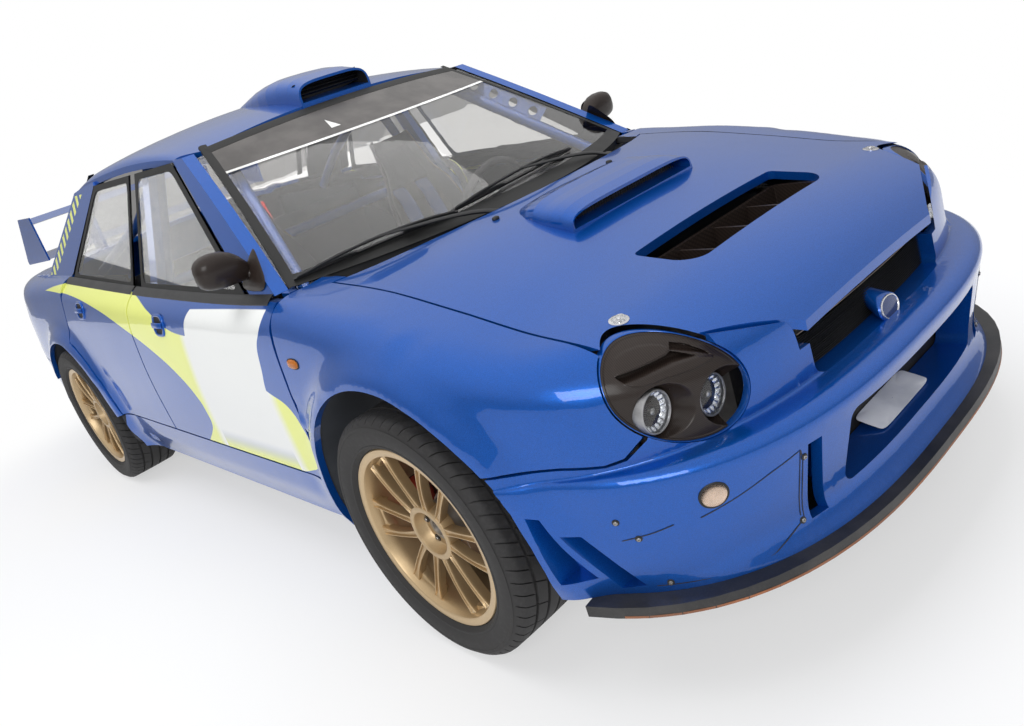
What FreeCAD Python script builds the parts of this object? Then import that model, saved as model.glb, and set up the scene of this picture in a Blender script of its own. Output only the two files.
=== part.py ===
"""Rally car, a four-door saloon with four-wheel drive, as an assembly of separate pieces.

Frame: +X forward, +Y to the car's left, +Z up, in millimetres. The origin lies on the
ground under the middle of the car's length, so the tyres stand on z = 0.

The outer skin is one closed shape, described by a function that is negative inside. Each
panel is a patch of that skin, found along rays, given its thickness and trimmed to the
outline of the real panel. Pieces that repeat or mirror are made by loops.
"""
import FreeCAD
import Part
import math
import os

V = FreeCAD.Vector
X_AXIS = V(1, 0, 0)
Y_AXIS = V(0, 1, 0)
Z_AXIS = V(0, 0, 1)

# Stance and wheels
FRONT_AXLE_X = 1350.0
REAR_AXLE_X = -1185.0
TYRE_RADIUS = 325.0
TYRE_WIDTH = 225.0
WHEEL_Y = 770.0
RIM_RADIUS = 240.0
RIM_SEAT_RADIUS = 226.0
RIM_WALL = 7.0
RIM_OFFSET_OUT = 98.0
RIM_OFFSET_IN = 104.0
SPOKE_PAIRS = 6
SPOKE_WIDTH = 17.0
SPOKE_DEPTH = 26.0
SPOKE_SPLAY = 11.0
HUB_RADIUS = 72.0
HUB_BORE = 34.0
DISC_RADIUS = 172.0
DISC_THICKNESS = 28.0
DISC_FACE_IN = 62.0
KINGPIN_Y = 690.0

# Overall skin
NOSE_X = 2200.0
TAIL_X = -2202.0
CORNER_X = 1450.0
NOSE_POWER = 2.8
TAIL_POWER = 3.4
GROUND_CLEARANCE = 215.0
SILL_BOTTOM = 200.0
SILL_HALF = 792.0
SILL_TOP = 372.0
DOOR_HALF = 848.0
BELT_HALF = 756.0
GLASS_LEAN = 0.4
ARCH_FLARE = 36.0
FLARE_REACH = 55.0
FRONT_ARCH_RADIUS = 395.0
REAR_ARCH_RADIUS = 372.0
SHOULDER_ROUND = 62.0
SHOULDER_DROP = 74.0
CREASE_ROUND = 70.0
ROOF_ROUND = 90.0

# Panel thicknesses and gaps
SKIN = 20.0
DOOR_THICKNESS = 72.0
DOOR_EDGE = 62.0
LID_SKIN = 22.0
BUMPER_SKIN = 24.0
GLASS = 6.0
SCREEN_DROP = 9.0
GAP = 6.0
LID_GAP = 8.0
SEAT_GAP = 0.3
PILLAR_DEPTH = 42.0
POST_TOP_Z = 892.0
FLOOR_THICKNESS = 12.0
FIREWALL_X = 930.0
WELL_FRONT_X = 1745.0
WELL_IN_Y = 455.0
REAR_WALL_Y = 600.0

# Bonnet, boot and their openings
BONNET_HALF = 655.0
BONNET_FRONT_X = 2088.0
BONNET_REAR_X = 1150.0
BONNET_SWEEP = 0.00034
BONNET_NOTCH_HALF = 302.0
VENT_FRONT_X = 1857.0
VENT_REAR_X = 1693.0
VENT_HALF = 300.0
VENT_FRONT_CORNER = 62.0
VENT_REAR_CORNER = 16.0
SCOOP_MOUTH_X = 1488.0
SCOOP_TAIL_X = 1215.0
SCOOP_HALF = 255.0
SCOOP_RISE = 46.0
BOOT_FRONT_X = -1492.0
BOOT_HALF = 560.0
BOOT_LIP_Z = 700.0

# Doors
FRONT_DOOR_FRONT_X = 912.0
DOOR_SPLIT_X = -200.0
REAR_DOOR_REAR_X = -1016.0
DOOR_BOTTOM_Z = 384.0
DOOR_GAP = 8.5
DOOR_SLANT = 14.0

# Greenhouse
SCREEN_BASE_Z = 900.0
COWL_X = 1090.0
COWL_Z = 905.0
HEADER_X = 285.0
HEADER_Z = 1322.0
ROOF_TOP_Z = 1385.0
ROOF_TOP_X = -300.0
ROOF_REAR_X = -930.0
ROOF_REAR_Z = 1332.0
REAR_GLASS_BASE_X = -1470.0
REAR_GLASS_BASE_Z = 985.0
RAIL_Z = 1288.0

# Front end
BUMPER_TOP_Z = 526.0
BUMPER_BOTTOM_Z = 246.0
INTAKE_HALF = 318.0
INTAKE_TOP_Z = 466.0
INTAKE_BOTTOM_Z = 300.0
SPLITTER_THICKNESS = 26.0
SPLITTER_TOP = GROUND_CLEARANCE + SPLITTER_THICKNESS
FLOOR_Z = SPLITTER_TOP + SEAT_GAP
FLOOR_TOP = FLOOR_Z + FLOOR_THICKNESS
SILL_DEPTH = 90.0
FLOOR_HALF = 716.0
GRILLE_HALF = 296.0
GRILLE_TOP_Z = 648.0
GRILLE_SET_BACK = 42.0
SURROUND_WALL = 14.0
SURROUND_REAR_X = 2046.0
LINER_DEPTH = 160.0
OPENING_CORNER = 24.0
DUCT_DEPTH = 52.0
DUCT_WALL = 8.0
LAMP_X = 1700.0
LAMP_Y = 495.0
LAMP_Z = 638.0
LAMP_TURN = 18.5
LAMP_ROLL = 27.0
LAMP_HALF_WIDTH = 144.0
LAMP_HALF_HEIGHT = 100.0
LAMP_INNER_EDGE = 505.0

# Rear wing
WING_HALF = 622.0
WING_TOP_Z = 1222.0
WING_FRONT_X = -1768.0
WING_REAR_X = -2196.0

# Running gear
STRUT_TOP_Z = 688.0
SUBFRAME_TOP = 290.0
ARM_TOP_Z = 272.0
BALL_RADIUS = 9.0
BALL_HEIGHT = 12.0

# Cabin
DASH_HALF = 598.0
CAGE_TUBE = 20.0

OUT = "parts"


def smooth_max(a, b, radius):
    """The larger of two distances, rounded where they meet."""
    h = max(radius - abs(a - b), 0.0) / radius
    return max(a, b) + h * h * radius / 4.0


def smooth_min(a, b, radius):
    """The smaller of two distances, rounded where they meet."""
    return -smooth_max(-a, -b, radius)


def curve(points):
    """A smooth function of one value through the points, with no overshoot."""
    points = sorted(points)
    xs = [p[0] for p in points]
    ys = [p[1] for p in points]
    count = len(xs)
    slopes = [(ys[i + 1] - ys[i]) / (xs[i + 1] - xs[i]) for i in range(count - 1)]
    tangents = [slopes[0]]
    for before, after in zip(slopes, slopes[1:]):
        same_way = before * after > 0
        tangents.append(2.0 * before * after / (before + after) if same_way else 0.0)
    tangents.append(slopes[-1])

    def value(x):
        if x <= xs[0]:
            return ys[0] + tangents[0] * (x - xs[0])
        if x >= xs[-1]:
            return ys[-1] + tangents[-1] * (x - xs[-1])
        i = max(k for k in range(count - 1) if xs[k] <= x)
        span = xs[i + 1] - xs[i]
        t = (x - xs[i]) / span
        keep = (1.0 + 2.0 * t) * (1.0 - t) ** 2
        return (keep * ys[i] + (1.0 - keep) * ys[i + 1]
                + span * t * (1.0 - t) * ((1.0 - t) * tangents[i] - t * tangents[i + 1]))
    return value


# Half-width of the lower body over height, halfway along the car
side_profile = curve([
    (0, SILL_HALF - 12), (SILL_BOTTOM, SILL_HALF), (SILL_TOP - 60, DOOR_HALF - 18),
    (SILL_TOP + 60, DOOR_HALF - 6), (600, DOOR_HALF), (760, DOOR_HALF - 8), (860, DOOR_HALF - 26),
    (1000, DOOR_HALF - 60)])

# How far the nose stands behind the splitter's edge over height
nose_inset = curve([
    (SILL_BOTTOM, 0), (BUMPER_BOTTOM_Z, 34), (INTAKE_BOTTOM_Z, 58), (400, 40),
    (INTAKE_TOP_Z, 24), (500, 15), (BUMPER_TOP_Z - 8, 30), (BUMPER_TOP_Z + 6, 98),
    (GRILLE_TOP_Z, 102), (740, 150), (800, 230)])

# The same above the bumper, at the lamps and the grille
face_inset = curve([
    (SILL_BOTTOM, 96), (BUMPER_TOP_Z, 98), (GRILLE_TOP_Z, 103), (740, 150), (800, 215)])

# How far the tail stands ahead of the bumper's rearmost edge over height
tail_inset = curve([
    (SILL_BOTTOM, 60), (320, 16), (450, 0), (600, 4), (640, 40), (700, 52), (860, 56),
    (960, 70)])

# Height of the bonnet, belt and boot along the middle of the car
deck_line = curve([
    (2140, 600), (2088, 655), (2040, 700), (1970, 742), (1857, 780), (1693, 806),
    (1487, 849), (1203, 897), (COWL_X, COWL_Z), (700, 900), (0, 915), (-400, 932),
    (-1000, 962), (REAR_GLASS_BASE_X, REAR_GLASS_BASE_Z), (-1850, 982), (-2080, 962),
    (-2200, 930)])

# Drop of the deck from the middle to its side, 600 mm out
deck_crown = curve([(2100, 20), (1700, 28), (1150, 24), (850, 6), (-1000, 4), (-1500, 20), (-2100, 24)])

roof_line = curve([
    (700, 1190), (HEADER_X, HEADER_Z), (0, 1366), (ROOF_TOP_X, ROOF_TOP_Z), (-620, 1372),
    (ROOF_REAR_X, ROOF_REAR_Z), (-1300, 1215)])


# The boot lid's skin over the run back along its deck and down its face
boot_run_x = curve([(0, -1470), (200, -1670), (400, -1870), (600, -2068), (650, -2112), (690, -2136),
                    (730, -2144), (800, -2146), (1000, -2138)])
boot_run_z = curve([(0, 985), (200, 986), (400, 981), (600, 966), (650, 952), (690, 926), (730, 888),
                    (800, 820), (1000, 622)])
boot_run_bow = curve([(0, 0), (400, 60), (600, 560), (700, 690), (1000, 700)])


def arch_flare(x, z):
    """Bulge of the side around the two wheel openings."""
    total = 0.0
    for axle, radius in ((FRONT_AXLE_X, FRONT_ARCH_RADIUS), (REAR_AXLE_X, REAR_ARCH_RADIUS)):
        reach = math.hypot(x - axle, max(z, TYRE_RADIUS) - TYRE_RADIUS) - radius
        total += ARCH_FLARE * math.exp(-(max(reach, 0.0) / FLARE_REACH) ** 2)
    return total


def half_width(x, z):
    """Half-width of the lower body before its ends are rounded off in plan."""
    return side_profile(z) + arch_flare(x, z)


def plan_distance(x, y, z):
    """Distance outside the plan outline of the lower body at this height."""
    wide = half_width(x, z)
    forward = x >= 0
    inset = face_inset(z) if forward else tail_inset(z)
    reach = (NOSE_X if forward else -TAIL_X) - CORNER_X - inset
    power = NOSE_POWER if forward else TAIL_POWER
    past = max(abs(x) - CORNER_X, 0.0)
    if past <= 0.0:
        return abs(y) - wide
    size = ((past / reach) ** power + (abs(y) / wide) ** power) ** (1.0 / power)
    return (size - 1.0) * min(wide, reach) * 1.05


def lower_body(x, y, z):
    """Negative inside the body below the windows."""
    crown = deck_crown(x) * (y / 600.0) ** 2
    top = z - (deck_line(x) - crown)
    return smooth_max(plan_distance(x, y, z), top, CREASE_ROUND)


def windscreen_x(y, z):
    """Forward place of the windscreen, bowed most at its base."""
    t = (z - COWL_Z) / (HEADER_Z - COWL_Z)
    bow = 240.0 - 100.0 * min(max(t, 0.0), 1.0)
    return COWL_X + (HEADER_X - COWL_X) * t - bow * (y / 700.0) ** 2


def rear_glass_x(y, z):
    """Place of the rear window, bowed most at its base."""
    t = (z - REAR_GLASS_BASE_Z) / (ROOF_REAR_Z - REAR_GLASS_BASE_Z)
    bow = 120.0 - 80.0 * min(max(t, 0.0), 1.0)
    return REAR_GLASS_BASE_X + (ROOF_REAR_X - REAR_GLASS_BASE_X) * t + bow * (y / 700.0) ** 2


def glass_half(z):
    """Half-width of the side windows, leaning inwards as they rise."""
    return BELT_HALF - GLASS_LEAN * (z - COWL_Z)


def deck_z(x, y):
    """Height of the bonnet or boot skin."""
    return deck_line(x) - deck_crown(x) * (y / 600.0) ** 2


def roof_z(x, y):
    """Height of the roof skin, which rolls over into the side windows' plane."""
    crown = 52.0 * (abs(y) / 600.0) ** 2.2
    side = COWL_Z + (BELT_HALF - abs(y)) / GLASS_LEAN
    return smooth_min(roof_line(x) - crown, side, ROOF_ROUND)


def belt_z(x):
    """Height of the lower edge of the side windows."""
    return deck_line(x) - 14.0


def side_y(x, z):
    """Half-width of the doors, rolling in under the windows."""
    past = max(z - belt_z(x) + SHOULDER_DROP, 0.0)
    rolled = min(past, SHOULDER_DROP)
    drop = rolled * rolled / (2.0 * SHOULDER_ROUND) + (past - rolled) * SHOULDER_DROP / SHOULDER_ROUND
    return half_width(x, z) - drop


def plan_point(z, angle, forward, inset):
    """A point of the nose or tail, seen from the middle of its plan at an angle."""
    a = math.radians(angle)
    reach = (NOSE_X if forward else -TAIL_X) - CORNER_X - inset(z)
    power = NOSE_POWER if forward else TAIL_POWER
    way = V(math.cos(a) if forward else -math.cos(a), math.sin(a), 0)
    start = V(CORNER_X if forward else -CORNER_X, 0, z)
    point = start
    for _ in range(4):
        wide = half_width(point.x, z)
        size = (abs(math.cos(a)) / reach) ** power + (abs(math.sin(a)) / wide) ** power
        point = start + way * size ** (-1.0 / power)
    return point, way


def side_point(x, z):
    return V(x, side_y(x, z), z), Y_AXIS


def deck_point(x, y):
    return V(x, y, deck_z(x, y)), Z_AXIS


def roof_point(x, y):
    return V(x, y, roof_z(x, y)), Z_AXIS


def bumper_point(z, angle):
    return plan_point(z, angle, True, nose_inset)


def face_point(z, angle):
    return plan_point(z, angle, True, face_inset)


def tail_point(z, angle):
    return plan_point(z, angle, False, tail_inset)


def skin_along(start, way):
    """Where a ray from inside the lower body meets its skin, with the ray's direction."""
    inside = 0.0
    outside = 1200.0
    for _ in range(34):
        middle = 0.5 * (inside + outside)
        p = start + way * middle
        if lower_body(p.x, p.y, p.z) < 0.0:
            inside = middle
        else:
            outside = middle
    return start + way * inside, way


def shoulder_point(x, angle):
    """A point of the wing, seen from inside it along rays that fan up and outwards."""
    a = math.radians(angle)
    return skin_along(V(x, 350, 450), V(0, math.cos(a), math.sin(a)))


def lamp_point(up, across):
    """A point of the skin in front of the left headlamp, off the lamp's own middle line."""
    turn = math.radians(LAMP_TURN)
    roll = math.radians(LAMP_ROLL)
    outboard = across * math.cos(roll) - up * math.sin(roll)
    height = across * math.sin(roll) + up * math.cos(roll)
    start = V(LAMP_X - outboard * math.sin(turn), LAMP_Y + outboard * math.cos(turn), LAMP_Z + height)
    return skin_along(start, V(math.cos(turn), math.sin(turn), 0))


def spread(low, high, count):
    """Evenly spaced values from low to high."""
    return [low + (high - low) * i / (count - 1) for i in range(count)]


def surface_through(points):
    """A smooth surface through a grid of points."""
    surface = Part.BSplineSurface()
    surface.interpolate(points)
    return surface


def thick_patch(rows, columns, point, depth, start=0.0):
    """A solid patch behind the skin, from start to depth: point gives a place and its outward way."""
    found = [[point(row, column) for column in columns] for row in rows]
    outer = [[p - way * start for p, way in line] for line in found]
    inner = [[p - way * depth for p, way in line] for line in found]
    return solid_between(outer, inner)


def outward_patch(rows, columns, place, depth):
    """A solid patch whose thickness is measured square to its surface."""
    step = 0.5
    outer = []
    inner = []
    for row in rows:
        line = [place(row, column) for column in columns]
        ways = [(place(row + step, column) - place(row - step, column)).cross(
            place(row, column + step) - place(row, column - step)).normalize() for column in columns]
        outer.append(line)
        inner.append([p - way * depth for p, way in zip(line, ways)])
    return solid_between(outer, inner)


def solid_between(outer, inner):
    """A closed solid between two grids of points with the same layout."""
    top = surface_through(outer)
    low = surface_through(inner)
    faces = [top.toShape(), low.toShape()]
    for parameter in (0, 1):
        faces.append(Part.makeRuledSurface(top.uIso(parameter).toShape(), low.uIso(parameter).toShape()))
        faces.append(Part.makeRuledSurface(top.vIso(parameter).toShape(), low.vIso(parameter).toShape()))
    shell = Part.Shell(faces)
    shell.sewShape()
    solid = Part.Solid(shell)
    if solid.Volume < 0:
        solid.reverse()
    return solid


def in_plane(point, plane):
    """A point (a, b) of the plane XZ, XY or YZ."""
    a, b = point
    return {"XZ": V(a, 0, b), "XY": V(a, b, 0), "YZ": V(0, a, b)}[plane]


def outline_face(points, plane):
    """A flat face from points (a, b) in the plane XZ, XY or YZ."""
    corners = [in_plane(point, plane) for point in points]
    return Part.Face(Part.makePolygon(corners + corners[:1]))


def prism(points, plane, low, high):
    """An outline in a plane, run from low to high along the plane's normal."""
    return run_through(outline_face(points, plane), plane, low, high)


def run_through(face, plane, low, high):
    """A flat face, run from low to high along its plane's normal."""
    normal = {"XZ": Y_AXIS, "XY": Z_AXIS, "YZ": X_AXIS}[plane]
    face.translate(normal * low)
    return face.extrude(normal * (high - low))


def rounded_prism(points, radii, plane, low, high):
    """A prism whose corners are rounded, each to its own radius."""
    corners = [in_plane(point, plane) for point in points]
    starts = []
    ends = []
    middles = []
    for i, (corner, radius) in enumerate(zip(corners, radii)):
        back = (corners[i - 1] - corner).normalize()
        on = (corners[(i + 1) % len(corners)] - corner).normalize()
        half = back.getAngle(on) / 2.0
        inward = (back + on).normalize()
        starts.append(corner + back * (radius / math.tan(half)))
        ends.append(corner + on * (radius / math.tan(half)))
        middles.append(corner + inward * (radius / math.sin(half) - radius))
    edges = []
    for i, start in enumerate(starts):
        edges.append(Part.LineSegment(ends[i - 1], start).toShape())
        edges.append(Part.Arc(start, middles[i], ends[i]).toShape())
    return run_through(Part.Face(Part.Wire(edges)), plane, low, high)


def arch_section(x, half, low, high, power):
    """An outline across the car: flat below, and above it half of a rounded oblong."""
    points = []
    for a in spread(180, 0, 17):
        c = math.cos(math.radians(a))
        s = math.sin(math.radians(a))
        points.append(V(x, half * math.copysign(abs(c) ** (2.0 / power), c),
                        low + (high - low) * abs(s) ** (2.0 / power)))
    arch = Part.BSplineCurve()
    arch.interpolate(points)
    return Part.Wire([arch.toShape(), Part.LineSegment(points[-1], points[0]).toShape()])


def block(x0, x1, y0, y1, z0, z1):
    """A box between two corners."""
    return Part.makeBox(x1 - x0, y1 - y0, z1 - z0, V(x0, y0, z0))


def mirrored(shape):
    """The same shape on the other side of the car."""
    return shape.mirror(V(0, 0, 0), Y_AXIS)


def both_sides(shape):
    """A shape of the left side with its mirror image, as one compound."""
    return Part.makeCompound([shape, mirrored(shape)])


def rod(a, b, radius):
    """A round bar between two points."""
    way = b - a
    return Part.makeCylinder(radius, way.Length, a, way)


def fuse(shapes):
    """All shapes joined as one."""
    first = shapes[0]
    return first.multiFuse(shapes[1:]).removeSplitter() if len(shapes) > 1 else first


def tube_frame(runs, radius):
    """Bars along runs of points, with a ball at each point so that the bars join."""
    pieces = []
    for run in runs:
        pieces.extend(rod(a, b, radius) for a, b in zip(run, run[1:]))
        pieces.extend(Part.makeSphere(radius, p) for p in run)
    return fuse(pieces)


def arc_points(centre, radius, start, stop, count):
    """Points on an arc in the XZ plane, angles in degrees."""
    angles = [math.radians(a) for a in spread(start, stop, count)]
    return [(centre[0] + radius * math.cos(a), centre[1] + radius * math.sin(a)) for a in angles]


def wheel_opening(axle, radius, low, high):
    """A round cutter across the car at an axle."""
    return Part.makeCylinder(radius, high - low, V(axle, low, TYRE_RADIUS), Y_AXIS)


# Outlines in side view

def door_line_front():
    """Front door below its window."""
    rear = DOOR_SPLIT_X + DOOR_GAP / 2
    return [(FRONT_DOOR_FRONT_X + 22, DOOR_BOTTOM_Z), (FRONT_DOOR_FRONT_X, 640),
            (FRONT_DOOR_FRONT_X - 8, belt_z(FRONT_DOOR_FRONT_X) - 6),
            (rear, belt_z(DOOR_SPLIT_X)), (rear - DOOR_SLANT, DOOR_BOTTOM_Z)]


def door_line_rear():
    """Rear door below its window, round behind the wheel opening."""
    arc = arc_points((REAR_AXLE_X, TYRE_RADIUS), REAR_ARCH_RADIUS + 46, 8, 66, 9)
    front = DOOR_SPLIT_X - DOOR_GAP / 2
    return ([(front - DOOR_SLANT, DOOR_BOTTOM_Z), (front, belt_z(DOOR_SPLIT_X)),
             (REAR_DOOR_REAR_X, belt_z(REAR_DOOR_REAR_X)), (REAR_DOOR_REAR_X, arc[-1][1] + 20)]
            + arc[::-1])


def shrunk(points, distance):
    """An outline moved inwards by a distance."""
    face = outline_face(points, "XZ")
    wire = face.OuterWire.makeOffset2D(-distance, 2)
    return Part.Face(wire)


def door_panel(outline):
    """A door: an outer skin with a thicker box behind it, clear of the edges."""
    xs = [p[0] for p in outline]
    zs = [p[1] for p in outline]
    rows = spread(min(xs) - 20, max(xs) + 20, 16)
    columns = spread(min(zs) - 10, 784, 10) + spread(800, max(zs) + 12, 12)
    skin = thick_patch(rows, columns, side_point, SKIN)
    skin = skin.common(prism(outline, "XZ", 500, 1000))
    deep = thick_patch(rows, columns, side_point, DOOR_THICKNESS)
    core = shrunk(outline, DOOR_EDGE)
    core.translate(Y_AXIS * 500)
    deep = deep.common(core.extrude(Y_AXIS * 500))
    return skin.fuse(deep).removeSplitter()


def leaning_slab(x0, x1, z0, z1, thickness):
    """A flat slab in the plane of the left side windows."""
    section = [(glass_half(z0), z0), (glass_half(z1), z1), (glass_half(z1) - thickness, z1),
               (glass_half(z0) - thickness, z0)]
    return prism(section, "YZ", x0, x1)


def side_glass(outline):
    """A side window that stands in its door."""
    xs = [p[0] for p in outline]
    zs = [p[1] for p in outline]
    pane = leaning_slab(min(xs), max(xs), min(zs), max(zs), GLASS)
    return pane.common(prism(outline, "XZ", 400, 1000))


def front_glass_line():
    return [(700, belt_z(700) - 2), (DOOR_SPLIT_X + 45, belt_z(DOOR_SPLIT_X) - 2),
            (DOOR_SPLIT_X + 30, RAIL_Z - 8), (178, RAIL_Z - 8)]


def rear_glass_line():
    return [(DOOR_SPLIT_X - 40, belt_z(DOOR_SPLIT_X) - 2), (-992, belt_z(-992) - 2),
            (-960, belt_z(-960) + 30), (-640, RAIL_Z - 8), (DOOR_SPLIT_X - 34, RAIL_Z - 8)]


def make_doors():
    """Four doors with their windows and mirrors, left side first."""
    front = door_panel(door_line_front())
    rear = door_panel(door_line_rear())
    front_pane = side_glass(front_glass_line())
    rear_pane = side_glass(rear_glass_line())
    seat = front.copy()
    seat.translate(V(0, SEAT_GAP, 2 * SEAT_GAP))
    mirror = make_mirror().cut(front).cut(seat)
    front = front.cut(prism(front_glass_line(), "XZ", 400, 1000))
    rear = rear.cut(prism(rear_glass_line(), "XZ", 400, 1000))
    pieces = {}
    for side, place in (("left", lambda s: s), ("right", mirrored)):
        pieces["door_front_" + side] = place(front)
        pieces["door_rear_" + side] = place(rear)
        pieces["door_glass_front_" + side] = place(front_pane)
        pieces["door_glass_rear_" + side] = place(rear_pane)
        pieces["mirror_" + side] = place(mirror)
    return pieces


def make_mirror():
    """A door mirror on its foot, left side."""
    head = block(655, 735, 790, 876, 940, 1042)
    head = head.makeFillet(24, head.Edges)
    foot = block(712, 768, 770, 794, 880, 930)
    arm = rod(V(736, 782, 915), V(705, 820, 975), 16)
    return fuse([head, arm, foot])


def lamp_oval(grow=0.0):
    """The headlamp's outline as a bar along its line of sight, grown all round, left side."""
    bar = Part.makeCylinder(1, 500, V(0, 0, 0), X_AXIS)
    stretch = FreeCAD.Matrix()
    stretch.scale(V(1, LAMP_HALF_WIDTH + grow, LAMP_HALF_HEIGHT + grow))
    bar = bar.transformGeometry(stretch)
    bar.rotate(V(0, 0, 0), X_AXIS, LAMP_ROLL)
    bar.rotate(V(0, 0, 0), Z_AXIS, LAMP_TURN)
    bar.translate(V(LAMP_X, LAMP_Y, LAMP_Z))
    return bar


def nose_seam(gap=0.0):
    """The seam between wing and bumper in side view, from the wheel opening up to the lamp."""
    return [(1600, 552 - gap), (1713, 556 - gap), (1815, 553 - gap), (1886, 543 - gap),
            (1915 + gap / 2, 548 - gap), (1943 + gap, 578 - gap), (1965 + gap, 640)]


def make_fender():
    """Left front wing, from its crease down round the wheel opening."""
    rows = spread(FRONT_DOOR_FRONT_X - 10, 1990, 26)
    columns = spread(-26, 58, 24)
    patch = thick_patch(rows, columns, shoulder_point, SKIN)
    rear = FRONT_DOOR_FRONT_X + DOOR_GAP
    outline = [(rear + 22, 246), (rear + 22, DOOR_BOTTOM_Z), (rear, 640), (rear - 2, 1000), (1965, 1000)]
    outline += nose_seam()[::-1] + [(1500, 246)]
    wing = patch.common(prism(outline, "XZ", 300, 1000))
    wing = wing.cut(wheel_opening(FRONT_AXLE_X, FRONT_ARCH_RADIUS, 300, 1000))
    wing = wing.cut(block(1036, 1500, 300, 1000, 150, TYRE_RADIUS + 200))
    wing = wing.cut(lamp_oval(GAP / 2))
    return wing.cut(prism(bonnet_plan(GAP), "XY", 400, 1200))


def bonnet_plan(grow=0.0):
    """Outline of the bonnet from above, grown all round by a gap."""
    half = BONNET_HALF + grow
    rear = [(BONNET_REAR_X - grow - BONNET_SWEEP * y * y, y) for y in spread(-half, half, 13)]
    side = bonnet_nose(grow)
    return rear + side + [(x, -y) for x, y in reversed(side)]


def bonnet_nose(grow=0.0):
    """The bonnet's front edge from above, from its side to its notch over the grille."""
    nose = BONNET_FRONT_X + grow
    notch = BONNET_NOTCH_HALF + grow
    return [(1880 + grow, BONNET_HALF + grow), (1985 + grow, 520 + grow), (nose - 12, notch + 20),
            (nose, notch)]


def make_bonnet():
    """Bonnet with its scoop, cut for the big vent."""
    rows = spread(960, 2110, 24)
    columns = spread(-690, 690, 15)
    patch = thick_patch(rows, columns, deck_point, LID_SKIN)
    lid = patch.common(prism(bonnet_plan(), "XY", 400, 1200))
    lid = lid.cut(vent_prism(0, 500, 1200))
    lamp = lamp_oval(LID_GAP)
    lid = lid.cut(lamp).cut(mirrored(lamp))
    return fuse([lid, make_scoop()])


def vent_prism(inset, low, high):
    """The bonnet vent's outline, moved inwards, between two heights."""
    rear = VENT_REAR_X + inset
    front = VENT_FRONT_X - inset
    half = VENT_HALF - inset
    corners = [(rear, -half), (front, -half), (front, half), (rear, half)]
    near = VENT_FRONT_CORNER - inset
    far = VENT_REAR_CORNER - inset
    return rounded_prism(corners, [far, near, near, far], "XY", low, high)


def scoop_shell(sections, hollows):
    """A scoop from its sections: each is a place, a half-width, a low and a high edge and a squareness."""
    outer = Part.makeLoft([arch_section(*section) for section in sections], True, True)
    inner = Part.makeLoft([arch_section(*section) for section in hollows], True, True)
    return outer.cut(inner)


def make_scoop():
    """Air scoop on the bonnet, open at its front."""
    mouth_z = deck_line(SCOOP_MOUTH_X)
    length = SCOOP_MOUTH_X - SCOOP_TAIL_X
    wall = 8.0
    swell = curve([(0, 3), (0.25, 30), (0.55, 50), (0.8, 53), (1, SCOOP_RISE)])
    spread_out = curve([(0, 0.72), (0.3, 0.88), (0.7, 0.97), (1, 1)])
    sections = []
    for t in spread(0, 1, 8):
        x = SCOOP_TAIL_X + t * length
        base = deck_z(x, SCOOP_HALF)
        top = deck_line(x) + swell(t) if t < 0.5 else mouth_z + swell(t) + 40 * (1 - t)
        sections.append((x, SCOOP_HALF * spread_out(t), base - 14, top, 3 + 2 * t))
    hollows = []
    for x, half, low, top, power in sections[3:]:
        hollows.append((x, half - wall, max(deck_line(x), mouth_z) + 2, top - wall, power))
    hollows.append((SCOOP_MOUTH_X + 20,) + hollows[-1][1:])
    return scoop_shell(sections, hollows)


def make_bonnet_duct():
    """Dark tray under the bonnet's vent, with slanted slats."""
    z = deck_line(VENT_FRONT_X) - LID_SKIN
    wall = 12.0
    tray = vent_prism(SEAT_GAP, z - 62, z + 2).cut(vent_prism(wall, z - 54, z + 10))
    ribs = [block(VENT_REAR_X + wall / 2, VENT_FRONT_X - wall / 2, y - 4, y + 4, z - 58, z - 8)
            for y in (-VENT_HALF / 2, 0, VENT_HALF / 2)]
    return fuse([tray] + ribs)


def make_roof():
    """Roof skin with its scoop, windscreen pillars and side rails."""
    top = roof_skin()
    low = [(pillar_front_x(z), z) for z in (1285, 1200, 1100, 1000, POST_TOP_Z)]
    pillar_line = low + [(730, POST_TOP_Z), (700 + 14, belt_z(700) + 8), (188, RAIL_Z - 2), (200, 1285)]
    pillar = leaning_slab(150, 930, 860, 1310, PILLAR_DEPTH).common(prism(pillar_line, "XZ", 300, 900))
    return fuse([top, pillar, mirrored(pillar), make_roof_scoop()])


def roof_skin():
    """The roof's skin, from the windscreen to the rear window."""
    rows = spread(ROOF_REAR_X - 40, HEADER_X + 40, 22)
    patch = thick_patch(rows, spread(-598, 598, 29), roof_point, LID_SKIN)
    front = [(header_edge_x(y), y) for y in spread(-530, 530, 13)]
    plan = [(ROOF_REAR_X, -585), (-700, -592), (170, -592)] + front
    plan += [(170, 592), (-700, 592), (ROOF_REAR_X, 585)]
    return patch.common(prism(plan, "XY", 1000, 1600))


def header_edge_x(y):
    """Front edge of the roof, just behind the windscreen's upper edge."""
    return windscreen_x(y, roof_z(HEADER_X, y) - SCREEN_DROP) - 3 * GLASS


def pillar_front_x(z):
    """Front edge of the windscreen pillar in side view."""
    return windscreen_x(glass_half(z) - PILLAR_DEPTH, z) + 6


def make_roof_scoop():
    """Fresh-air scoop at the front of the roof, open at its front."""
    crest = curve([(-330, 1387), (-200, 1408), (-60, 1427), (60, 1432), (180, 1420), (286, 1394)])
    spread_out = curve([(-330, 84), (-120, 124), (60, 146), (286, 149)])
    wall = 9.0
    sections = []
    for x in spread(-330, 286, 9):
        low = min(roof_line(x), roof_z(x, spread_out(x))) - 14
        sections.append((x, spread_out(x), low, crest(x), 2.6 + (x + 330) / 616 * 1.8))
    hollows = []
    for x, half, low, top, power in sections[5:]:
        hollows.append((x, half - wall, roof_line(x) + 6, top - wall, power))
    hollows.append((HEADER_X + 30,) + hollows[-1][1:])
    return scoop_shell(sections, hollows)


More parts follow.
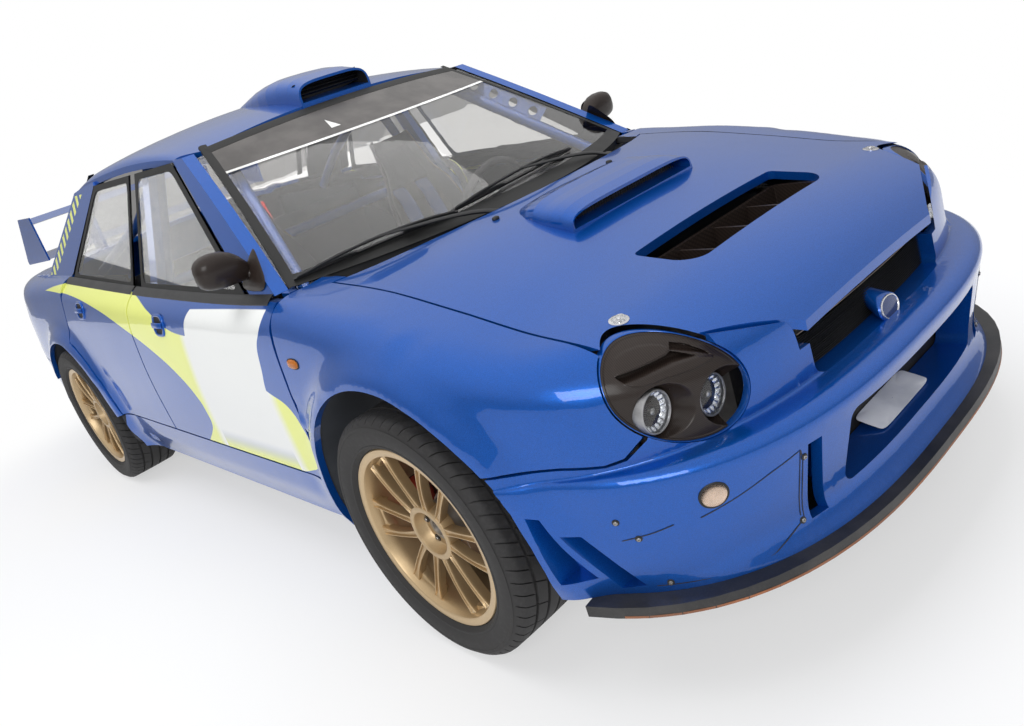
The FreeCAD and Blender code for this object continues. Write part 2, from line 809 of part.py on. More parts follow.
def screen(place_x, base_z, edge_x, depth):
    """A bowed front or rear window between its pillars, up to the roof's edge."""
    outer = []
    inner = []
    for t in spread(0, 1, 9):
        line = []
        for s in spread(-1, 1, 15):
            top_z = roof_z(edge_x, s * (glass_half(1300) - PILLAR_DEPTH)) - SCREEN_DROP
            z = base_z + (top_z - base_z) * t
            y = s * (glass_half(z) - PILLAR_DEPTH - SEAT_GAP)
            line.append(V(place_x(y, z), y, z))
        outer.append(line)
        inner.append([p + V(depth, 0, 0) for p in line])
    return solid_between(outer, inner)


def make_windscreen():
    """Windscreen, seated in its frame."""
    return screen(windscreen_x, SCREEN_BASE_Z, HEADER_X, -2.2 * GLASS)


def make_rear_window():
    """Rear window."""
    return screen(rear_glass_x, REAR_GLASS_BASE_Z + 11, ROOF_REAR_X, 2.0 * GLASS)


def make_quarter():
    """Left rear quarter with the rear roof pillar."""
    rows = spread(-2078, -780, 26)
    patch = thick_patch(rows, spread(-26, 68, 24), shoulder_point, SKIN)
    arc = arc_points((REAR_AXLE_X, TYRE_RADIUS), REAR_ARCH_RADIUS + 46 - DOOR_GAP, 8, 66, 9)
    outline = ([(-2060, 700), (-2060, 1010), (REAR_DOOR_REAR_X - DOOR_GAP, 1010),
                (REAR_DOOR_REAR_X - DOOR_GAP, arc[-1][1] + 20)] + arc[::-1]
               + [(-770, DOOR_BOTTOM_Z - 4), (-1185, 300), (-1640, 560), (-2040, 600)])
    side = patch.common(prism(outline, "XZ", 300, 1000))
    side = side.cut(wheel_opening(REAR_AXLE_X, REAR_ARCH_RADIUS, 300, 1000))
    corner = thick_patch(spread(860, 960, 6), spread(24, 84, 18), tail_point, SKIN)
    corner = corner.common(block(-2300, -2050, BOOT_HALF, 900, 870, 944))
    side = side.cut(block(-2300, -1998, BOOT_HALF, 900, BOOT_LIP_Z - GAP, 868 + 2)).fuse(corner)
    side = side.cut(prism(boot_plan(GAP), "XY", 400, 1200))
    side = side.cut(block(-1500, -900, 0, glass_half(960) - 44, 800, 1200))
    top_edge = [(x, roof_z(x, 592)) for x in spread(-664, -928, 7)]
    back = REAR_DOOR_REAR_X - DOOR_GAP
    pillar_line = [(-654, RAIL_Z - 8)] + top_edge + [(-950, 1256), (-1340, 1000), (-1380, 960), (back, 940),
                                                     (back, 960), (-1006, 966), (-974, 996)]
    pillar = leaning_slab(-1440, -620, 930, 1336, PILLAR_DEPTH)
    top = roof_skin()
    pillar = pillar.common(prism(pillar_line, "XZ", 300, 900)).cut(top)
    top.translate(Z_AXIS * -3 * SEAT_GAP)
    pillar = pillar.cut(top)
    return fuse([side, pillar])


def boot_plan(grow=0.0):
    """Outline of the boot lid from above, grown all round by a gap."""
    half = BOOT_HALF + grow
    return [(BOOT_FRONT_X + grow, -half), (BOOT_FRONT_X + grow, half), (-2260, half), (-2260, -half)]


def boot_place(run, y):
    """The boot lid's skin: back along the deck, round its edge and down to the bumper."""
    bow = 1.0 - (1.0 - (abs(y) / DOOR_HALF) ** TAIL_POWER) ** (1.0 / TAIL_POWER)
    x = boot_run_x(run) + bow * boot_run_bow(run)
    return V(x, y, boot_run_z(run) - deck_crown(boot_run_x(run)) * (y / 600.0) ** 2)


def make_boot_lid():
    """Boot lid: the deck and the face between the lamps, as one skin."""
    patch = outward_patch(spread(0, 990, 34), spread(-620, 620, 17), boot_place, -LID_SKIN)
    cutter = block(-2300, BOOT_FRONT_X, -BOOT_HALF, BOOT_HALF, BOOT_LIP_Z, 1100)
    return patch.common(cutter)


def make_rear_bumper():
    """Rear bumper, round both corners to the wheel openings."""
    rows = spread(SILL_BOTTOM + 50, BOOT_LIP_Z - GAP, 18)
    patch = thick_patch(rows, spread(-88, 88, 41), tail_point, BUMPER_SKIN)
    lip = BOOT_LIP_Z - GAP
    outline = [(-1640 - GAP, 560 - GAP), (-2040, 600 - GAP), (-2060, lip), (-2300, lip), (-2300, 240),
               (-1500, 240)]
    bumper = patch.common(prism(outline, "XZ", -1000, 1000))
    return bumper.cut(wheel_opening(REAR_AXLE_X, REAR_ARCH_RADIUS, -1000, 1000))


def nose_face_limit():
    """The bumper's reach in front view: up to the bonnet's edge between grille and lamp."""
    top = [(y, deck_z(x, y) - SEAT_GAP) for x, y in bonnet_nose()[::-1] if y < LAMP_INNER_EDGE]
    inner_x = BONNET_FRONT_X - 0.45 * (LAMP_INNER_EDGE - BONNET_NOTCH_HALF)
    top += [(LAMP_INNER_EDGE, deck_z(inner_x, LAMP_INNER_EDGE)), (LAMP_INNER_EDGE, 640), (1000, 640)]
    top.append((1000, 200))
    return [(-y, z) for y, z in reversed(top)] + top


def intake_outline(grow=0.0):
    """The lower intake in front view, grown all round."""
    high = INTAKE_TOP_Z + grow
    low = INTAKE_BOTTOM_Z - grow
    half = INTAKE_HALF + grow
    return [(-half, high), (half, high), (half + 16, low), (-half - 16, low)]


def grille_outline(grow=0.0):
    """The upper grille's opening in front view, its sides and bottom moved out."""
    half = BONNET_NOTCH_HALF + grow
    low = BUMPER_TOP_Z + 2 - grow
    return [(-half, 760), (half, 760), (half, low), (-half, low)]


def make_front_bumper():
    """Front bumper with its openings and their walls, slots and side ducts."""
    rows = [BUMPER_BOTTOM_Z - 12, 262, 290, 320, 360, 400, 440, 466, 484, 496, 506, 514, 520, 526, 532, 540,
            556, 572, 600, 630, 660, 690, 715]
    columns = spread(-86, 86, 41)
    patch = thick_patch(rows, columns, bumper_point, BUMPER_SKIN)
    low = SPLITTER_TOP + SEAT_GAP
    side = nose_seam(GAP)
    outline = [(1500, low)] + side + [(side[-1][0], 760), (2300, 760), (2300, low)]
    skin = patch.common(prism(outline, "XZ", -1000, 1000))
    skin = skin.common(prism(nose_face_limit(), "YZ", 1400, 2300))
    liner = thick_patch(rows, columns, bumper_point, LINER_DEPTH, BUMPER_SKIN / 2)
    corner = OPENING_CORNER + SURROUND_WALL
    walls = rounded_prism(intake_outline(SURROUND_WALL), [corner] * 4, "YZ", SURROUND_REAR_X, NOSE_X)
    half = BONNET_NOTCH_HALF + SURROUND_WALL
    shelf = block(SURROUND_REAR_X, NOSE_X, -half, half, BUMPER_TOP_Z - 2 * SURROUND_WALL, grille_top_z())
    bumper = fuse([skin, walls.common(liner), shelf.common(liner)])
    bumper = bumper.cut(rounded_prism(intake_outline(), [OPENING_CORNER] * 4, "YZ", 1800, 2300))
    corners = [1, 1, OPENING_CORNER, OPENING_CORNER]
    bumper = bumper.cut(rounded_prism(grille_outline(), corners, "YZ", 1800, 2300))
    lamp = lamp_oval(SEAT_GAP)
    bumper = bumper.cut(lamp).cut(mirrored(lamp)).cut(prism(bonnet_plan(LID_GAP), "XY", 600, 1200))
    for side in (1, -1):
        slot = [(side * 407, 457), (side * 443, 457), (side * 440, 280), (side * 395, 280)]
        bumper = bumper.cut(prism(slot, "YZ", 1800, 2300))
    return with_side_ducts(bumper, rows)


def with_side_ducts(bumper, rows):
    """The bumper with two slanted pockets in each side, ahead of the wheel."""
    columns = spread(38, 86, 17)
    behind = thick_patch(rows, columns, bumper_point, DUCT_DEPTH + DUCT_WALL, BUMPER_SKIN / 2)
    hollow = thick_patch(rows, columns, bumper_point, DUCT_DEPTH, -BUMPER_SKIN)
    for outline in ([(1740, 462), (1764, 455), (1818, 293), (1755, 291)],
                    [(1789, 411), (1822, 403), (1892, 262), (1846, 258)]):
        face = outline_face(outline, "XZ")
        grown = Part.Face(face.OuterWire.makeOffset2D(DUCT_WALL, 2))
        box = run_through(grown, "XZ", 500, 1000).common(behind)
        pocket = prism(outline, "XZ", 500, 1000).common(hollow)
        bumper = bumper.fuse([box, mirrored(box)]).cut(Part.makeCompound([pocket, mirrored(pocket)]))
    return bumper.cut(prism(bumper_arch(), "XZ", -1000, 1000)).removeSplitter()


def bumper_arch():
    """The bumper's edge at the wheel opening, straighter than the wing's."""
    return [(1400, 600), (1660, 585), (1676, 552), (1706, 508), (1717, 475), (1723, 433), (1731, 393),
            (1737, 327), (1734, 268), (1728, 225), (1400, 225)]


def grille_top_z():
    """Height of the grille, which stops short of the bonnet's lip."""
    return deck_z(BONNET_FRONT_X, GRILLE_HALF) - LID_SKIN - LID_GAP


def make_splitter():
    """Flat splitter under the nose."""
    edge = []
    for angle in spread(-84, 84, 41):
        a = math.radians(angle)
        origin = V(CORNER_X, 0, 0)
        reach = NOSE_X - CORNER_X
        size = (abs(math.cos(a)) / reach) ** NOSE_POWER + (abs(math.sin(a)) / DOOR_HALF) ** NOSE_POWER
        edge.append(origin + V(math.cos(a), math.sin(a), 0) * size ** (-1.0 / NOSE_POWER))
    points = [(p.x, p.y) for p in edge if p.x > WELL_FRONT_X]
    points += [(WELL_FRONT_X, WELL_IN_Y + 25), (1660, WELL_IN_Y - 15), (1660, 15 - WELL_IN_Y),
               (WELL_FRONT_X, -WELL_IN_Y - 25)]
    return prism(points, "XY", GROUND_CLEARANCE, SPLITTER_TOP)


def make_grille():
    """Upper grille between the lamps and the mesh of the lower intake."""
    top = grille_top_z()
    low = BUMPER_TOP_Z + 2 + SEAT_GAP
    rows = spread(low - 2, top + 2, 6)
    panel = thick_patch(rows, spread(-30, 30, 13), face_point, GRILLE_SET_BACK + 14, GRILLE_SET_BACK)
    corners = [(-GRILLE_HALF, top), (GRILLE_HALF, top), (GRILLE_HALF, low), (-GRILLE_HALF, low)]
    panel = panel.common(rounded_prism(corners, [1, 1, OPENING_CORNER, OPENING_CORNER], "YZ", 1900, 2300))
    slots = []
    for z in spread(BUMPER_TOP_Z + 18, top - 14, 4):
        slots.append(block(1900, 2300, 16, GRILLE_HALF - 20, z - 5, z + 5))
        slots.append(mirrored(slots[-1]))
    panel = panel.cut(Part.makeCompound(slots))
    mesh = block(2030, 2040, -INTAKE_HALF - SURROUND_WALL, INTAKE_HALF + SURROUND_WALL,
                 SPLITTER_TOP + SEAT_GAP, INTAKE_TOP_Z + 6)
    return Part.makeCompound([panel, mesh])


def make_headlamp():
    """Left headlamp: an oval pod that fills the gap between wing, bonnet and bumper."""
    rows = spread(-LAMP_HALF_HEIGHT - 12, LAMP_HALF_HEIGHT + 12, 12)
    columns = spread(-LAMP_HALF_WIDTH - 12, LAMP_HALF_WIDTH + 12, 16)
    return thick_patch(rows, columns, lamp_point, 40).common(lamp_oval())


def make_tail_lamp():
    """Left tail lamp, round the corner beside the boot lid."""
    rows = spread(BOOT_LIP_Z, 900, 10)
    patch = thick_patch(rows, spread(26, 80, 22), tail_point, 40)
    return patch.common(block(-2300, -2000, BOOT_HALF + GAP, 900, BOOT_LIP_Z + 2, 868))


def make_cowl():
    """Scuttle under the windscreen with the firewall below it."""
    across = spread(-650, 650, 13)
    plan = [(BONNET_REAR_X - 2 * GAP - BONNET_SWEEP * y * y, y) for y in across]
    plan += [(windscreen_x(y, SCREEN_BASE_Z) - 40, y) for y in reversed(across)]
    tray = prism(plan, "XY", 852, 866)
    lip = [(windscreen_x(y, SCREEN_BASE_Z), y) for y in across]
    lip += [(windscreen_x(y, SCREEN_BASE_Z) - 2 * GLASS, y) for y in reversed(across)]
    upstand = prism(lip, "XY", 866, SCREEN_BASE_Z - SEAT_GAP)
    wall = block(FIREWALL_X, FIREWALL_X + 12, -700, 700, FLOOR_TOP + SEAT_GAP, 852)
    shelf = block(FIREWALL_X, COWL_X, -600, 600, 840, 852)
    return fuse([tray, upstand, wall, shelf])


def make_wipers():
    """Two wipers across the windscreen."""
    arms = []
    for y in (-330, 180):
        a = V(windscreen_x(y, 905) + 26, y, 906)
        b = V(windscreen_x(y + 300, 950) + 22, y + 300, 950)
        arms.append(rod(a, b, 6))
    return Part.makeCompound(arms)


def make_floor():
    """Floor with its tunnel, inner wheel houses and the bulkhead behind the seats."""
    side = [(-2055, 540), (-1640, REAR_WALL_Y), (-800, REAR_WALL_Y), (-800, FLOOR_HALF), (890, FLOOR_HALF),
            (FIREWALL_X - 4, WELL_IN_Y), (1630, WELL_IN_Y), (1990, 520)]
    plan = side + [(x, -y) for x, y in reversed(side)]
    pieces = [prism(plan, "XY", FLOOR_Z, FLOOR_TOP)]
    for y in (REAR_WALL_Y - 12, -REAR_WALL_Y):
        wall = block(-1600, -800, y, y + 12, FLOOR_TOP, 900)
        pieces.append(wall.cut(Part.makeCylinder(60, 100, V(REAR_AXLE_X, y - 40, TYRE_RADIUS), Y_AXIS)))
    for y in (WELL_IN_Y - 12, -WELL_IN_Y):
        pieces.append(block(FIREWALL_X + 12, 1700, y, y + 12, FLOOR_TOP, 700)
                      .cut(block(1270, 1600, y - 5, y + 17, FLOOR_TOP, 300)))
    for low, high in ((WELL_IN_Y, 652), (-652, -WELL_IN_Y)):
        pieces.append(block(FRONT_AXLE_X - 90, FRONT_AXLE_X + 90, low, high, STRUT_TOP_Z + SEAT_GAP, 700))
    pieces.append(block(-812, -800, -REAR_WALL_Y + 12, REAR_WALL_Y - 12, FLOOR_TOP, 880))
    tunnel = block(-800, FIREWALL_X, -130, 130, FLOOR_TOP, 400)
    pieces.append(tunnel.cut(block(-800, FIREWALL_X, -118, 118, FLOOR_TOP, 388)))
    return fuse(pieces)


def make_sill():
    """Left sill below the doors, with the middle pillar behind the glass."""
    rows = spread(-830, 1060, 26)
    patch = thick_patch(rows, spread(SILL_BOTTOM, DOOR_BOTTOM_Z + 10, 8), side_point, SILL_DEPTH)
    outline = [(-800, 205), (955, 205), (955, 222), (FRONT_DOOR_FRONT_X + 22, 240),
               (FRONT_DOOR_FRONT_X + 22, DOOR_BOTTOM_Z - GAP), (-762, DOOR_BOTTOM_Z - GAP), (-790, 330)]
    sill = patch.common(prism(outline, "XZ", FLOOR_HALF + SEAT_GAP, 1000))
    pillar = prism([(DOOR_SPLIT_X - 42, 300), (DOOR_SPLIT_X + 42, 300), (DOOR_SPLIT_X + 30, 1330),
                    (DOOR_SPLIT_X - 30, 1330)], "XZ", 400, 900)
    slab = Part.Face(Part.makePolygon([V(0, 745, 300), V(0, 745, 800), V(0, 690, 905), V(0, 545, 1310),
                                       V(0, 515, 1310), V(0, 655, 905), V(0, 715, 800), V(0, 715, 300),
                                       V(0, 745, 300)])).extrude(X_AXIS * 400)
    slab.translate(V(DOOR_SPLIT_X - 200, 0, 0))
    pillar = slab.common(pillar)
    post = block(870, 912, FLOOR_HALF + SEAT_GAP, 742, 240, POST_TOP_Z - SEAT_GAP)
    return fuse([sill, pillar, post])


def make_wing():
    """Rear wing: two planes between end plates, on two struts."""
    plate_line = [(WING_FRONT_X, 1000), (WING_FRONT_X, WING_TOP_Z), (-1987, WING_TOP_Z + 3),
                  (WING_REAR_X, 1004), (WING_REAR_X, 985)]
    plate = prism(plate_line, "XZ", WING_HALF - 8, WING_HALF)

    def plane(x0, x1, z0, z1, thick):
        section = [(x0, z0), (0.5 * (x0 + x1), z0 + thick * 0.6 + 0.5 * (z1 - z0)), (x1, z1),
                   (0.5 * (x0 + x1), z0 - thick * 0.5 + 0.5 * (z1 - z0))]
        return prism(section, "XZ", -WING_HALF + 4, WING_HALF - 4)
    main = plane(WING_FRONT_X - 6, -2030, WING_TOP_Z - 34, WING_TOP_Z - 16, 30)
    low = plane(WING_FRONT_X - 60, -2170, 1000, 1022, 24)
    struts = [block(-1960, -1800, y - 9, y + 9, 966, 1190) for y in (-330, 330)]
    return fuse([main, low, plate, mirrored(plate)] + struts).cut(make_boot_lid())


def make_dashboard():
    rear = FIREWALL_X - SEAT_GAP
    line = [(rear, 560), (rear, 800), (860, 838), (700, 850), (610, 800), (620, 640), (760, 560)]
    return prism(line, "XZ", -DASH_HALF, DASH_HALF)


def make_seat():
    """Left bucket seat."""
    foot = FLOOR_TOP + SEAT_GAP
    base = [(40, 300), (60, foot), (440, foot), (460, 310), (520, 320), (560, 420), (520, 470), (120, 420),
            (20, 560), (-110, 1090), (-170, 1080), (-120, 420), (-60, 300)]
    seat = prism(base, "XZ", 170, 590)
    hollow = [(150, 425), (530, 475), (600, 520), (-60, 1100), (-110, 1050), (40, 560)]
    return seat.cut(prism(hollow, "XZ", 225, 535))


def make_cage():
    """Roll cage of round tube."""
    foot_z = FLOOR_TOP + CAGE_TUBE + SEAT_GAP
    runs = []
    for side in (1, -1):
        top_rear = V(-250, side * 485, 1280)
        top_front = V(250, side * 462, 1250)
        hip = V(-250, side * 628, 870)
        runs.append([V(-250, side * 622, foot_z), hip, top_rear])
        runs.append([top_rear, top_front, V(800, side * 640, 850), V(850, side * 640, foot_z)])
        stay_foot = V(-1080, side * (REAR_WALL_Y - 6), 900 + CAGE_TUBE + SEAT_GAP)
        runs.append([top_rear, V(-700, side * 500, 1080), stay_foot])
        runs.append([V(-250, side * 626, 560), V(840, side * 640, 400)])
        runs.append([V(-250, side * 624, 400), V(825, side * 640, 560)])
    runs.append([V(-250, -485, 1280), V(-250, 485, 1280)])
    runs.append([V(250, -462, 1250), V(250, 462, 1250)])
    runs.append([V(-250, -628, 870), V(-250, 628, 870)])
    return tube_frame(runs, CAGE_TUBE)


def make_steering_wheel():
    """Steering wheel on its column, in front of the left seat."""
    ring = Part.makeTorus(160, 14)
    hub = Part.makeCylinder(38, 24, V(0, 0, -12))
    spokes = [Part.makeBox(150, 24, 8, V(0, -12, -4)) for _ in range(3)]
    for i, spoke in enumerate(spokes):
        spoke.rotate(V(0, 0, 0), Z_AXIS, 90 + 120 * i)
    column = Part.makeCylinder(18, 136, V(0, 0, 0))
    wheel = fuse([ring, hub, column] + spokes)
    wheel.rotate(V(0, 0, 0), Y_AXIS, 112)
    wheel.translate(V(480, 370, 780))
    return wheel


def make_engine():
    return block(1480, 1900, -330, 330, SUBFRAME_TOP + SEAT_GAP, 640)


def make_exhaust():
    """Exhaust pipe and silencer under the floor."""
    low = FLOOR_Z - SEAT_GAP
    pipe = rod(V(900, 60, low - 17), V(-1710, 60, low - 17), 14)
    silencer = block(-2000, -1700, -300, 90, low - 30, low)
    return fuse([pipe, silencer])


def make_rim():
    """Wheel rim about the Y axis, outer face towards +Y, with spokes in pairs."""
    out = RIM_OFFSET_OUT
    inn = -RIM_OFFSET_IN
    seat = RIM_SEAT_RADIUS
    lip = RIM_RADIUS
    well = seat - 14
    bare = seat - RIM_WALL
    outer = [(lip, inn), (lip, inn + 8), (seat, inn + 16), (seat, -20), (well, 0), (well, 40), (seat, 60),
             (seat, out - 16), (lip, out - 8), (lip, out)]
    inner = [(lip - RIM_WALL, out), (bare, out - 12), (bare, 62), (well - RIM_WALL, 42),
             (well - RIM_WALL, -2), (bare, -24), (bare, inn + 12), (lip - RIM_WALL, inn)]
    corners = [V(r, y, 0) for r, y in outer + inner]
    barrel = Part.Face(Part.makePolygon(corners + corners[:1])).revolve(V(0, 0, 0), Y_AXIS, 360)
    hub = Part.makeCylinder(HUB_RADIUS, 34, V(0, 44, 0), Y_AXIS)
    bore = Part.makeCylinder(HUB_BORE, 60, V(0, 50, 0), Y_AXIS)
    spokes = []
    for pair in range(SPOKE_PAIRS):
        for way in (1, -1):
            angle = 360.0 * pair / SPOKE_PAIRS + way * SPOKE_SPLAY
            foot = 360.0 * pair / SPOKE_PAIRS + way * SPOKE_SPLAY * 1.6
            spokes.append(spoke_between(foot, angle))
    return fuse([barrel, hub.cut(bore)] + spokes)


def spoke_between(foot_angle, tip_angle):
    """One spoke, from the hub's rim to the barrel."""
    def section(radius, angle, y, width, depth):
        a = math.radians(angle)
        centre = V(math.cos(a) * radius, y, math.sin(a) * radius)
        across = V(-math.sin(a), 0, math.cos(a)) * (width / 2)
        deep = Y_AXIS * depth
        points = [centre + across, centre - across, centre - across * 0.8 - deep,
                  centre + across * 0.8 - deep]
        return Part.makePolygon(points + points[:1])
    middle_angle = 0.5 * (foot_angle + tip_angle)
    sections = [section(HUB_RADIUS - 12, foot_angle, 76, SPOKE_WIDTH + 5, SPOKE_DEPTH),
                section(150, middle_angle, 82, SPOKE_WIDTH, SPOKE_DEPTH),
                section(RIM_SEAT_RADIUS - 3, tip_angle, 78, SPOKE_WIDTH + 2, SPOKE_DEPTH)]
    return Part.makeLoft(sections, True, False)


def make_tyre():
    """Tyre about the Y axis."""
    w = TYRE_WIDTH / 2
    r = TYRE_RADIUS
    bead = RIM_SEAT_RADIUS + SEAT_GAP
    lip = RIM_RADIUS + 2 * SEAT_GAP
    outer = RIM_OFFSET_OUT - SEAT_GAP
    inner = -RIM_OFFSET_IN + SEAT_GAP
    profile = [(bead, inner + 16), (lip, inner + 8), (lip + 26, -w + 2), (r - 42, -w), (r - 8, -w + 16),
               (r, -w + 34), (r, w - 34), (r - 8, w - 16), (r - 42, w), (lip + 26, w - 2), (lip, outer - 8),
               (bead, outer - 16)]
    corners = [V(radius, y, 0) for radius, y in profile]
    return Part.Face(Part.makePolygon(corners + corners[:1])).revolve(V(0, 0, 0), Y_AXIS, 360)


def make_disc():
    """Brake disc with its bell, about the Y axis."""
    disc = Part.makeCylinder(DISC_RADIUS, DISC_THICKNESS, V(0, -DISC_FACE_IN, 0), Y_AXIS)
    bell = Part.makeCylinder(70, DISC_FACE_IN + 44, V(0, -DISC_FACE_IN, 0), Y_AXIS)
    return fuse([disc, bell])


def make_knuckle():
    """Left front hub carrier with its brake calliper and the foot of its strut."""
    face = WHEEL_Y - DISC_FACE_IN - SEAT_GAP
    hub = Part.makeCylinder(38, 44, V(FRONT_AXLE_X, face - 44, TYRE_RADIUS), Y_AXIS)
    upright = block(FRONT_AXLE_X - 40, FRONT_AXLE_X + 40, face - 34, face - 5, ARM_TOP_Z + BALL_HEIGHT, 460)
    neck = block(FRONT_AXLE_X - 30, FRONT_AXLE_X + 30, 585, face - 20, 400, 450)
    strut = rod(V(FRONT_AXLE_X, 612, 380), V(FRONT_AXLE_X, 612, STRUT_TOP_Z), 27)
    caliper = block(FRONT_AXLE_X - 190, FRONT_AXLE_X - 105, face - 38, WHEEL_Y, 270, 380)
    slot = Part.makeCylinder(DISC_RADIUS + 8, DISC_THICKNESS + 12,
                             V(FRONT_AXLE_X, WHEEL_Y - DISC_FACE_IN - 6, TYRE_RADIUS), Y_AXIS)
    arm = block(FRONT_AXLE_X - 140, FRONT_AXLE_X, face - 34, face - 12, 310, 350)
    return fuse([hub, upright, neck, strut, arm, caliper.cut(slot)])


def make_front_suspension():
    """Subframe, lower arms and their ball joints in front."""
    low = FLOOR_TOP + SEAT_GAP
    half = BALL_RADIUS + 2
    near = KINGPIN_Y - 22
    far = KINGPIN_Y + 6
    plan = [(1560, 325), (1300, 325), (FRONT_AXLE_X - half, near), (FRONT_AXLE_X - half, far),
            (FRONT_AXLE_X + half, far), (FRONT_AXLE_X + half, near)]
    arm = prism(plan, "XY", low + 2, ARM_TOP_Z)
    ball = Part.makeCylinder(BALL_RADIUS, BALL_HEIGHT - SEAT_GAP, V(FRONT_AXLE_X, KINGPIN_Y, ARM_TOP_Z))
    arm = arm.fuse(ball)
    return fuse([block(1240, 1640, -330, 330, low, SUBFRAME_TOP), arm, mirrored(arm)])


def make_rear_suspension():
    """Rear arms, hub carriers, callipers and differential."""
    pieces = [block(REAR_AXLE_X - 140, REAR_AXLE_X + 140, -150, 150, FLOOR_TOP + SEAT_GAP, 400)]
    for side in (1, -1):
        y = WHEEL_Y - DISC_FACE_IN - 46
        outer_end = V(REAR_AXLE_X, side * (WHEEL_Y - DISC_FACE_IN - SEAT_GAP), TYRE_RADIUS)
        shaft = rod(V(REAR_AXLE_X, side * 140, TYRE_RADIUS), outer_end, 24)
        ends = sorted((side * y, side * (y + 26)))
        upright = block(REAR_AXLE_X - 45, REAR_AXLE_X + 45, ends[0], ends[1], 190, 460)
        pieces.extend([shaft, upright])
    return fuse(pieces)


def place_wheel(shape, axle, side):
    """A wheel piece made for the left side, put at its corner of the car."""
    corner = shape.copy() if side == "left" else mirrored(shape)
    corner.translate(V(axle, WHEEL_Y if side == "left" else -WHEEL_Y, TYRE_RADIUS))
    return corner


def make_wheels():
    """Rims with their discs, and tyres, at four corners."""
    rim = Part.makeCompound([make_rim().fuse(make_disc())])
    tyre = make_tyre()
    pieces = {}
    for end, axle in (("front", FRONT_AXLE_X), ("rear", REAR_AXLE_X)):
        for side in ("left", "right"):
            pieces["rim_%s_%s" % (end, side)] = place_wheel(rim, axle, side)
            pieces["tyre_%s_%s" % (end, side)] = place_wheel(tyre, axle, side)
    return pieces


def make_all():
    """Every piece of the car by name."""
    pieces = {
        "bonnet": make_bonnet(),
        "bonnet_duct": make_bonnet_duct(),
        "front_fenders": both_sides(make_fender()),
        "rear_quarters": both_sides(make_quarter()),
        "front_bumper": make_front_bumper(),
        "rear_bumper": make_rear_bumper(),
        "splitter": make_splitter(),
        "grille": make_grille(),
        "headlamps": both_sides(make_headlamp()),
        "tail_lamps": both_sides(make_tail_lamp()),
        "roof": make_roof(),
        "windscreen": make_windscreen(),
        "rear_window": make_rear_window(),
        "boot_lid": make_boot_lid(),
        "rear_wing": make_wing(),
        "cowl": make_cowl(),
        "wipers": make_wipers(),
        "floor_pan": make_floor(),
        "sills": both_sides(make_sill()),
        "dashboard": make_dashboard(),
        "seats": both_sides(make_seat()),
        "roll_cage": make_cage(),
        "steering_wheel": make_steering_wheel(),
        "engine_block": make_engine(),
        "exhaust": make_exhaust(),
        "front_suspension": make_front_suspension(),
        "rear_suspension": make_rear_suspension(),
    }
    knuckle = make_knuckle()
    pieces["knuckle_left"] = knuckle
    pieces["knuckle_right"] = mirrored(knuckle)
    pieces.update(make_doors())
    pieces.update(make_wheels())
    return pieces


def main():
    os.makedirs(OUT, exist_ok=True)
    for name, shape in make_all().items():
        shape.exportStep(os.path.join(OUT, name + ".step"))
        print(name, "valid" if shape.isValid() else "INVALID", len(shape.Solids), "solids",
              round(shape.Volume / 1e6, 2), "litres", [round(v) for v in
              (shape.BoundBox.XMin, shape.BoundBox.XMax, shape.BoundBox.YMin, shape.BoundBox.YMax,
               shape.BoundBox.ZMin, shape.BoundBox.ZMax)])


if __name__ == "__main__":
    main()
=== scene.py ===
"""Dresses the rally car: a finish for every CAD piece, and the detailed pieces that ride on them.

Lengths in the classes are millimetres, as on a drawing; meshes are made in metres in the frame
of the CAD model: +X forward, +Y to the car's left, +Z up, the ground at z = 0.
"""
import logging
import math
from dataclasses import dataclass, field
from enum import Enum
from typing import Callable, Dict, List, Optional, Sequence, Tuple

import bmesh
import bpy
import numpy as np
from mathutils import Matrix, Vector


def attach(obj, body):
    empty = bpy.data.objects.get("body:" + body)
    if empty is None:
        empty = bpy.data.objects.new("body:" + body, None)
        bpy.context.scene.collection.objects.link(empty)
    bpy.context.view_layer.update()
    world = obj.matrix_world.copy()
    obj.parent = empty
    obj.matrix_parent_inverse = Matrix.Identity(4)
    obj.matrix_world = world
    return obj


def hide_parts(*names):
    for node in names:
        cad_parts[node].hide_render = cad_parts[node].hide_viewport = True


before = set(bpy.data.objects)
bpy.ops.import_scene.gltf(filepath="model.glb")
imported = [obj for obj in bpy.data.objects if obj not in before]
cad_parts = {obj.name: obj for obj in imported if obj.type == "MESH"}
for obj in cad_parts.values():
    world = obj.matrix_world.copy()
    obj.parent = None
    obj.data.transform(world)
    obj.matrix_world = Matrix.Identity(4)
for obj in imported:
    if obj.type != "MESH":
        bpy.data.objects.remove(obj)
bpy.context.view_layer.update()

MM = 0.001
LOG = logging.getLogger("rally_car")

Colour = Tuple[float, float, float]
Place = Tuple[float, float, float]
Pair = Tuple[float, float]
Outline = Sequence[Pair]
Socket = bpy.types.NodeSocket


class Side(Enum):
    """A side of the car, with the sign of Y there."""
    LEFT = 1
    RIGHT = -1

    @property
    def word(self) -> str:
        """The side's name as it stands in piece names."""
        return self.name.lower()


class Body(Enum):
    """The bodies that pieces ride on; the sided ones take the side's name."""
    CHASSIS = "chassis"
    BONNET = "bonnet_lid"
    BOOT = "boot"
    FRONT_DOOR = "front_door_%s"
    REAR_DOOR = "rear_door_%s"
    STEER = "steer_%s"
    FRONT_WHEEL = "wheel_front_%s"
    REAR_WHEEL = "wheel_rear_%s"

    def on(self, side: Optional[Side] = None) -> str:
        """The body's full name on a side."""
        return self.value % side.word if side else self.value


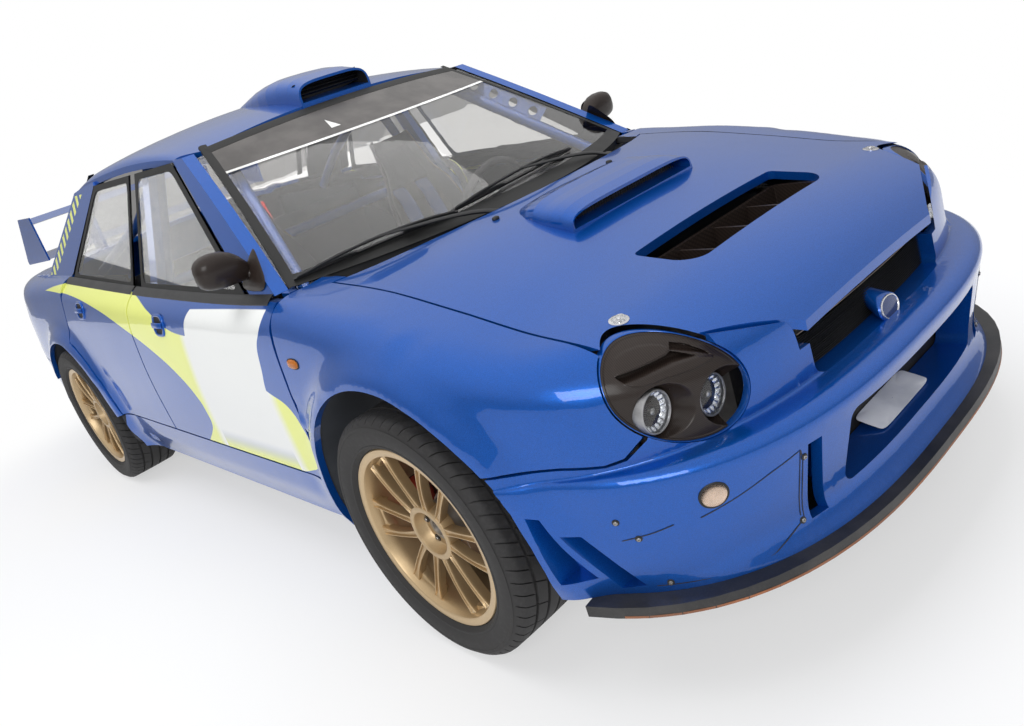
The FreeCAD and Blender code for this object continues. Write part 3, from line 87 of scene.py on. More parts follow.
class Curve:
    """A smooth function of one value through given points, with no overshoot.

    Between two points it is a cubic whose end slopes are the harmonic mean of the two
    neighbouring slopes, or zero where they differ in sign; beyond the ends it runs on straight.
    """

    def __init__(self, points: Outline) -> None:
        """Works out the slopes.

        Args:
            points: pairs of place and value, in any order.
        """
        self.x, self.y = np.array(sorted(points), float).T
        slope = np.diff(self.y) / np.diff(self.x)
        before, after = slope[:-1], slope[1:]
        total = np.where(before + after == 0, 1.0, before + after)
        inner = np.where(before * after > 0, 2.0 * before * after / total, 0.0)
        self.slope = np.concatenate([slope[:1], inner, slope[-1:]])

    def __call__(self, place: np.ndarray) -> np.ndarray:
        """The curve's values at the places given."""
        place = np.asarray(place, float)
        i = np.clip(np.searchsorted(self.x, place, side="right") - 1, 0, len(self.x) - 2)
        span = self.x[i + 1] - self.x[i]
        t = np.clip((place - self.x[i]) / span, 0.0, 1.0)
        keep = (1.0 + 2.0 * t) * (1.0 - t) ** 2
        inside = (keep * self.y[i] + (1.0 - keep) * self.y[i + 1]
                  + span * t * (1.0 - t) * ((1.0 - t) * self.slope[i] - t * self.slope[i + 1]))
        below = np.minimum(place - self.x[0], 0.0) * self.slope[0]
        above = np.maximum(place - self.x[-1], 0.0) * self.slope[-1]
        return inside + below + above


def polar(angle: np.ndarray, half_a: np.ndarray, half_b: np.ndarray, power: float) -> np.ndarray:
    """How far a superellipse lies from its middle, at angles in radians."""
    total = (np.abs(np.cos(angle)) / half_a) ** power + (np.abs(np.sin(angle)) / half_b) ** power
    return total ** (-1.0 / power)


@dataclass
class Skin:
    """The car's outer surface in closed form, the same shape as the CAD panels, in millimetres."""
    front_axle: float = 1350.0
    rear_axle: float = -1185.0
    hub_height: float = 325.0
    front_arch: float = 395.0
    rear_arch: float = 372.0
    flare: float = 36.0
    flare_reach: float = 55.0
    nose: float = 2200.0
    tail: float = 2202.0
    corner: float = 1450.0
    nose_power: float = 2.8
    crease: float = 70.0
    tail_power: float = 3.4
    cowl: Pair = (1090.0, 905.0)
    header: Pair = (285.0, 1322.0)
    rear_base: Pair = (-1470.0, 985.0)
    rear_top: Pair = (-930.0, 1332.0)
    belt_half: float = 756.0
    glass_lean: float = 0.4
    shoulder_round: float = 62.0
    shoulder_drop: float = 74.0
    belt_drop: float = 14.0
    crown_half: float = 600.0
    bow_half: float = 700.0
    screen_bow: Pair = (240.0, 140.0)
    rear_screen_bow: Pair = (120.0, 40.0)
    plan_scale: float = 1.05
    halvings: int = 34
    rounds: int = 5

    def __post_init__(self) -> None:
        """Builds the curves that the surface follows."""
        self.side = Curve([(0, 780), (200, 792), (312, 830), (432, 842), (600, 848), (760, 840), (860, 822),
                           (1000, 788)])
        self.bumper_inset = Curve([(200, 0), (246, 34), (300, 58), (400, 40), (466, 24), (500, 15), (518, 30),
                                   (532, 98), (648, 102), (740, 150), (800, 230)])
        self.face_inset = Curve([(200, 96), (526, 98), (648, 103), (740, 150), (800, 215)])
        self.tail_inset = Curve([(200, 60), (320, 16), (450, 0), (600, 4), (640, 40), (700, 52), (860, 56),
                                 (960, 70)])
        self.deck_line = Curve([(2140, 600), (2088, 655), (2040, 700), (1970, 742), (1857, 780), (1693, 806),
                                (1487, 849), (1203, 897), (1090, 905), (700, 900), (0, 915), (-400, 932),
                                (-1000, 962), (-1470, 985), (-1850, 982), (-2080, 962), (-2200, 930)])
        self.deck_crown = Curve([(2100, 20), (1700, 28), (1150, 24), (850, 6), (-1000, 4), (-1500, 20),
                                 (-2100, 24)])

    def half_width(self, x: np.ndarray, z: np.ndarray) -> np.ndarray:
        """Half-width of the lower body: its side profile plus a bell-shaped bulge round each wheel."""
        wide = self.side(z)
        for axle, radius in ((self.front_axle, self.front_arch), (self.rear_axle, self.rear_arch)):
            reach = np.hypot(x - axle, np.maximum(z, self.hub_height) - self.hub_height) - radius
            wide = wide + self.flare * np.exp(-(np.maximum(reach, 0.0) / self.flare_reach) ** 2)
        return wide

    def belt(self, x: np.ndarray) -> np.ndarray:
        """Height of the lower edge of the side windows."""
        return self.deck_line(x) - self.belt_drop

    def side_y(self, x: np.ndarray, z: np.ndarray) -> np.ndarray:
        """Half-width of the doors: a parabola rolls them in below the belt, and a line carries it on."""
        past = np.maximum(z - self.belt(x) + self.shoulder_drop, 0.0)
        rolled = np.minimum(past, self.shoulder_drop)
        drop = rolled ** 2 / (2.0 * self.shoulder_round)
        return self.half_width(x, z) - drop - (past - rolled) * self.shoulder_drop / self.shoulder_round

    def deck(self, x: np.ndarray, y: np.ndarray) -> np.ndarray:
        """Height of the bonnet or boot skin: its middle line less a parabolic crown."""
        return self.deck_line(x) - self.deck_crown(x) * (y / self.crown_half) ** 2

    def screen_x(self, y: np.ndarray, z: np.ndarray) -> np.ndarray:
        """Forward place of the windscreen: a straight slope less a parabolic bow, most at the base."""
        return self.sloped(y, z, self.cowl, self.header, self.screen_bow, -1.0)

    def rear_screen_x(self, y: np.ndarray, z: np.ndarray) -> np.ndarray:
        """Place of the rear window, made as the windscreen is."""
        return self.sloped(y, z, self.rear_base, self.rear_top, self.rear_screen_bow, 1.0)

    def sloped(self, y: np.ndarray, z: np.ndarray, foot: Pair, top: Pair,
               bow: Pair, way: float) -> np.ndarray:
        """Places on a slope from foot to top, bowed by one amount at the foot and another at the top."""
        t = (z - foot[1]) / (top[1] - foot[1])
        depth = bow[0] - (bow[0] - bow[1]) * np.clip(t, 0.0, 1.0)
        return foot[0] + (top[0] - foot[0]) * t + way * depth * (y / self.bow_half) ** 2

    def glass_half(self, z: np.ndarray) -> np.ndarray:
        """Half-width of the side windows at a height."""
        return self.belt_half - self.glass_lean * (np.asarray(z, float) - self.cowl[1])

    def lower(self, x: np.ndarray, y: np.ndarray, z: np.ndarray) -> np.ndarray:
        """Negative inside the body below the windows: plan outline and deck, rounded where they meet."""
        forward = x >= 0
        inset = np.where(forward, self.face_inset(z), self.tail_inset(z))
        reach = np.where(forward, self.nose, self.tail) - self.corner - inset
        power = np.where(forward, self.nose_power, self.tail_power)
        wide = self.half_width(x, z)
        past = np.maximum(np.abs(x) - self.corner, 0.0)
        size = ((past / reach) ** power + (np.abs(y) / wide) ** power) ** (1.0 / power)
        plan = np.where(past > 0, (size - 1.0) * np.minimum(wide, reach) * self.plan_scale, np.abs(y) - wide)
        top = z - self.deck(x, y)
        h = np.maximum(self.crease - np.abs(plan - top), 0.0) / self.crease
        return np.maximum(plan, top) + h * h * self.crease / 4.0

    def end_point(self, z: np.ndarray, angle: np.ndarray, inset: Curve, forward: bool = True) -> np.ndarray:
        """Points of the nose or tail seen from the middle of its plan, at angles in degrees from +X or -X."""
        a = np.radians(angle)
        reach = (self.nose if forward else self.tail) - self.corner - inset(z)
        power = self.nose_power if forward else self.tail_power
        way = 1.0 if forward else -1.0
        x = np.full(np.broadcast(z, a).shape, way * self.corner)
        for _ in range(self.rounds):
            size = polar(a, reach, self.half_width(x, z), power)
            x = way * (self.corner + np.cos(a) * size)
        return xyz(x, np.sin(a) * size, z)

    def along(self, start: np.ndarray, way: np.ndarray, reach: float = 1200.0) -> np.ndarray:
        """Where rays leave the lower body, found by halving the distance again and again.

        Args:
            start: points inside the body.
            way: one direction, or one for each point.
            reach: the longest ray.

        Returns:
            The points on the surface.
        """
        low = np.zeros(start.shape[:-1])
        high = np.full(start.shape[:-1], reach)
        for _ in range(self.halvings):
            middle = 0.5 * (low + high)
            inside = self.lower(*np.moveaxis(start + way * middle[..., None], -1, 0)) < 0.0
            low = np.where(inside, middle, low)
            high = np.where(inside, high, middle)
        return start + way * low[..., None]


SKIN = Skin()


# Finishes

class Nodes:
    """Short calls for building a node tree."""

    def __init__(self, tree: bpy.types.NodeTree) -> None:
        """Keeps the tree and numbers the nodes for their place on the sheet."""
        self.tree = tree
        self.count = 0

    def add(self, kind: str, **settings: object) -> bpy.types.Node:
        """A new node of a kind with its settings."""
        node = self.tree.nodes.new(kind)
        node.location = (-220.0 * (self.count % 9), -260.0 * (self.count // 9))
        self.count += 1
        for name, value in settings.items():
            setattr(node, name, value)
        return node

    def put(self, value: object, socket: Socket) -> None:
        """Links a socket, or sets a number or colour, on an input."""
        if isinstance(value, Socket):
            self.tree.links.new(value, socket)
        elif value is not None:
            socket.default_value = value

    def math(self, operation: str, a: object, b: object = None, clamp: bool = False) -> Socket:
        """The result of a sum or comparison of numbers."""
        node = self.add("ShaderNodeMath", operation=operation, use_clamp=clamp)
        for value, socket in zip((a, b), node.inputs):
            self.put(value, socket)
        return node.outputs[0]

    def times(self, a: object, b: object, clamp: bool = False) -> Socket:
        """The product of two values."""
        return self.math("MULTIPLY", a, b, clamp)

    def plus(self, a: object, b: object, clamp: bool = False) -> Socket:
        """The sum of two values."""
        return self.math("ADD", a, b, clamp)

    def minus(self, a: object, b: object, clamp: bool = False) -> Socket:
        """The first value less the second."""
        return self.math("SUBTRACT", a, b, clamp)

    def product(self, *values: object) -> Socket:
        """All values multiplied."""
        result = values[0]
        for value in values[1:]:
            result = self.times(result, value)
        return result

    def rest_of(self, share: object) -> Socket:
        """One less the share."""
        return self.minus(1.0, share)

    def between(self, value: object, low: float, high: float) -> Socket:
        """1 where the value lies between the two limits, and 0 elsewhere."""
        return self.product(self.math("GREATER_THAN", value, low), self.math("LESS_THAN", value, high))

    def away(self, places: object, x: float, z: float) -> Socket:
        """Distance from an axis across the car."""
        ahead, _, up = self.split(places)
        return self.math("SQRT", self.plus(self.math("POWER", self.minus(ahead, x), 2.0),
                                           self.math("POWER", self.minus(up, z), 2.0)))

    def looked_at(self) -> Socket:
        """1 on rays from the eye, also by way of gloss or glass, and 0 on rays of light."""
        path = self.add("ShaderNodeLightPath").outputs
        return self.math("MAXIMUM", path["Is Camera Ray"],
                         self.math("MAXIMUM", path["Is Glossy Ray"], path["Is Transmission Ray"]))

    def mix(self, share: object, first: object, second: object) -> Socket:
        """A colour between two, by a share."""
        node = self.add("ShaderNodeMix", data_type="RGBA")
        self.put(share, node.inputs["Factor"])
        self.put(first, node.inputs["A"])
        self.put(second, node.inputs["B"])
        return node.outputs["Result"]

    def ramp(self, value: object, low: float, high: float, to_low: float = 0.0,
             to_high: float = 1.0) -> Socket:
        """A value carried from one range to another, held at its ends."""
        node = self.add("ShaderNodeMapRange", clamp=True, interpolation_type="SMOOTHSTEP")
        for number, socket in zip((value, low, high, to_low, to_high), node.inputs):
            self.put(number, socket)
        return node.outputs["Result"]

    def places(self) -> Socket:
        """Object coordinates: metres in the car's own frame."""
        return self.add("ShaderNodeTexCoord").outputs["Object"]

    def split(self, vector: Socket) -> Tuple[Socket, ...]:
        """The three parts of a vector."""
        node = self.add("ShaderNodeSeparateXYZ")
        self.put(vector, node.inputs[0])
        return tuple(node.outputs)

    def scaled(self, vector: Socket, scale: Sequence[float] = (1, 1, 1),
               turn: Sequence[float] = (0, 0, 0), shift: Sequence[float] = (0, 0, 0)) -> Socket:
        """Coordinates after a Mapping node."""
        node = self.add("ShaderNodeMapping")
        self.put(vector, node.inputs["Vector"])
        node.inputs["Scale"].default_value = tuple(scale)
        node.inputs["Rotation"].default_value = tuple(turn)
        node.inputs["Location"].default_value = tuple(shift)
        return node.outputs[0]

    def noise(self, vector: object, scale: float, detail: float = 3.0, roughness: float = 0.5) -> Socket:
        """Smooth noise, 0 to 1."""
        node = self.add("ShaderNodeTexNoise")
        self.put(vector, node.inputs["Vector"])
        for name, value in (("Scale", scale), ("Detail", detail), ("Roughness", roughness)):
            node.inputs[name].default_value = value
        return node.outputs["Fac"]

    def cells(self, vector: object, scale: float, output: str = "Distance") -> Socket:
        """Voronoi cells."""
        node = self.add("ShaderNodeTexVoronoi")
        self.put(vector, node.inputs["Vector"])
        node.inputs["Scale"].default_value = scale
        return node.outputs[output]

    def bump(self, height: object, strength: float, distance: float, normal: object = None) -> Socket:
        """A normal bent by a height."""
        node = self.add("ShaderNodeBump")
        node.inputs["Strength"].default_value = strength
        node.inputs["Distance"].default_value = distance
        self.put(height, node.inputs["Height"])
        self.put(normal, node.inputs["Normal"])
        return node.outputs["Normal"]

    def curve(self, value: object, points: Outline, low: float, high: float,
              out_low: float, out_high: float) -> Socket:
        """A function of one value through points, by a Float Curve over the two ranges given."""
        node = self.add("ShaderNodeFloatCurve")
        line = node.mapping.curves[0]
        fitted = [((a - low) / (high - low), (b - out_low) / (out_high - out_low)) for a, b in sorted(points)]
        for i, place in enumerate(fitted):
            point = line.points[i] if i < 2 else line.points.new(*place)
            point.location = place
        node.mapping.update()
        self.put(self.ramp_line(value, low, high, 0.0, 1.0), node.inputs["Value"])
        return self.ramp_line(node.outputs[0], 0.0, 1.0, out_low, out_high)

    def ramp_line(self, value: object, low: float, high: float, to_low: float, to_high: float) -> Socket:
        """A value carried from one range to another along a straight line."""
        node = self.add("ShaderNodeMapRange", clamp=True)
        for number, socket in zip((value, low, high, to_low, to_high), node.inputs):
            self.put(number, socket)
        return node.outputs["Result"]


Group = Tuple[bpy.types.NodeTree, Nodes, bpy.types.Node, bpy.types.Node]


def new_group(name: str, inputs: Sequence[Tuple[str, str, object]],
              outputs: Sequence[Tuple[str, str]]) -> Group:
    """An empty shader node group with named sockets.

    Args:
        name: the group's name.
        inputs: name, socket type and default of each input.
        outputs: name and socket type of each output.

    Returns:
        The group, a builder for it, its input node and its output node.
    """
    tree = bpy.data.node_groups.new(name, "ShaderNodeTree")
    for label, kind, value in inputs:
        socket = tree.interface.new_socket(name=label, in_out="INPUT", socket_type=kind)
        if value is not None:
            socket.default_value = value
    for label, kind in outputs:
        tree.interface.new_socket(name=label, in_out="OUTPUT", socket_type=kind)
    nodes = Nodes(tree)
    return tree, nodes, nodes.add("NodeGroupInput"), nodes.add("NodeGroupOutput")


class Effects:
    """Node groups that several finishes share, each built on first use."""

    made: Dict[str, bpy.types.NodeTree] = {}

    @classmethod
    def place(cls, nodes: Nodes, name: str, **values: object) -> bpy.types.Node:
        """Puts a shared group into a material with its own values."""
        if name not in cls.made:
            cls.made[name] = getattr(cls, "make_" + name)()
        node = nodes.add("ShaderNodeGroup", node_tree=cls.made[name])
        for label, value in values.items():
            nodes.put(value, node.inputs[label.replace("_", " ").title()])
        return node

    @staticmethod
    def make_weave() -> bpy.types.NodeTree:
        """Twill weave: stripes along two directions that swap in diagonal steps."""
        tree, n, start, end = new_group(
            "twill weave", [("Places", "NodeSocketVector", None), ("Scale", "NodeSocketFloat", 250.0)],
            [("Height", "NodeSocketFloat"), ("Over", "NodeSocketFloat")])
        scale = n.add("ShaderNodeVectorMath", operation="SCALE")
        n.put(start.outputs["Places"], scale.inputs[0])
        n.put(start.outputs["Scale"], scale.inputs["Scale"])
        a, b, c = n.split(scale.outputs[0])
        u = n.plus(a, n.times(b, 0.35))
        v = n.plus(c, n.times(b, 0.35))
        step = n.math("FLOORED_MODULO", n.plus(n.math("FLOOR", u), n.math("FLOOR", v)), 4.0)
        over = n.math("LESS_THAN", step, 2.0)
        wave_u = n.math("ABSOLUTE", n.math("SINE", n.times(u, math.pi)))
        wave_v = n.math("ABSOLUTE", n.math("SINE", n.times(v, math.pi)))
        height = n.plus(n.times(over, wave_u), n.times(n.rest_of(over), wave_v))
        n.put(height, end.inputs["Height"])
        n.put(over, end.inputs["Over"])
        return tree

    @staticmethod
    def make_grain() -> bpy.types.NodeTree:
        """Fine moulded grain: small cells roughened by noise."""
        tree, n, start, end = new_group(
            "moulded grain", [("Places", "NodeSocketVector", None), ("Scale", "NodeSocketFloat", 700.0)],
            [("Height", "NodeSocketFloat"), ("Shade", "NodeSocketFloat")])
        cells = n.add("ShaderNodeTexVoronoi", feature="SMOOTH_F1")
        n.put(start.outputs["Places"], cells.inputs["Vector"])
        n.put(start.outputs["Scale"], cells.inputs["Scale"])
        broad = n.noise(start.outputs["Places"], 9.0, 4.0)
        n.put(cells.outputs["Distance"], end.inputs["Height"])
        n.put(broad, end.inputs["Shade"])
        return tree

    @staticmethod
    def make_dust() -> bpy.types.NodeTree:
        """Road dust: more towards the ground and in broad patches."""
        tree, n, start, end = new_group(
            "road dust", [("Places", "NodeSocketVector", None), ("Top", "NodeSocketFloat", 0.5),
                          ("Amount", "NodeSocketFloat", 0.3)], [("Mask", "NodeSocketFloat")])
        height = n.split(start.outputs["Places"])[2]
        low = n.minus(1.0, n.math("DIVIDE", height, start.outputs["Top"]), clamp=True)
        patches = n.ramp(n.noise(start.outputs["Places"], 6.0, 6.0, 0.65), 0.35, 0.7)
        specks = n.ramp(n.noise(start.outputs["Places"], 240.0, 2.0), 0.5, 0.75)
        mask = n.times(n.times(low, n.plus(patches, n.times(specks, 0.4))), start.outputs["Amount"],
                       clamp=True)
        n.put(mask, end.inputs["Mask"])
        return tree

    @staticmethod
    def make_wear() -> bpy.types.NodeTree:
        """Handling marks: a broad cloud broken by fine scratches, for roughness."""
        tree, n, start, end = new_group(
            "handling marks", [("Places", "NodeSocketVector", None), ("Amount", "NodeSocketFloat", 1.0)],
            [("Mask", "NodeSocketFloat")])
        cloud = n.noise(start.outputs["Places"], 3.0, 5.0, 0.6)
        streak = n.noise(n.scaled(start.outputs["Places"], (4, 4, 60)), 18.0, 3.0)
        n.put(n.times(n.plus(n.times(cloud, 0.7), n.times(streak, 0.3)), start.outputs["Amount"]),
              end.inputs["Mask"])
        return tree


@dataclass(frozen=True)
class Finish:
    """A finish with a Principled surface; each kind adds its own pattern.

    Metallic, roughness, coat and the rest are plain numbers unless a kind links them.
    """
    name: str
    colour: Colour = (0.5, 0.5, 0.5)
    roughness: float = 0.5
    metallic: float = 0.0
    coat: float = 0.0
    coat_roughness: float = 0.03
    transmission: float = 0.0
    ior: float = 1.5
    specular: float = 0.5

    def material(self) -> bpy.types.Material:
        """The finish's material, built once."""
        found = bpy.data.materials.get(self.name)
        if found:
            return found
        material = bpy.data.materials.new(self.name)
        material.use_nodes = True
        tree = material.node_tree
        tree.nodes.clear()
        nodes = Nodes(tree)
        end = nodes.add("ShaderNodeOutputMaterial")
        surface = nodes.add("ShaderNodeBsdfPrincipled")
        tree.links.new(surface.outputs[0], end.inputs["Surface"])
        for label, value in (("Base Color", self.tint()), ("Roughness", self.roughness),
                             ("Metallic", self.metallic), ("Coat Weight", self.coat),
                             ("Coat Roughness", self.coat_roughness), ("IOR", self.ior),
                             ("Specular IOR Level", self.specular),
                             ("Transmission Weight", self.transmission)):
            surface.inputs[label].default_value = value
        material.diffuse_color = self.tint()
        self.pattern(nodes, surface.inputs)
        return material

    def tint(self, share: float = 1.0, lift: float = 0.0) -> Tuple[float, ...]:
        """The colour, darker or paler, with its alpha of one."""
        return (*[min(c * share + lift, 1.0) for c in self.colour], 1.0)

    def pattern(self, n: Nodes, inputs: bpy.types.NodeInputs) -> None:
        """Adds the finish's own pattern: here a slight change of shade and gloss."""
        places = n.places()
        cloud = n.noise(places, 7.0, 4.0)
        n.put(n.mix(n.ramp(cloud, 0.3, 0.7), self.tint(0.88), self.tint(1.08)), inputs["Base Color"])
        n.put(n.ramp(n.noise(places, 30.0, 4.0), 0.2, 0.8, self.roughness * 0.9, self.roughness * 1.1),
              inputs["Roughness"])


@dataclass(frozen=True)
class MetallicPaint(Finish):
    """Blue metallic body paint under clear lacquer, with flakes, faint orange peel and low dust."""
    metallic: float = 0.55
    coat: float = 0.9
    specular: float = 0.05
    shaded_inside: bool = False
    livery: bool = False
    frames: bool = False
    white: Colour = (0.86, 0.87, 0.85)
    yellow: Colour = (0.83, 0.88, 0.20)
    road_dust: Colour = (0.20, 0.19, 0.18)
    frame_black: Colour = (0.035, 0.034, 0.034)
    # near-black painted shade for the faces that look into the cabin
    inside_shade: Colour = (0.022, 0.022, 0.024)
    inside_shade_waist: float = 0.9
    inside_shade_lean: float = -0.02
    frame_foot: Outline = ((-1.15, 0.952), (-0.40, 0.916), (0.0, 0.900), (0.95, 0.882))

    def pattern(self, n: Nodes, inputs: bpy.types.NodeInputs) -> None:
        """Flakes shift shade and normal; the livery's shapes are masks on the side view."""
        places = n.places()
        flakes = n.add("ShaderNodeTexVoronoi")
        n.put(places, flakes.inputs["Vector"])
        flakes.inputs["Scale"].default_value = 1500.0
        sparkle = n.add("ShaderNodeSeparateColor")
        n.put(flakes.outputs["Color"], sparkle.inputs[0])
        colour = n.mix(sparkle.outputs[0], self.tint(0.78), self.tint(1.35, 0.003))
        metallic: object = self.metallic
        if self.livery:
            white, yellow = Livery().masks(n, places)
            cover = n.math("MAXIMUM", white, yellow)
            colour = n.mix(yellow, colour, (*self.yellow, 1.0))
            colour = n.mix(white, colour, (*self.white, 1.0))
            metallic = n.times(n.rest_of(cover), self.metallic)
        dust = Effects.place(n, "dust", places=places, top=0.42, amount=0.10).outputs["Mask"]
        colour = n.mix(dust, colour, (*self.road_dust, 1.0))
        if self.frames:
            x, _, z = n.split(places)
            foot = n.curve(x, self.frame_foot, -1.15, 0.95, 0.8, 1.0)
            frame_mask = n.ramp_line(n.minus(z, foot), -0.001, 0.001, 0.0, 1.0)
            colour = n.mix(frame_mask, colour, (*self.frame_black, 1.0))
            metallic = n.times(metallic, n.rest_of(frame_mask))
        # painted shade: faces that look into the cabin are made near-black, with no metal and no lacquer
        if self.shaded_inside:
            inner = self.inside(n, places)
            colour = n.mix(inner, colour, (*self.inside_shade, 1.0))
            metallic = n.times(metallic, n.rest_of(inner))
            n.put(n.times(n.rest_of(inner), self.coat), inputs["Coat Weight"])
        n.put(colour, inputs["Base Color"])
        if self.livery or self.shaded_inside:
            n.put(metallic, inputs["Metallic"])
        marks = Effects.place(n, "wear", places=places, amount=0.14).outputs["Mask"]
        n.put(n.plus(n.plus(marks, self.roughness - 0.06), n.times(dust, 0.5)), inputs["Roughness"])
        peel = n.noise(places, 160.0, 2.0)
        fleck = n.bump(sparkle.outputs[1], 0.05, 0.0002)
        n.put(n.bump(peel, 0.012, 0.0004, fleck), inputs["Normal"])

    def inside(self, n: Nodes, places: Socket) -> Socket:
        """Mask of the faces that look into the cabin, which take painted shade: their normal points back to
        the car's middle line.
        """
        _, y, z = n.split(places)
        _, out_y, out_z = n.split(n.add("ShaderNodeNewGeometry").outputs["Normal"])
        outward = n.plus(n.times(y, out_y), n.times(n.minus(z, self.inside_shade_waist, clamp=True), out_z))
        return n.math("LESS_THAN", outward, self.inside_shade_lean)


@dataclass(frozen=True)
class Livery:
    """The pale panel, the yellow sweep and the pillar dashes, as masks on the side view, in metres."""
    panel_top: Outline = ((0.30, 0.862), (0.90, 0.869))
    panel_rear: Outline = ((0.370, 0.256), (0.389, 0.258), (0.50, 0.272), (0.65, 0.291), (0.802, 0.313),
                           (0.870, 0.366))
    panel_front: Outline = ((0.370, 0.757), (0.381, 0.758), (0.52, 0.763), (0.653, 0.770), (0.70, 0.786),
                            (0.771, 0.806), (0.83, 0.846), (0.870, 0.863))
    sweep_top: Outline = ((-1.42, 0.895), (-1.30, 0.915), (-1.04, 0.940), (-0.80, 0.941), (-0.56, 0.937),
                          (-0.236, 0.908), (0.006, 0.853), (0.196, 0.795), (0.30, 0.785))
    sweep_low: Outline = ((0.370, 0.090), (0.387, 0.107), (0.42, 0.160), (0.46, 0.206), (0.51, 0.214),
                          (0.553, 0.203), (0.634, 0.118), (0.719, -0.064), (0.80, -0.330), (0.86, -0.60),
                          (0.895, -0.86), (0.912, -1.10), (0.920, -1.36))
    lobe: Outline = ((0.370, 0.72), (0.378, 0.750), (0.395, 0.82), (0.420, 0.885), (0.467, 0.920),
                     (0.505, 0.918), (0.542, 0.906), (0.604, 0.871), (0.650, 0.762), (0.70, 0.70))
    edge: float = 0.0012
    side_from: float = 0.60
    sill: float = 0.381
    sweep_rear: float = -1.36
    lobe_top: float = 0.652
    lobe_front: float = 0.935
    fade: float = 0.06
    foot: Pair = (0.385, 0.46)
    pillar_way: Pair = (0.837, 0.546)
    pillar_foot: Pair = (-1.393, 0.985)
    pillar_front: float = -0.75
    pillar_side: float = 0.54
    dash_step: float = 0.054
    dash_strip: Pair = (0.030, 0.082)
    dash_span: Pair = (0.965, 1.262)

    def masks(self, n: Nodes, places: Socket) -> Tuple[Socket, Socket]:
        """Masks of the white and the yellow, each the product of soft steps across its edges.

        Args:
            n: the material's node builder.
            places: Object coordinates.

        Returns:
            The white mask and the yellow mask.
        """
        x, y, z = n.split(places)

        def under(value: object, limit: object) -> Socket:
            """A soft step that is 1 where the value lies below the limit."""
            return n.ramp_line(n.minus(limit, value), -self.edge, self.edge, 0.0, 1.0)

        on_flank = n.product(n.math("GREATER_THAN", n.math("ABSOLUTE", y), self.side_from),
                             n.math("GREATER_THAN", z, self.sill))
        rear_edge = n.curve(z, self.panel_rear, 0.37, 0.87, 0.2, 0.4)
        front_edge = n.curve(z, self.panel_front, 0.37, 0.87, 0.7, 0.9)
        top = n.curve(x, self.panel_top, 0.30, 0.90, 0.8, 0.9)
        panel = n.product(on_flank, under(z, top), under(rear_edge, x), under(x, front_edge))
        low_edge = n.curve(z, self.sweep_low, 0.37, 0.92, -1.4, 0.4)
        high_edge = n.curve(x, self.sweep_top, -1.42, 0.30, 0.7, 1.0)
        sweep = n.product(on_flank, under(z, high_edge), under(low_edge, x), under(x, rear_edge),
                          n.math("GREATER_THAN", x, self.sweep_rear))
        nose = n.curve(z, self.lobe, 0.37, 0.70, 0.6, 1.0)
        lobe = n.product(on_flank, under(front_edge, x), under(x, nose),
                         n.math("LESS_THAN", z, self.lobe_top), n.math("LESS_THAN", x, self.lobe_front))
        fade_rear = n.ramp(n.minus(rear_edge, x), 0.0, self.fade, 1.0, 0.0)
        fade_front = n.ramp(n.minus(x, front_edge), 0.0, self.fade, 1.0, 0.0)
        yellow_foot = n.product(panel, n.ramp(z, *self.foot, 1.0, 0.0))
        white = n.plus(n.product(panel, n.rest_of(yellow_foot)),
                       n.plus(n.product(sweep, fade_rear), n.product(lobe, fade_front)), clamp=True)
        yellow = n.plus(n.plus(sweep, lobe), n.plus(yellow_foot, self.dashes(n, x, y, z)), clamp=True)
        return white, yellow

    def dashes(self, n: Nodes, x: object, y: object, z: object) -> Socket:
        """Short bars up the rear pillar: even steps along its rear edge, a hand's width from it."""
        ahead, up = self.pillar_way
        run = n.plus(n.times(x, ahead), n.times(z, up))
        off = n.minus(n.times(n.minus(x, self.pillar_foot[0]), up),
                      n.times(n.minus(z, self.pillar_foot[1]), ahead))
        bar = n.math("GREATER_THAN", n.math("FLOORED_MODULO", run, self.dash_step), self.dash_step / 2.0)
        return n.product(n.between(off, *self.dash_strip), n.between(z, *self.dash_span), bar,
                         n.math("GREATER_THAN", n.math("ABSOLUTE", y), self.pillar_side),
                         n.math("LESS_THAN", x, self.pillar_front))


@dataclass(frozen=True)
class Carbon(Finish):
    """Woven carbon under satin lacquer."""
    colour: Colour = (0.016, 0.011, 0.009)
    coat: float = 0.35
    coat_roughness: float = 0.16
    specular: float = 0.2
    threads: float = 330.0

    def pattern(self, n: Nodes, inputs: bpy.types.NodeInputs) -> None:
        """The twill sets shade and a fine bump."""
        places = n.places()
        weave = Effects.place(n, "weave", places=places, scale=self.threads)
        n.put(n.mix(weave.outputs["Over"], self.tint(), self.tint(1.9)), inputs["Base Color"])
        n.put(n.ramp(weave.outputs["Height"], 0.0, 1.0, self.roughness + 0.12, self.roughness - 0.05),
              inputs["Roughness"])
        n.put(n.bump(weave.outputs["Height"], 0.35, 0.0004), inputs["Normal"])


@dataclass(frozen=True)
class Moulded(Finish):
    """Moulded plastic or rubber trim with a fine grain."""
    grain: float = 700.0
    depth: float = 0.00012
    dust: float = 0.25

    def pattern(self, n: Nodes, inputs: bpy.types.NodeInputs) -> None:
        """Grain in the bump, broad change of shade, dust low down."""
        places = n.places()
        grain = Effects.place(n, "grain", places=places, scale=self.grain)
        colour = n.mix(n.ramp(grain.outputs["Shade"], 0.3, 0.7), self.tint(0.8), self.tint(1.25))
        dust = Effects.place(n, "dust", places=places, top=0.5, amount=self.dust).outputs["Mask"]
        n.put(n.mix(dust, colour, (0.23, 0.21, 0.19, 1.0)), inputs["Base Color"])
        n.put(n.ramp(grain.outputs["Shade"], 0.2, 0.8, self.roughness * 0.88,
                     min(self.roughness * 1.12, 1.0)), inputs["Roughness"])
        n.put(n.bump(grain.outputs["Height"], 0.4, self.depth), inputs["Normal"])


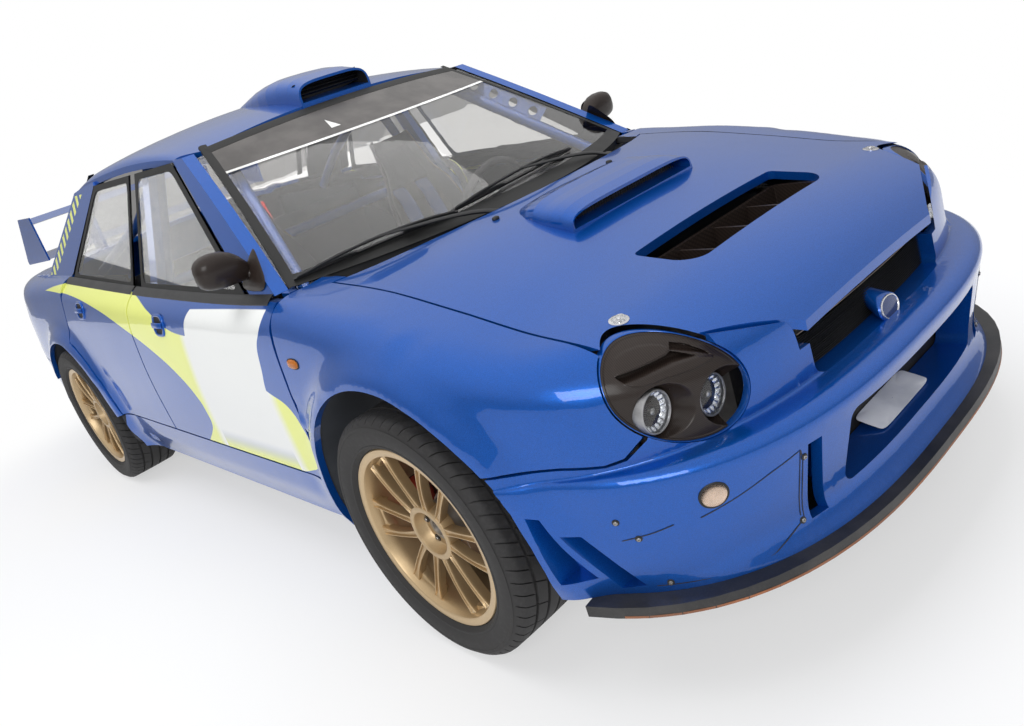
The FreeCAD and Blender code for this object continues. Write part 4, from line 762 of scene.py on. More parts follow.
@dataclass(frozen=True)
class Metal(Finish):
    """Bare or cast metal with fine scratches, and dirt low down."""
    metallic: float = 1.0
    streak: Place = (1, 1, 30)

    def pattern(self, n: Nodes, inputs: bpy.types.NodeInputs) -> None:
        """Stretched noise for brushed scratches, broad noise for stain."""
        places = n.places()
        lines = n.noise(n.scaled(places, self.streak), 60.0, 4.0, 0.6)
        stain = n.noise(places, 12.0, 5.0, 0.6)
        n.put(n.mix(n.ramp(stain, 0.35, 0.75), self.tint(0.75), self.tint(1.12)), inputs["Base Color"])
        n.put(n.ramp(lines, 0.3, 0.7, self.roughness * 0.8, min(self.roughness * 1.25, 1.0)),
              inputs["Roughness"])
        n.put(n.bump(lines, 0.15, 0.0002), inputs["Normal"])


@dataclass(frozen=True)
class Glass(Finish):
    """Window glass or a clear lens, thinly tinted, with a faint film."""
    transmission: float = 1.0
    roughness: float = 0.0

    def pattern(self, n: Nodes, inputs: bpy.types.NodeInputs) -> None:
        """A faint film changes the tint in broad patches."""
        cloud = n.noise(n.places(), 4.0, 3.0)
        n.put(n.mix(n.ramp(cloud, 0.3, 0.7), self.tint(0.97), self.tint()), inputs["Base Color"])


@dataclass(frozen=True)
class WheelFinish(Finish):
    """Satin gold wheel paint with brake dust towards the hub and fine speckle."""
    metallic: float = 0.75
    coat: float = 0.25
    coat_roughness: float = 0.2
    axle: float = 1.35
    hub: float = 0.325

    def pattern(self, n: Nodes, inputs: bpy.types.NodeInputs) -> None:
        """Dust by distance from the axle, speckle by fine cells."""
        places = n.places()
        away = n.away(places, self.axle, self.hub)
        dust = n.times(n.ramp(away, 0.06, 0.23, 0.35, 0.08), n.noise(places, 26.0, 5.0, 0.65))
        speck = n.cells(places, 900.0, "Color")
        part = n.add("ShaderNodeSeparateColor")
        n.put(speck, part.inputs[0])
        colour = n.mix(part.outputs[0], self.tint(0.9), self.tint())
        n.put(n.mix(dust, colour, (0.16, 0.11, 0.07, 1.0)), inputs["Base Color"])
        n.put(n.plus(n.times(dust, 0.6), self.roughness), inputs["Roughness"])
        n.put(n.bump(n.noise(places, 500.0, 2.0), 0.08, 0.0002), inputs["Normal"])


@dataclass(frozen=True)
class TyreRubber(Finish):
    """Tyre rubber: rings on the side wall, scuffed tread."""
    axle: float = 1.35
    hub: float = 0.325
    tread_radius: float = 0.312

    def pattern(self, n: Nodes, inputs: bpy.types.NodeInputs) -> None:
        """Rings from a sine of the distance to the axle; the tread is rougher and paler."""
        places = n.places()
        away = n.away(places, self.axle, self.hub)
        tread = n.ramp(away, self.tread_radius - 0.012, self.tread_radius)
        rings = n.math("SINE", n.times(away, 2400.0))
        side_rings = n.times(n.rest_of(tread), rings)
        scuff = n.noise(places, 90.0, 5.0, 0.65)
        colour = n.mix(n.times(n.ramp(scuff, 0.4, 0.8), n.ramp(tread, 0.0, 1.0, 0.35, 0.8)),
                       self.tint(), self.tint(2.0, 0.01))
        n.put(colour, inputs["Base Color"])
        n.put(n.ramp(scuff, 0.2, 0.9, self.roughness - 0.1, self.roughness + 0.12), inputs["Roughness"])
        height = n.plus(n.times(side_rings, 0.25), n.times(scuff, 0.8))
        n.put(n.bump(height, 0.35, 0.0006), inputs["Normal"])


@dataclass(frozen=True)
class Cloth(Finish):
    """Woven seat cloth or webbing."""
    threads: float = 900.0
    roughness: float = 0.9

    def pattern(self, n: Nodes, inputs: bpy.types.NodeInputs) -> None:
        """The twill group at a fine scale, with a soft broad shade."""
        places = n.places()
        weave = Effects.place(n, "weave", places=places, scale=self.threads)
        cloud = n.noise(places, 14.0, 4.0)
        n.put(n.mix(n.times(n.plus(weave.outputs["Height"], cloud), 0.5), self.tint(0.7), self.tint(1.5)),
              inputs["Base Color"])
        n.put(n.bump(weave.outputs["Height"], 0.5, 0.0004), inputs["Normal"])


# Meshes

def unit(vectors: np.ndarray) -> np.ndarray:
    """Vectors of length one along the last axis."""
    size = np.linalg.norm(vectors, axis=-1, keepdims=True)
    return vectors / np.where(size == 0, 1.0, size)


def mirror_y(points: np.ndarray, side: Side) -> np.ndarray:
    """Points of the left side, put on the side asked for."""
    return points * np.array([1.0, side.value, 1.0])


def spread(low: float, high: float, count: int) -> np.ndarray:
    """Evenly spaced values from low to high."""
    return np.linspace(low, high, count)


def full_turn(count: int) -> np.ndarray:
    """Even steps round a full turn, in radians, without its end."""
    return np.linspace(0.0, 2.0 * math.pi, count, endpoint=False)


def xyz(x: np.ndarray, y: np.ndarray, z: np.ndarray) -> np.ndarray:
    """Points from their three parts, each a number or an array that fits the others."""
    return np.stack(np.broadcast_arrays(x, y, z), -1)


def superellipse(count: int, half_a: float, half_b: float, power: float) -> np.ndarray:
    """A closed outline: cosine and sine, each raised to 2/power with its sign kept."""
    t = full_turn(count)
    shape = [np.sign(f(t)) * np.abs(f(t)) ** (2.0 / power) for f in (np.cos, np.sin)]
    return np.stack([shape[0] * half_a, shape[1] * half_b], -1)


def slopes(height: Callable, a: np.ndarray, b: np.ndarray, step: float) -> Tuple[np.ndarray, np.ndarray]:
    """The two slopes of a height over two values, from differences over twice the step."""
    return ((height(a + step, b) - height(a - step, b)) / (2.0 * step),
            (height(a, b + step) - height(a, b - step)) / (2.0 * step))


def dished(half_a: float, half_b: float, power: float, rows: Outline, count: int = 48) -> np.ndarray:
    """Rings of a superellipse, each at its own share of the size and its own height.

    Args:
        half_a: half the outline's width.
        half_b: half the outline's height.
        power: the outline's power; 2 is an ellipse and more is squarer.
        rows: share and height of each ring.
        count: points in a ring.

    Returns:
        Rings by points by three.
    """
    rings = [(superellipse(count, half_a * share, half_b * share, power), rise) for share, rise in rows]
    return np.array([xyz(line[:, 0], line[:, 1], rise) for line, rise in rings])


@dataclass
class Shell:
    """Collects grids of points, in millimetres, into one mesh that rides on a body."""
    name: str
    points: List[np.ndarray] = field(default_factory=list)
    quads: List[np.ndarray] = field(default_factory=list)
    slots: List[np.ndarray] = field(default_factory=list)
    polygons: List[Tuple[List[int], int]] = field(default_factory=list)
    count: int = 0

    def grid(self, points: np.ndarray, around: bool = False, along: bool = False, slot: int = 0,
             flip: bool = False) -> "Shell":
        """Adds a grid of quads between rows of points.

        Args:
            points: rows by columns by three.
            around: whether the last column joins the first.
            along: whether the last row joins the first.
            slot: the material's place.
            flip: whether the faces turn round.

        Returns:
            The shell itself.
        """
        rows, columns = points.shape[:2]
        number = np.arange(rows * columns).reshape(rows, columns) + self.count
        if around:
            number = np.concatenate([number, number[:, :1]], 1)
        if along:
            number = np.concatenate([number, number[:1]], 0)
        corners = [number[:-1, :-1], number[1:, :-1], number[1:, 1:], number[:-1, 1:]]
        quads = np.stack([c.ravel() for c in (corners[::-1] if flip else corners)], -1)
        self.points.append(points.reshape(-1, 3))
        self.quads.append(quads)
        self.slots.append(np.full(len(quads), slot))
        self.count += rows * columns
        return self

    def cap(self, ring: np.ndarray, slot: int = 0, flip: bool = False) -> "Shell":
        """Adds one flat face round a ring of points."""
        order = list(range(self.count, self.count + len(ring)))
        self.points.append(ring)
        self.polygons.append((order[::-1] if flip else order, slot))
        self.count += len(ring)
        return self

    def solid(self, points: np.ndarray, slot: int = 0, flip: bool = False) -> "Shell":
        """Adds a grid closed around, with its first and last rows capped."""
        self.grid(points, around=True, slot=slot, flip=flip)
        self.cap(points[0], slot, flip)
        return self.cap(points[-1], slot, not flip)

    def build(self, finishes: Sequence[Finish], body: str, sharp: float = 38.0,
              slot_name: Optional[str] = None, closed: bool = True) -> bpy.types.Object:
        """Makes the object, merges doubles, turns closed faces outwards and lets it ride.

        Args:
            finishes: one finish for each material's place.
            body: the body that it rides on.
            sharp: faces that meet at more than this angle, in degrees, keep a hard edge.
            slot_name: not used.
            closed: whether the faces are all to be turned outwards.

        Returns:
            The object.
        """
        points = np.concatenate(self.points) * MM
        quads = np.concatenate(self.quads) if self.quads else np.zeros((0, 4), int)
        mesh = bpy.data.meshes.new(self.name)
        faces = quads.tolist() + [order for order, _ in self.polygons]
        mesh.from_pydata(points.tolist(), [], faces)
        slots = np.concatenate([*self.slots, np.array([s for _, s in self.polygons], int)]).astype(np.int32)
        mesh.polygons.foreach_set("material_index", slots)
        for finish in finishes:
            mesh.materials.append(finish.material())
        piece = bpy.data.objects.new(self.name, mesh)
        bpy.context.scene.collection.objects.link(piece)
        tidy_mesh(mesh, closed)
        mesh.polygons.foreach_set("use_smooth", [True] * len(mesh.polygons))
        mesh.set_sharp_from_angle(angle=math.radians(sharp))
        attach(piece, body)
        LOG.info("%s: %d faces on %s", self.name, len(mesh.polygons), body)
        return piece


def tidy_mesh(mesh: bpy.types.Mesh, closed: bool) -> None:
    """Merges points within a hundredth of a millimetre and, on closed shells, turns faces outwards."""
    work = bmesh.new()
    work.from_mesh(mesh)
    bmesh.ops.remove_doubles(work, verts=work.verts, dist=0.00001)
    if closed:
        bmesh.ops.recalc_face_normals(work, faces=work.faces)
    work.to_mesh(mesh)
    work.free()


def frames_along(path: np.ndarray, up: Sequence[float] = (0, 0, 1),
                 closed: bool = False) -> Tuple[np.ndarray, ...]:
    """Sideways and upward directions at each point of a path.

    The path's direction is the mean of its two neighbouring runs; sideways is that crossed
    with the given up direction, and upward is sideways crossed with the path's direction.

    Args:
        path: points by three.
        up: the direction that the section's second axis leans to.
        closed: whether the path's ends join.

    Returns:
        The sideways and the upward directions.
    """
    ahead = np.roll(path, -1, 0) - path
    behind = path - np.roll(path, 1, 0)
    if not closed:
        ahead[-1], behind[0] = behind[-1], ahead[0]
    way = unit(unit(ahead) + unit(behind))
    across = unit(np.cross(way, np.broadcast_to(np.asarray(up, float), way.shape)))
    return across, unit(np.cross(across, way))


def swept(path: np.ndarray, section: np.ndarray, up: Sequence[float] = (0, 0, 1), closed: bool = False,
          scale: Optional[np.ndarray] = None) -> np.ndarray:
    """A section carried along a path: each point is the path's plus the section's two parts."""
    across, above = frames_along(path, up, closed)
    size = np.ones(len(path)) if scale is None else scale
    part = section[None] * size[:, None, None]
    return path[:, None] + across[:, None] * part[..., :1] + above[:, None] * part[..., 1:]


def turned(profile: np.ndarray, centre: Sequence[float], axis: str = "y", count: int = 96,
           way: float = 1.0) -> np.ndarray:
    """A profile of (radius, height) turned about an axis through a centre.

    Args:
        profile: points by two.
        centre: where the axis passes and height is zero.
        axis: x, y or z.
        count: steps round the turn.
        way: 1 or -1, the direction of height along the axis.

    Returns:
        Profile rows by turn columns by three.
    """
    t = full_turn(count)
    radius, height = profile[:, :1], np.broadcast_to(profile[:, 1:] * way, (len(profile), count))
    a, b = radius * np.cos(t), radius * np.sin(t)
    order = {"x": (height, a, b), "y": (a, height, b), "z": (a, b, height)}[axis]
    return np.stack(order, -1) + np.asarray(centre, float)


def basis(way: Sequence[float], up: Sequence[float] = (0, 0, 1)) -> np.ndarray:
    """Three directions as rows: across, above and along the way."""
    along = unit(np.asarray(way, float))
    across = unit(np.cross(np.asarray(up, float), along))
    return np.stack([across, np.cross(along, across), along])


def placed(points: np.ndarray, centre: Sequence[float], axes: np.ndarray) -> np.ndarray:
    """Points given across, above and along, put at a centre."""
    return points @ axes + np.asarray(centre, float)


def button(radius: float, height: float, edge: float, count: int = 20) -> np.ndarray:
    """A round head with a quarter-round edge, about the third axis, its foot at zero."""
    a = spread(0.0, math.pi / 2.0, 5)
    bend = np.stack([radius - edge + edge * np.cos(a), height - edge + edge * np.sin(a)], -1)
    profile = np.concatenate([[[radius, 0.0]], bend, [[0.3, height]]])
    return turned(profile, (0, 0, 0), "z", count)


def pebble(half: Sequence[float], power: float = 4.0, rows: int = 13, columns: int = 24) -> np.ndarray:
    """A rounded block: an ellipsoid whose sines and cosines are raised to 2/power."""
    u = spread(-math.pi / 2.0, math.pi / 2.0, rows)[:, None]
    v = full_turn(columns)[None]

    def bent(value: np.ndarray) -> np.ndarray:
        """The value raised to 2/power with its sign kept."""
        return np.sign(value) * np.abs(value) ** (2.0 / power)

    ring = bent(np.maximum(np.cos(u), 1e-9))
    return xyz(half[0] * ring * bent(np.cos(v)), half[1] * ring * bent(np.sin(v)), half[2] * bent(np.sin(u)))


def resampled(points: np.ndarray, count: int, closed: bool = False) -> np.ndarray:
    """Points at even steps of length along a run, by straight runs between those given."""
    run = np.concatenate([points, points[:1]]) if closed else points
    length = np.concatenate([[0.0], np.cumsum(np.linalg.norm(np.diff(run, axis=0), axis=1))])
    at = np.linspace(0.0, length[-1], count + 1)[:-1] if closed else np.linspace(0.0, length[-1], count)
    return np.stack([np.interp(at, length, run[:, i]) for i in range(run.shape[1])], -1)


def rounded(points: np.ndarray, count: int, passes: int = 2, closed: bool = False) -> np.ndarray:
    """A run with its corners cut off a few times, then spaced evenly."""
    run = np.asarray(points, float)
    for _ in range(passes):
        ahead = np.roll(run, -1, 0)
        cut = np.stack([0.75 * run + 0.25 * ahead, 0.25 * run + 0.75 * ahead], 1)
        cut = cut.reshape(-1, run.shape[1]) if closed else cut[:-1].reshape(-1, run.shape[1])
        run = cut if closed else np.concatenate([run[:1], cut, run[-1:]])
    return resampled(run, count, closed)


BLUE = (0.002, 0.083, 0.40)
PAINT = MetallicPaint("body blue", BLUE, 0.30)
LIVERY_PAINT = MetallicPaint("body blue with livery", BLUE, 0.30, livery=True, shaded_inside=True)
ROOF_PAINT = MetallicPaint("roof blue", BLUE, 0.30, shaded_inside=True)
CAGE_PAINT = MetallicPaint("cage blue", (0.02, 0.10, 0.42), 0.34, metallic=0.2)
CARBON = Carbon("carbon cover", roughness=0.42)
CARBON_FINE = Carbon("fine carbon cover", (0.016, 0.011, 0.009), 0.40, threads=860.0)
BLACK_TRIM = Moulded("black trim", (0.018, 0.018, 0.019), 0.46)
DARK_MESH = Moulded("dark mesh", (0.010, 0.010, 0.011), 0.6)
SEAL = Moulded("rubber seal", (0.012, 0.012, 0.012), 0.55, grain=1100.0)
INTERIOR = Moulded("cabin plastic", (0.035, 0.035, 0.038), 0.62)
UNDERBODY = Moulded("stone guard", (0.045, 0.05, 0.06), 0.7, grain=260.0, depth=0.0004, dust=0.5)
PALE_PLATE = Moulded("bare plate", (0.84, 0.85, 0.89), 0.35, grain=1200.0, dust=0.05)
SEAT_SHELL = Moulded("seat shell", (0.02, 0.02, 0.022), 0.4)
SEAT_CLOTH = Cloth("seat cloth", (0.022, 0.022, 0.026))
BELT_WEB = Cloth("harness web", (0.03, 0.05, 0.12), threads=1400.0)
STEEL = Metal("machined steel", (0.42, 0.41, 0.40), 0.36)
BRIGHT = Metal("bright metal", (0.88, 0.88, 0.90), 0.24)
IRON = Metal("brake iron", (0.23, 0.17, 0.14), 0.42)
CALIPER = Moulded("calliper red", (0.33, 0.035, 0.02), 0.45, dust=0.35)
CAST = Metal("cast alloy", (0.45, 0.45, 0.46), 0.5)
DARK_STEEL = Metal("suspension steel", (0.10, 0.10, 0.11), 0.55)
MIRROR_FACE = Metal("mirror face", (0.9, 0.9, 0.92), 0.03)
SCREEN_GLASS = Glass("screen glass", (0.88, 0.87, 0.86), ior=1.42)
SIDE_GLASS = Glass("side glass", (0.80, 0.80, 0.79), ior=1.42)
LENS = Glass("clear lens", (0.96, 0.98, 1.0), ior=1.35)
RED_LENS = Glass("red lens", (0.62, 0.02, 0.02), roughness=0.10, ior=1.4)
FILM = Moulded("sunstrip film", (0.085, 0.078, 0.074), 0.22, dust=0.0)
WHITE_MARK = Moulded("white marking", (0.80, 0.80, 0.78), 0.4, dust=0.0)
COPPER = Moulded("splitter edge", (0.30, 0.11, 0.045), 0.55, grain=400.0)
GOLD_FRONT = WheelFinish("front wheel gold", (0.60, 0.44, 0.25), 0.36, axle=SKIN.front_axle * MM)
GOLD_REAR = WheelFinish("rear wheel gold", (0.60, 0.44, 0.25), 0.36, axle=SKIN.rear_axle * MM)
TYRE_FRONT = TyreRubber("front tyre rubber", (0.020, 0.019, 0.019), 0.72, axle=SKIN.front_axle * MM)
TYRE_REAR = TyreRubber("rear tyre rubber", (0.020, 0.019, 0.019), 0.72, axle=SKIN.rear_axle * MM)
BELT_PAD = Cloth("harness pad", (0.05, 0.10, 0.30), threads=500.0)
BAR_METAL = Metal("grille bar", (0.62, 0.50, 0.40), 0.30)
OVAL_BLUE = MetallicPaint("oval blue", (0.012, 0.04, 0.16), 0.22, metallic=0.4)
AMBER_CLEAR = Glass("marker lens", (0.95, 0.72, 0.55), roughness=0.08, ior=1.4)
ORANGE = Glass("orange lens", (0.95, 0.28, 0.03), roughness=0.10, ior=1.4, transmission=0.5)
DOOR_PAINT = MetallicPaint("door blue with livery", BLUE, 0.30, livery=True, frames=True, shaded_inside=True)


@dataclass
class Wheel:
    """One wheel: a cut tyre on a forged rim with paired channelled spokes, and its brake disc."""
    side: Side
    front: bool
    out: float = 770.0
    tyre_radius: float = 324.6
    tyre_half: float = 112.0
    rim_radius: float = 239.5
    pairs: int = 6
    spoke_width: float = 19.0
    spoke_foot: float = 62.0
    spoke_short: float = 25.0
    spoke_splay: float = 11.0
    foot_splay: float = 17.6
    hub_radius: float = 73.0
    hub_floor: float = 46.0
    nuts: int = 5
    nut_turn: float = 20.0
    nut_circle: float = 45.0
    cuts: int = 60
    groove_depth: float = 6.5
    disc_radius: float = 171.0
    disc_slots: int = 12

    @property
    def centre(self) -> np.ndarray:
        """The wheel's centre."""
        axle = SKIN.front_axle if self.front else SKIN.rear_axle
        return np.array([axle, self.out * self.side.value, SKIN.hub_height])

    @property
    def corner(self) -> str:
        """The corner's name as it stands in body and node names."""
        return "%s_%s" % ("front" if self.front else "rear", self.side.word)

    def build(self) -> None:
        """Makes the tyre, the rim and the disc on the wheel's body."""
        body = "wheel_" + self.corner
        gold, rubber = (GOLD_FRONT, TYRE_FRONT) if self.front else (GOLD_REAR, TYRE_REAR)
        tyre = self.tyre().build([rubber], body, sharp=28.0, slot_name="tyre")
        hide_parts("tyre_" + self.corner)
        rim = self.rim().build([gold, STEEL, DARK_MESH], body, sharp=32.0, slot_name="wheel_gold")
        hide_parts("rim_" + self.corner)
        self.disc().build([IRON, CAST], body, slot_name="steel")
        if self.front:
            self.calliper()

    def put(self, points: np.ndarray) -> np.ndarray:
        """Points about the axle, outward along +Y, put at this corner of the car."""
        return mirror_y(points, self.side) + self.centre

    def tyre(self) -> Shell:
        """The tyre: its section turned about the axle, sunk where grooves and cuts run.

        Columns go round with four to a cut, so that each cut has two walls; towards the
        shoulders they lean forward, and a column's angle is its base angle plus that lean.
        """
        y = np.array([-112, -108, -100, -92, -84, -76, -68, -62, -61, -54, -53, -44, -34, -24, -23, -16, -15,
                      -5, 5, 15, 16, 23, 24, 34, 44, 53, 54, 61, 62, 68, 76, 84, 92, 100, 108, 112], float)
        bulge = np.clip((np.abs(y) - 84.0) / 28.0, 0.0, 1.0)
        radius = self.tyre_radius - 22.0 * bulge ** 2.4 - 2.0 * (y / self.tyre_half) ** 2
        step = np.array([0.0, 0.10, 0.105, 0.20, 0.205, 0.45, 0.70])
        base = ((np.arange(self.cuts)[:, None] + step) / self.cuts * 2 * math.pi).ravel()
        in_cut = np.tile(np.array([0, 0, 1, 1, 0, 0, 0]), self.cuts)
        odd = np.repeat(np.arange(self.cuts) % 2, len(step))
        lean = 0.0018 * np.maximum(np.abs(y) - 10.0, 0.0)
        angle = base[None] + lean[:, None] + np.where(y > 0, math.pi / self.cuts, 0.0)[:, None]
        groove = ((np.abs(y) > 15.5) & (np.abs(y) < 23.5)) | ((np.abs(y) > 53.5) & (np.abs(y) < 61.5))
        shoulder = (np.abs(y) > 61.5) & (np.abs(y) < 106)
        middle = (np.abs(y) > 23.5) & (np.abs(y) < 53.5)
        cut = shoulder[:, None] * in_cut[None] + middle[:, None] * (in_cut * odd)[None]
        depth = np.maximum(groove[:, None] * 1.0, cut * 0.8) * self.groove_depth
        reach = radius[:, None] - depth
        tread = xyz(reach * np.cos(angle), y[:, None], reach * np.sin(angle))
        shell = Shell("tyre_carcass_" + self.corner)
        shell.grid(self.put(tread), around=True)
        wall = np.array([[303, 111.9], [296, 112.4], [295, 111.6], [284, 112.4], [272, 111.4], [262, 109.0],
                         [256, 107.4], [254, 108.4], [250, 108.0], [247, 104.5], [243, 100.0], [240.6, 96.5],
                         [240.0, 88.0], [228.0, 84.0]])
        ring = np.concatenate([[[radius[-1], 112.0]], wall])
        for way in (1.0, -1.0):
            turn = angle[-1] if way > 0 else angle[0]
            side_wall = xyz(ring[:, :1] * np.cos(turn), np.full((len(ring), len(turn)), way) * ring[:, 1:],
                            ring[:, :1] * np.sin(turn))
            shell.grid(self.put(side_wall), around=True)
        band = np.array([[228.0, 84.0], [228.0, 0.0], [228.0, -84.0]])
        shell.grid(self.put(turned(band, (0, 0, 0), "y", 96)), around=True)
        return shell

    def rim(self) -> Shell:
        """Barrel and lip turned about the axle, hub ring, paired spokes, nuts and centre."""
        shell = Shell("rim_forged_" + self.corner)
        lip = self.rim_radius
        barrel = np.array([[lip, 92.0], [lip, 96.5], [lip - 2, 98.6], [lip - 6, 98.9], [lip - 17, 97.6],
                           [lip - 20, 95.6], [lip - 22, 91.0], [lip - 24, 84.0], [lip - 27, 76.0],
                           [lip - 29, 60.0], [lip - 30, 20.0], [lip - 30, -40.0], [lip - 24, -88.0],
                           [lip - 14, -96.0], [lip - 1, -99.0], [lip, -101.0], [lip, -96.0],
                           [lip - 11.5, -90.0], [lip - 11.5, 84.0]])
        shell.grid(self.put(turned(barrel, (0, 0, 0), "y", 120)), around=True, along=True)
        hub = self.hub_radius
        ring = np.array([[hub, 44.0], [hub, 73.0], [hub - 1.5, 76.0], [hub - 4.5, 77.5], [hub - 13, 77.5],
                         [hub - 15.5, 76.0], [hub - 17, 72.0], [hub - 20, 52.0], [hub - 24, 47.0],
                         [36.0, 46.0], [34.3, 44.5], [34.3, 40.0], [60.0, 40.0]])
        shell.grid(self.put(turned(ring, (0, 0, 0), "y", 72)), around=True, along=True)
        for pair in range(self.pairs):
            for way in (1.0, -1.0):
                self.spoke(shell, 360.0 / self.pairs * pair, way)
            self.web(shell, 360.0 / self.pairs * pair)
        for k in range(self.nuts):
            self.nut(shell, 360.0 / self.nuts * k + self.nut_turn)
        centre = np.array([[34.0, 41.0], [34.0, 47.0], [30.0, 50.0], [21.0, 50.5], [19.0, 44.0], [0.2, 43.0]])
        shell.grid(self.put(turned(centre, (0, 0, 0), "y", 48)), around=True, slot=1)
        return shell

    def spoke(self, shell: Shell, pair_angle: float, way: float) -> None:
        """One channelled spoke, carried from the hub's ring out to the barrel.

        Its middle line's angle goes from the foot's splay to the tip's, and its height
        swells to the middle; the section has two raised edges with a trough between.
        """
        t = spread(0.0, 1.0, 15)
        reach = self.spoke_foot + t * (self.rim_radius - self.spoke_short - self.spoke_foot)
        lean = self.foot_splay + (self.spoke_splay - self.foot_splay) * t ** 0.7
        splay = np.radians(pair_angle + way * lean)
        height = 75.0 + 9.0 * np.sin(t * math.pi * 0.62)
        path = xyz(reach * np.cos(splay), height, reach * np.sin(splay))
        half = self.spoke_width / 2.0
        trough = np.clip(np.minimum(t / 0.16, (1.0 - t) / 0.10), 0.0, 1.0) * 5.0
        edge = np.array([[-0.70, -26.0], [-0.95, -8.0], [-1.0, -2.2], [-0.93, -0.5], [-0.80, 0.0],
                         [-0.66, -0.2], [-0.50, -1.0], [0.50, -1.0], [0.66, -0.2], [0.80, 0.0], [0.93, -0.5],
                         [1.0, -2.2], [0.95, -8.0], [0.70, -26.0]])
        width = half * (1.12 - 0.32 * np.sin(t * math.pi) + 0.30 * np.clip((t - 0.86) / 0.14, 0, 1) ** 2)
        across = unit(np.cross(unit(np.gradient(path, axis=0)), np.array([0.0, 1.0, 0.0])))
        sunk = edge[None, :, 1] * np.ones((len(t), 1))
        sunk[:, 6:8] -= trough[:, None]
        points = path[:, None] + across[:, None] * (edge[None, :, :1] * width[:, None, None])
        shell.solid(self.put(points + np.array([0.0, 1.0, 0.0]) * sunk[..., None]))

    def web(self, shell: Shell, pair_angle: float) -> None:
        """The rounded gusset between a pair's tips, against the barrel: a curved slab on a grid."""
        a = np.radians(pair_angle + spread(-self.spoke_splay, self.spoke_splay, 13))
        across = spread(-1.0, 1.0, 13)
        inner = self.rim_radius - 34.0 - 9.0 * np.abs(across) ** 3
        rows = []
        for reach, height in ((inner + 3, 46.0), (inner, 62.0), (inner + 2, 69.0), (inner + 8, 72.0),
                              (np.full(13, self.rim_radius - 24.0), 76.0),
                              (np.full(13, self.rim_radius - 22.0), 46.0)):
            rows.append(xyz(reach * np.cos(a), height, reach * np.sin(a)))
        shell.solid(self.put(np.swapaxes(np.array(rows), 0, 1)))

    def nut(self, shell: Shell, angle: float) -> None:
        """A wheel nut in its pocket in the hub's floor: a short six-sided head in a dark ring."""
        a = math.radians(angle)
        place = (self.nut_circle * math.cos(a), self.hub_floor, self.nut_circle * math.sin(a))
        ring = np.array([[9.6, 0.0], [9.6, 2.2], [8.2, 3.0], [7.4, 0.4], [6.9, -3.0]])
        shell.grid(self.put(turned(ring, place, "y", 24)), around=True, slot=2)
        head = np.array([[5.8, -2.0], [5.8, 5.0], [4.8, 6.2], [0.2, 6.4]])
        shell.grid(self.put(turned(head, place, "y", 6)), around=True, slot=1)

    def calliper(self) -> None:
        """The brake calliper over the disc's rear edge, a bridge with two bosses and their bolts."""
        shell = Shell("brake_calliper_" + self.side.word)
        for middle, half in (((-148.0, -14.0, 0.0), (47.0, 18.0, 60.0)),
                             ((-156.0, -46.0, 0.0), (44.0, 44.0, 57.0)),
                             ((-138.0, 3.0, 27.0), (22.0, 8.0, 22.0)),
                             ((-138.0, 3.0, -27.0), (22.0, 8.0, 22.0))):
            shell.grid(self.put(pebble(half, 5.0, 15, 32) + np.array(middle)), around=True)
        for z in (46.0, -46.0):
            head = placed(button(7.0, 7.0, 1.4, 6), (-170.0, 3.0, z), basis((0, 1, 0)))
            shell.grid(self.put(head), around=True, slot=1)
        shell.build([CALIPER, STEEL], "steer_" + self.side.word, sharp=40)

    def disc(self) -> Shell:
        """The vented brake disc with its bell and the slots in its face."""
        shell = Shell("brake_disc_" + self.corner)
        profile = np.array([[72.0, -36.0], [self.disc_radius - 2, -36.0], [self.disc_radius, -38.0],
                            [self.disc_radius, -45.0], [self.disc_radius - 8, -46.0],
                            [self.disc_radius - 8, -52.0], [self.disc_radius, -53.0],
                            [self.disc_radius, -60.0], [self.disc_radius - 2, -61.5], [72.0, -61.5]])
        shell.grid(self.put(turned(profile, (0, 0, 0), "y", 96)), around=True, along=True)
        bell = np.array([[72.0, -40.0], [70.0, -8.0], [66.0, 4.0], [60.0, 8.0], [58.0, 38.0], [20.0, 39.0]])
        shell.grid(self.put(turned(bell, (0, 0, 0), "y", 64)), around=True, slot=1)
        t = spread(0.0, 1.0, 7)
        section = np.array([[-1.5, 0.0], [0.0, 0.25], [1.5, 0.0]])
        for k in range(self.disc_slots):
            turn = math.radians(360.0 / self.disc_slots * k) + 0.32 * t
            reach = 84.0 + t * 78.0
            path = xyz(reach * np.cos(turn), -35.8, reach * np.sin(turn))
            shell.grid(self.put(swept(path, section, up=(0, 1, 0))), slot=1)
        return shell


def inside_by(points: np.ndarray, outline: Outline) -> np.ndarray:
    """Distance from a closed outline, positive inside it.

    Args:
        points: any shape by two.
        outline: the outline's corners.

    Returns:
        One distance for each point.
    """
    corner = np.asarray(outline, float)
    ahead = np.roll(corner, -1, 0) - corner
    off = points[..., None, :] - corner
    t = np.clip((off * ahead).sum(-1) / (ahead ** 2).sum(-1), 0.0, 1.0)
    near = np.linalg.norm(off - ahead * t[..., None], axis=-1).min(-1)
    below = corner[:, 1] <= points[..., None, 1]
    crosses = below != np.roll(below, -1, -1)
    turn = ahead[:, 0] * off[..., 1] - ahead[:, 1] * off[..., 0]
    odd = (crosses & ((turn > 0) == (ahead[:, 1] > 0))).sum(-1) % 2
    return np.where(odd == 1, near, -near)


def ease(value: np.ndarray, low: float, high: float) -> np.ndarray:
    """A smooth step from 0 to 1 between two values."""
    t = np.clip((value - low) / (high - low), 0.0, 1.0)
    return t * t * (3.0 - 2.0 * t)


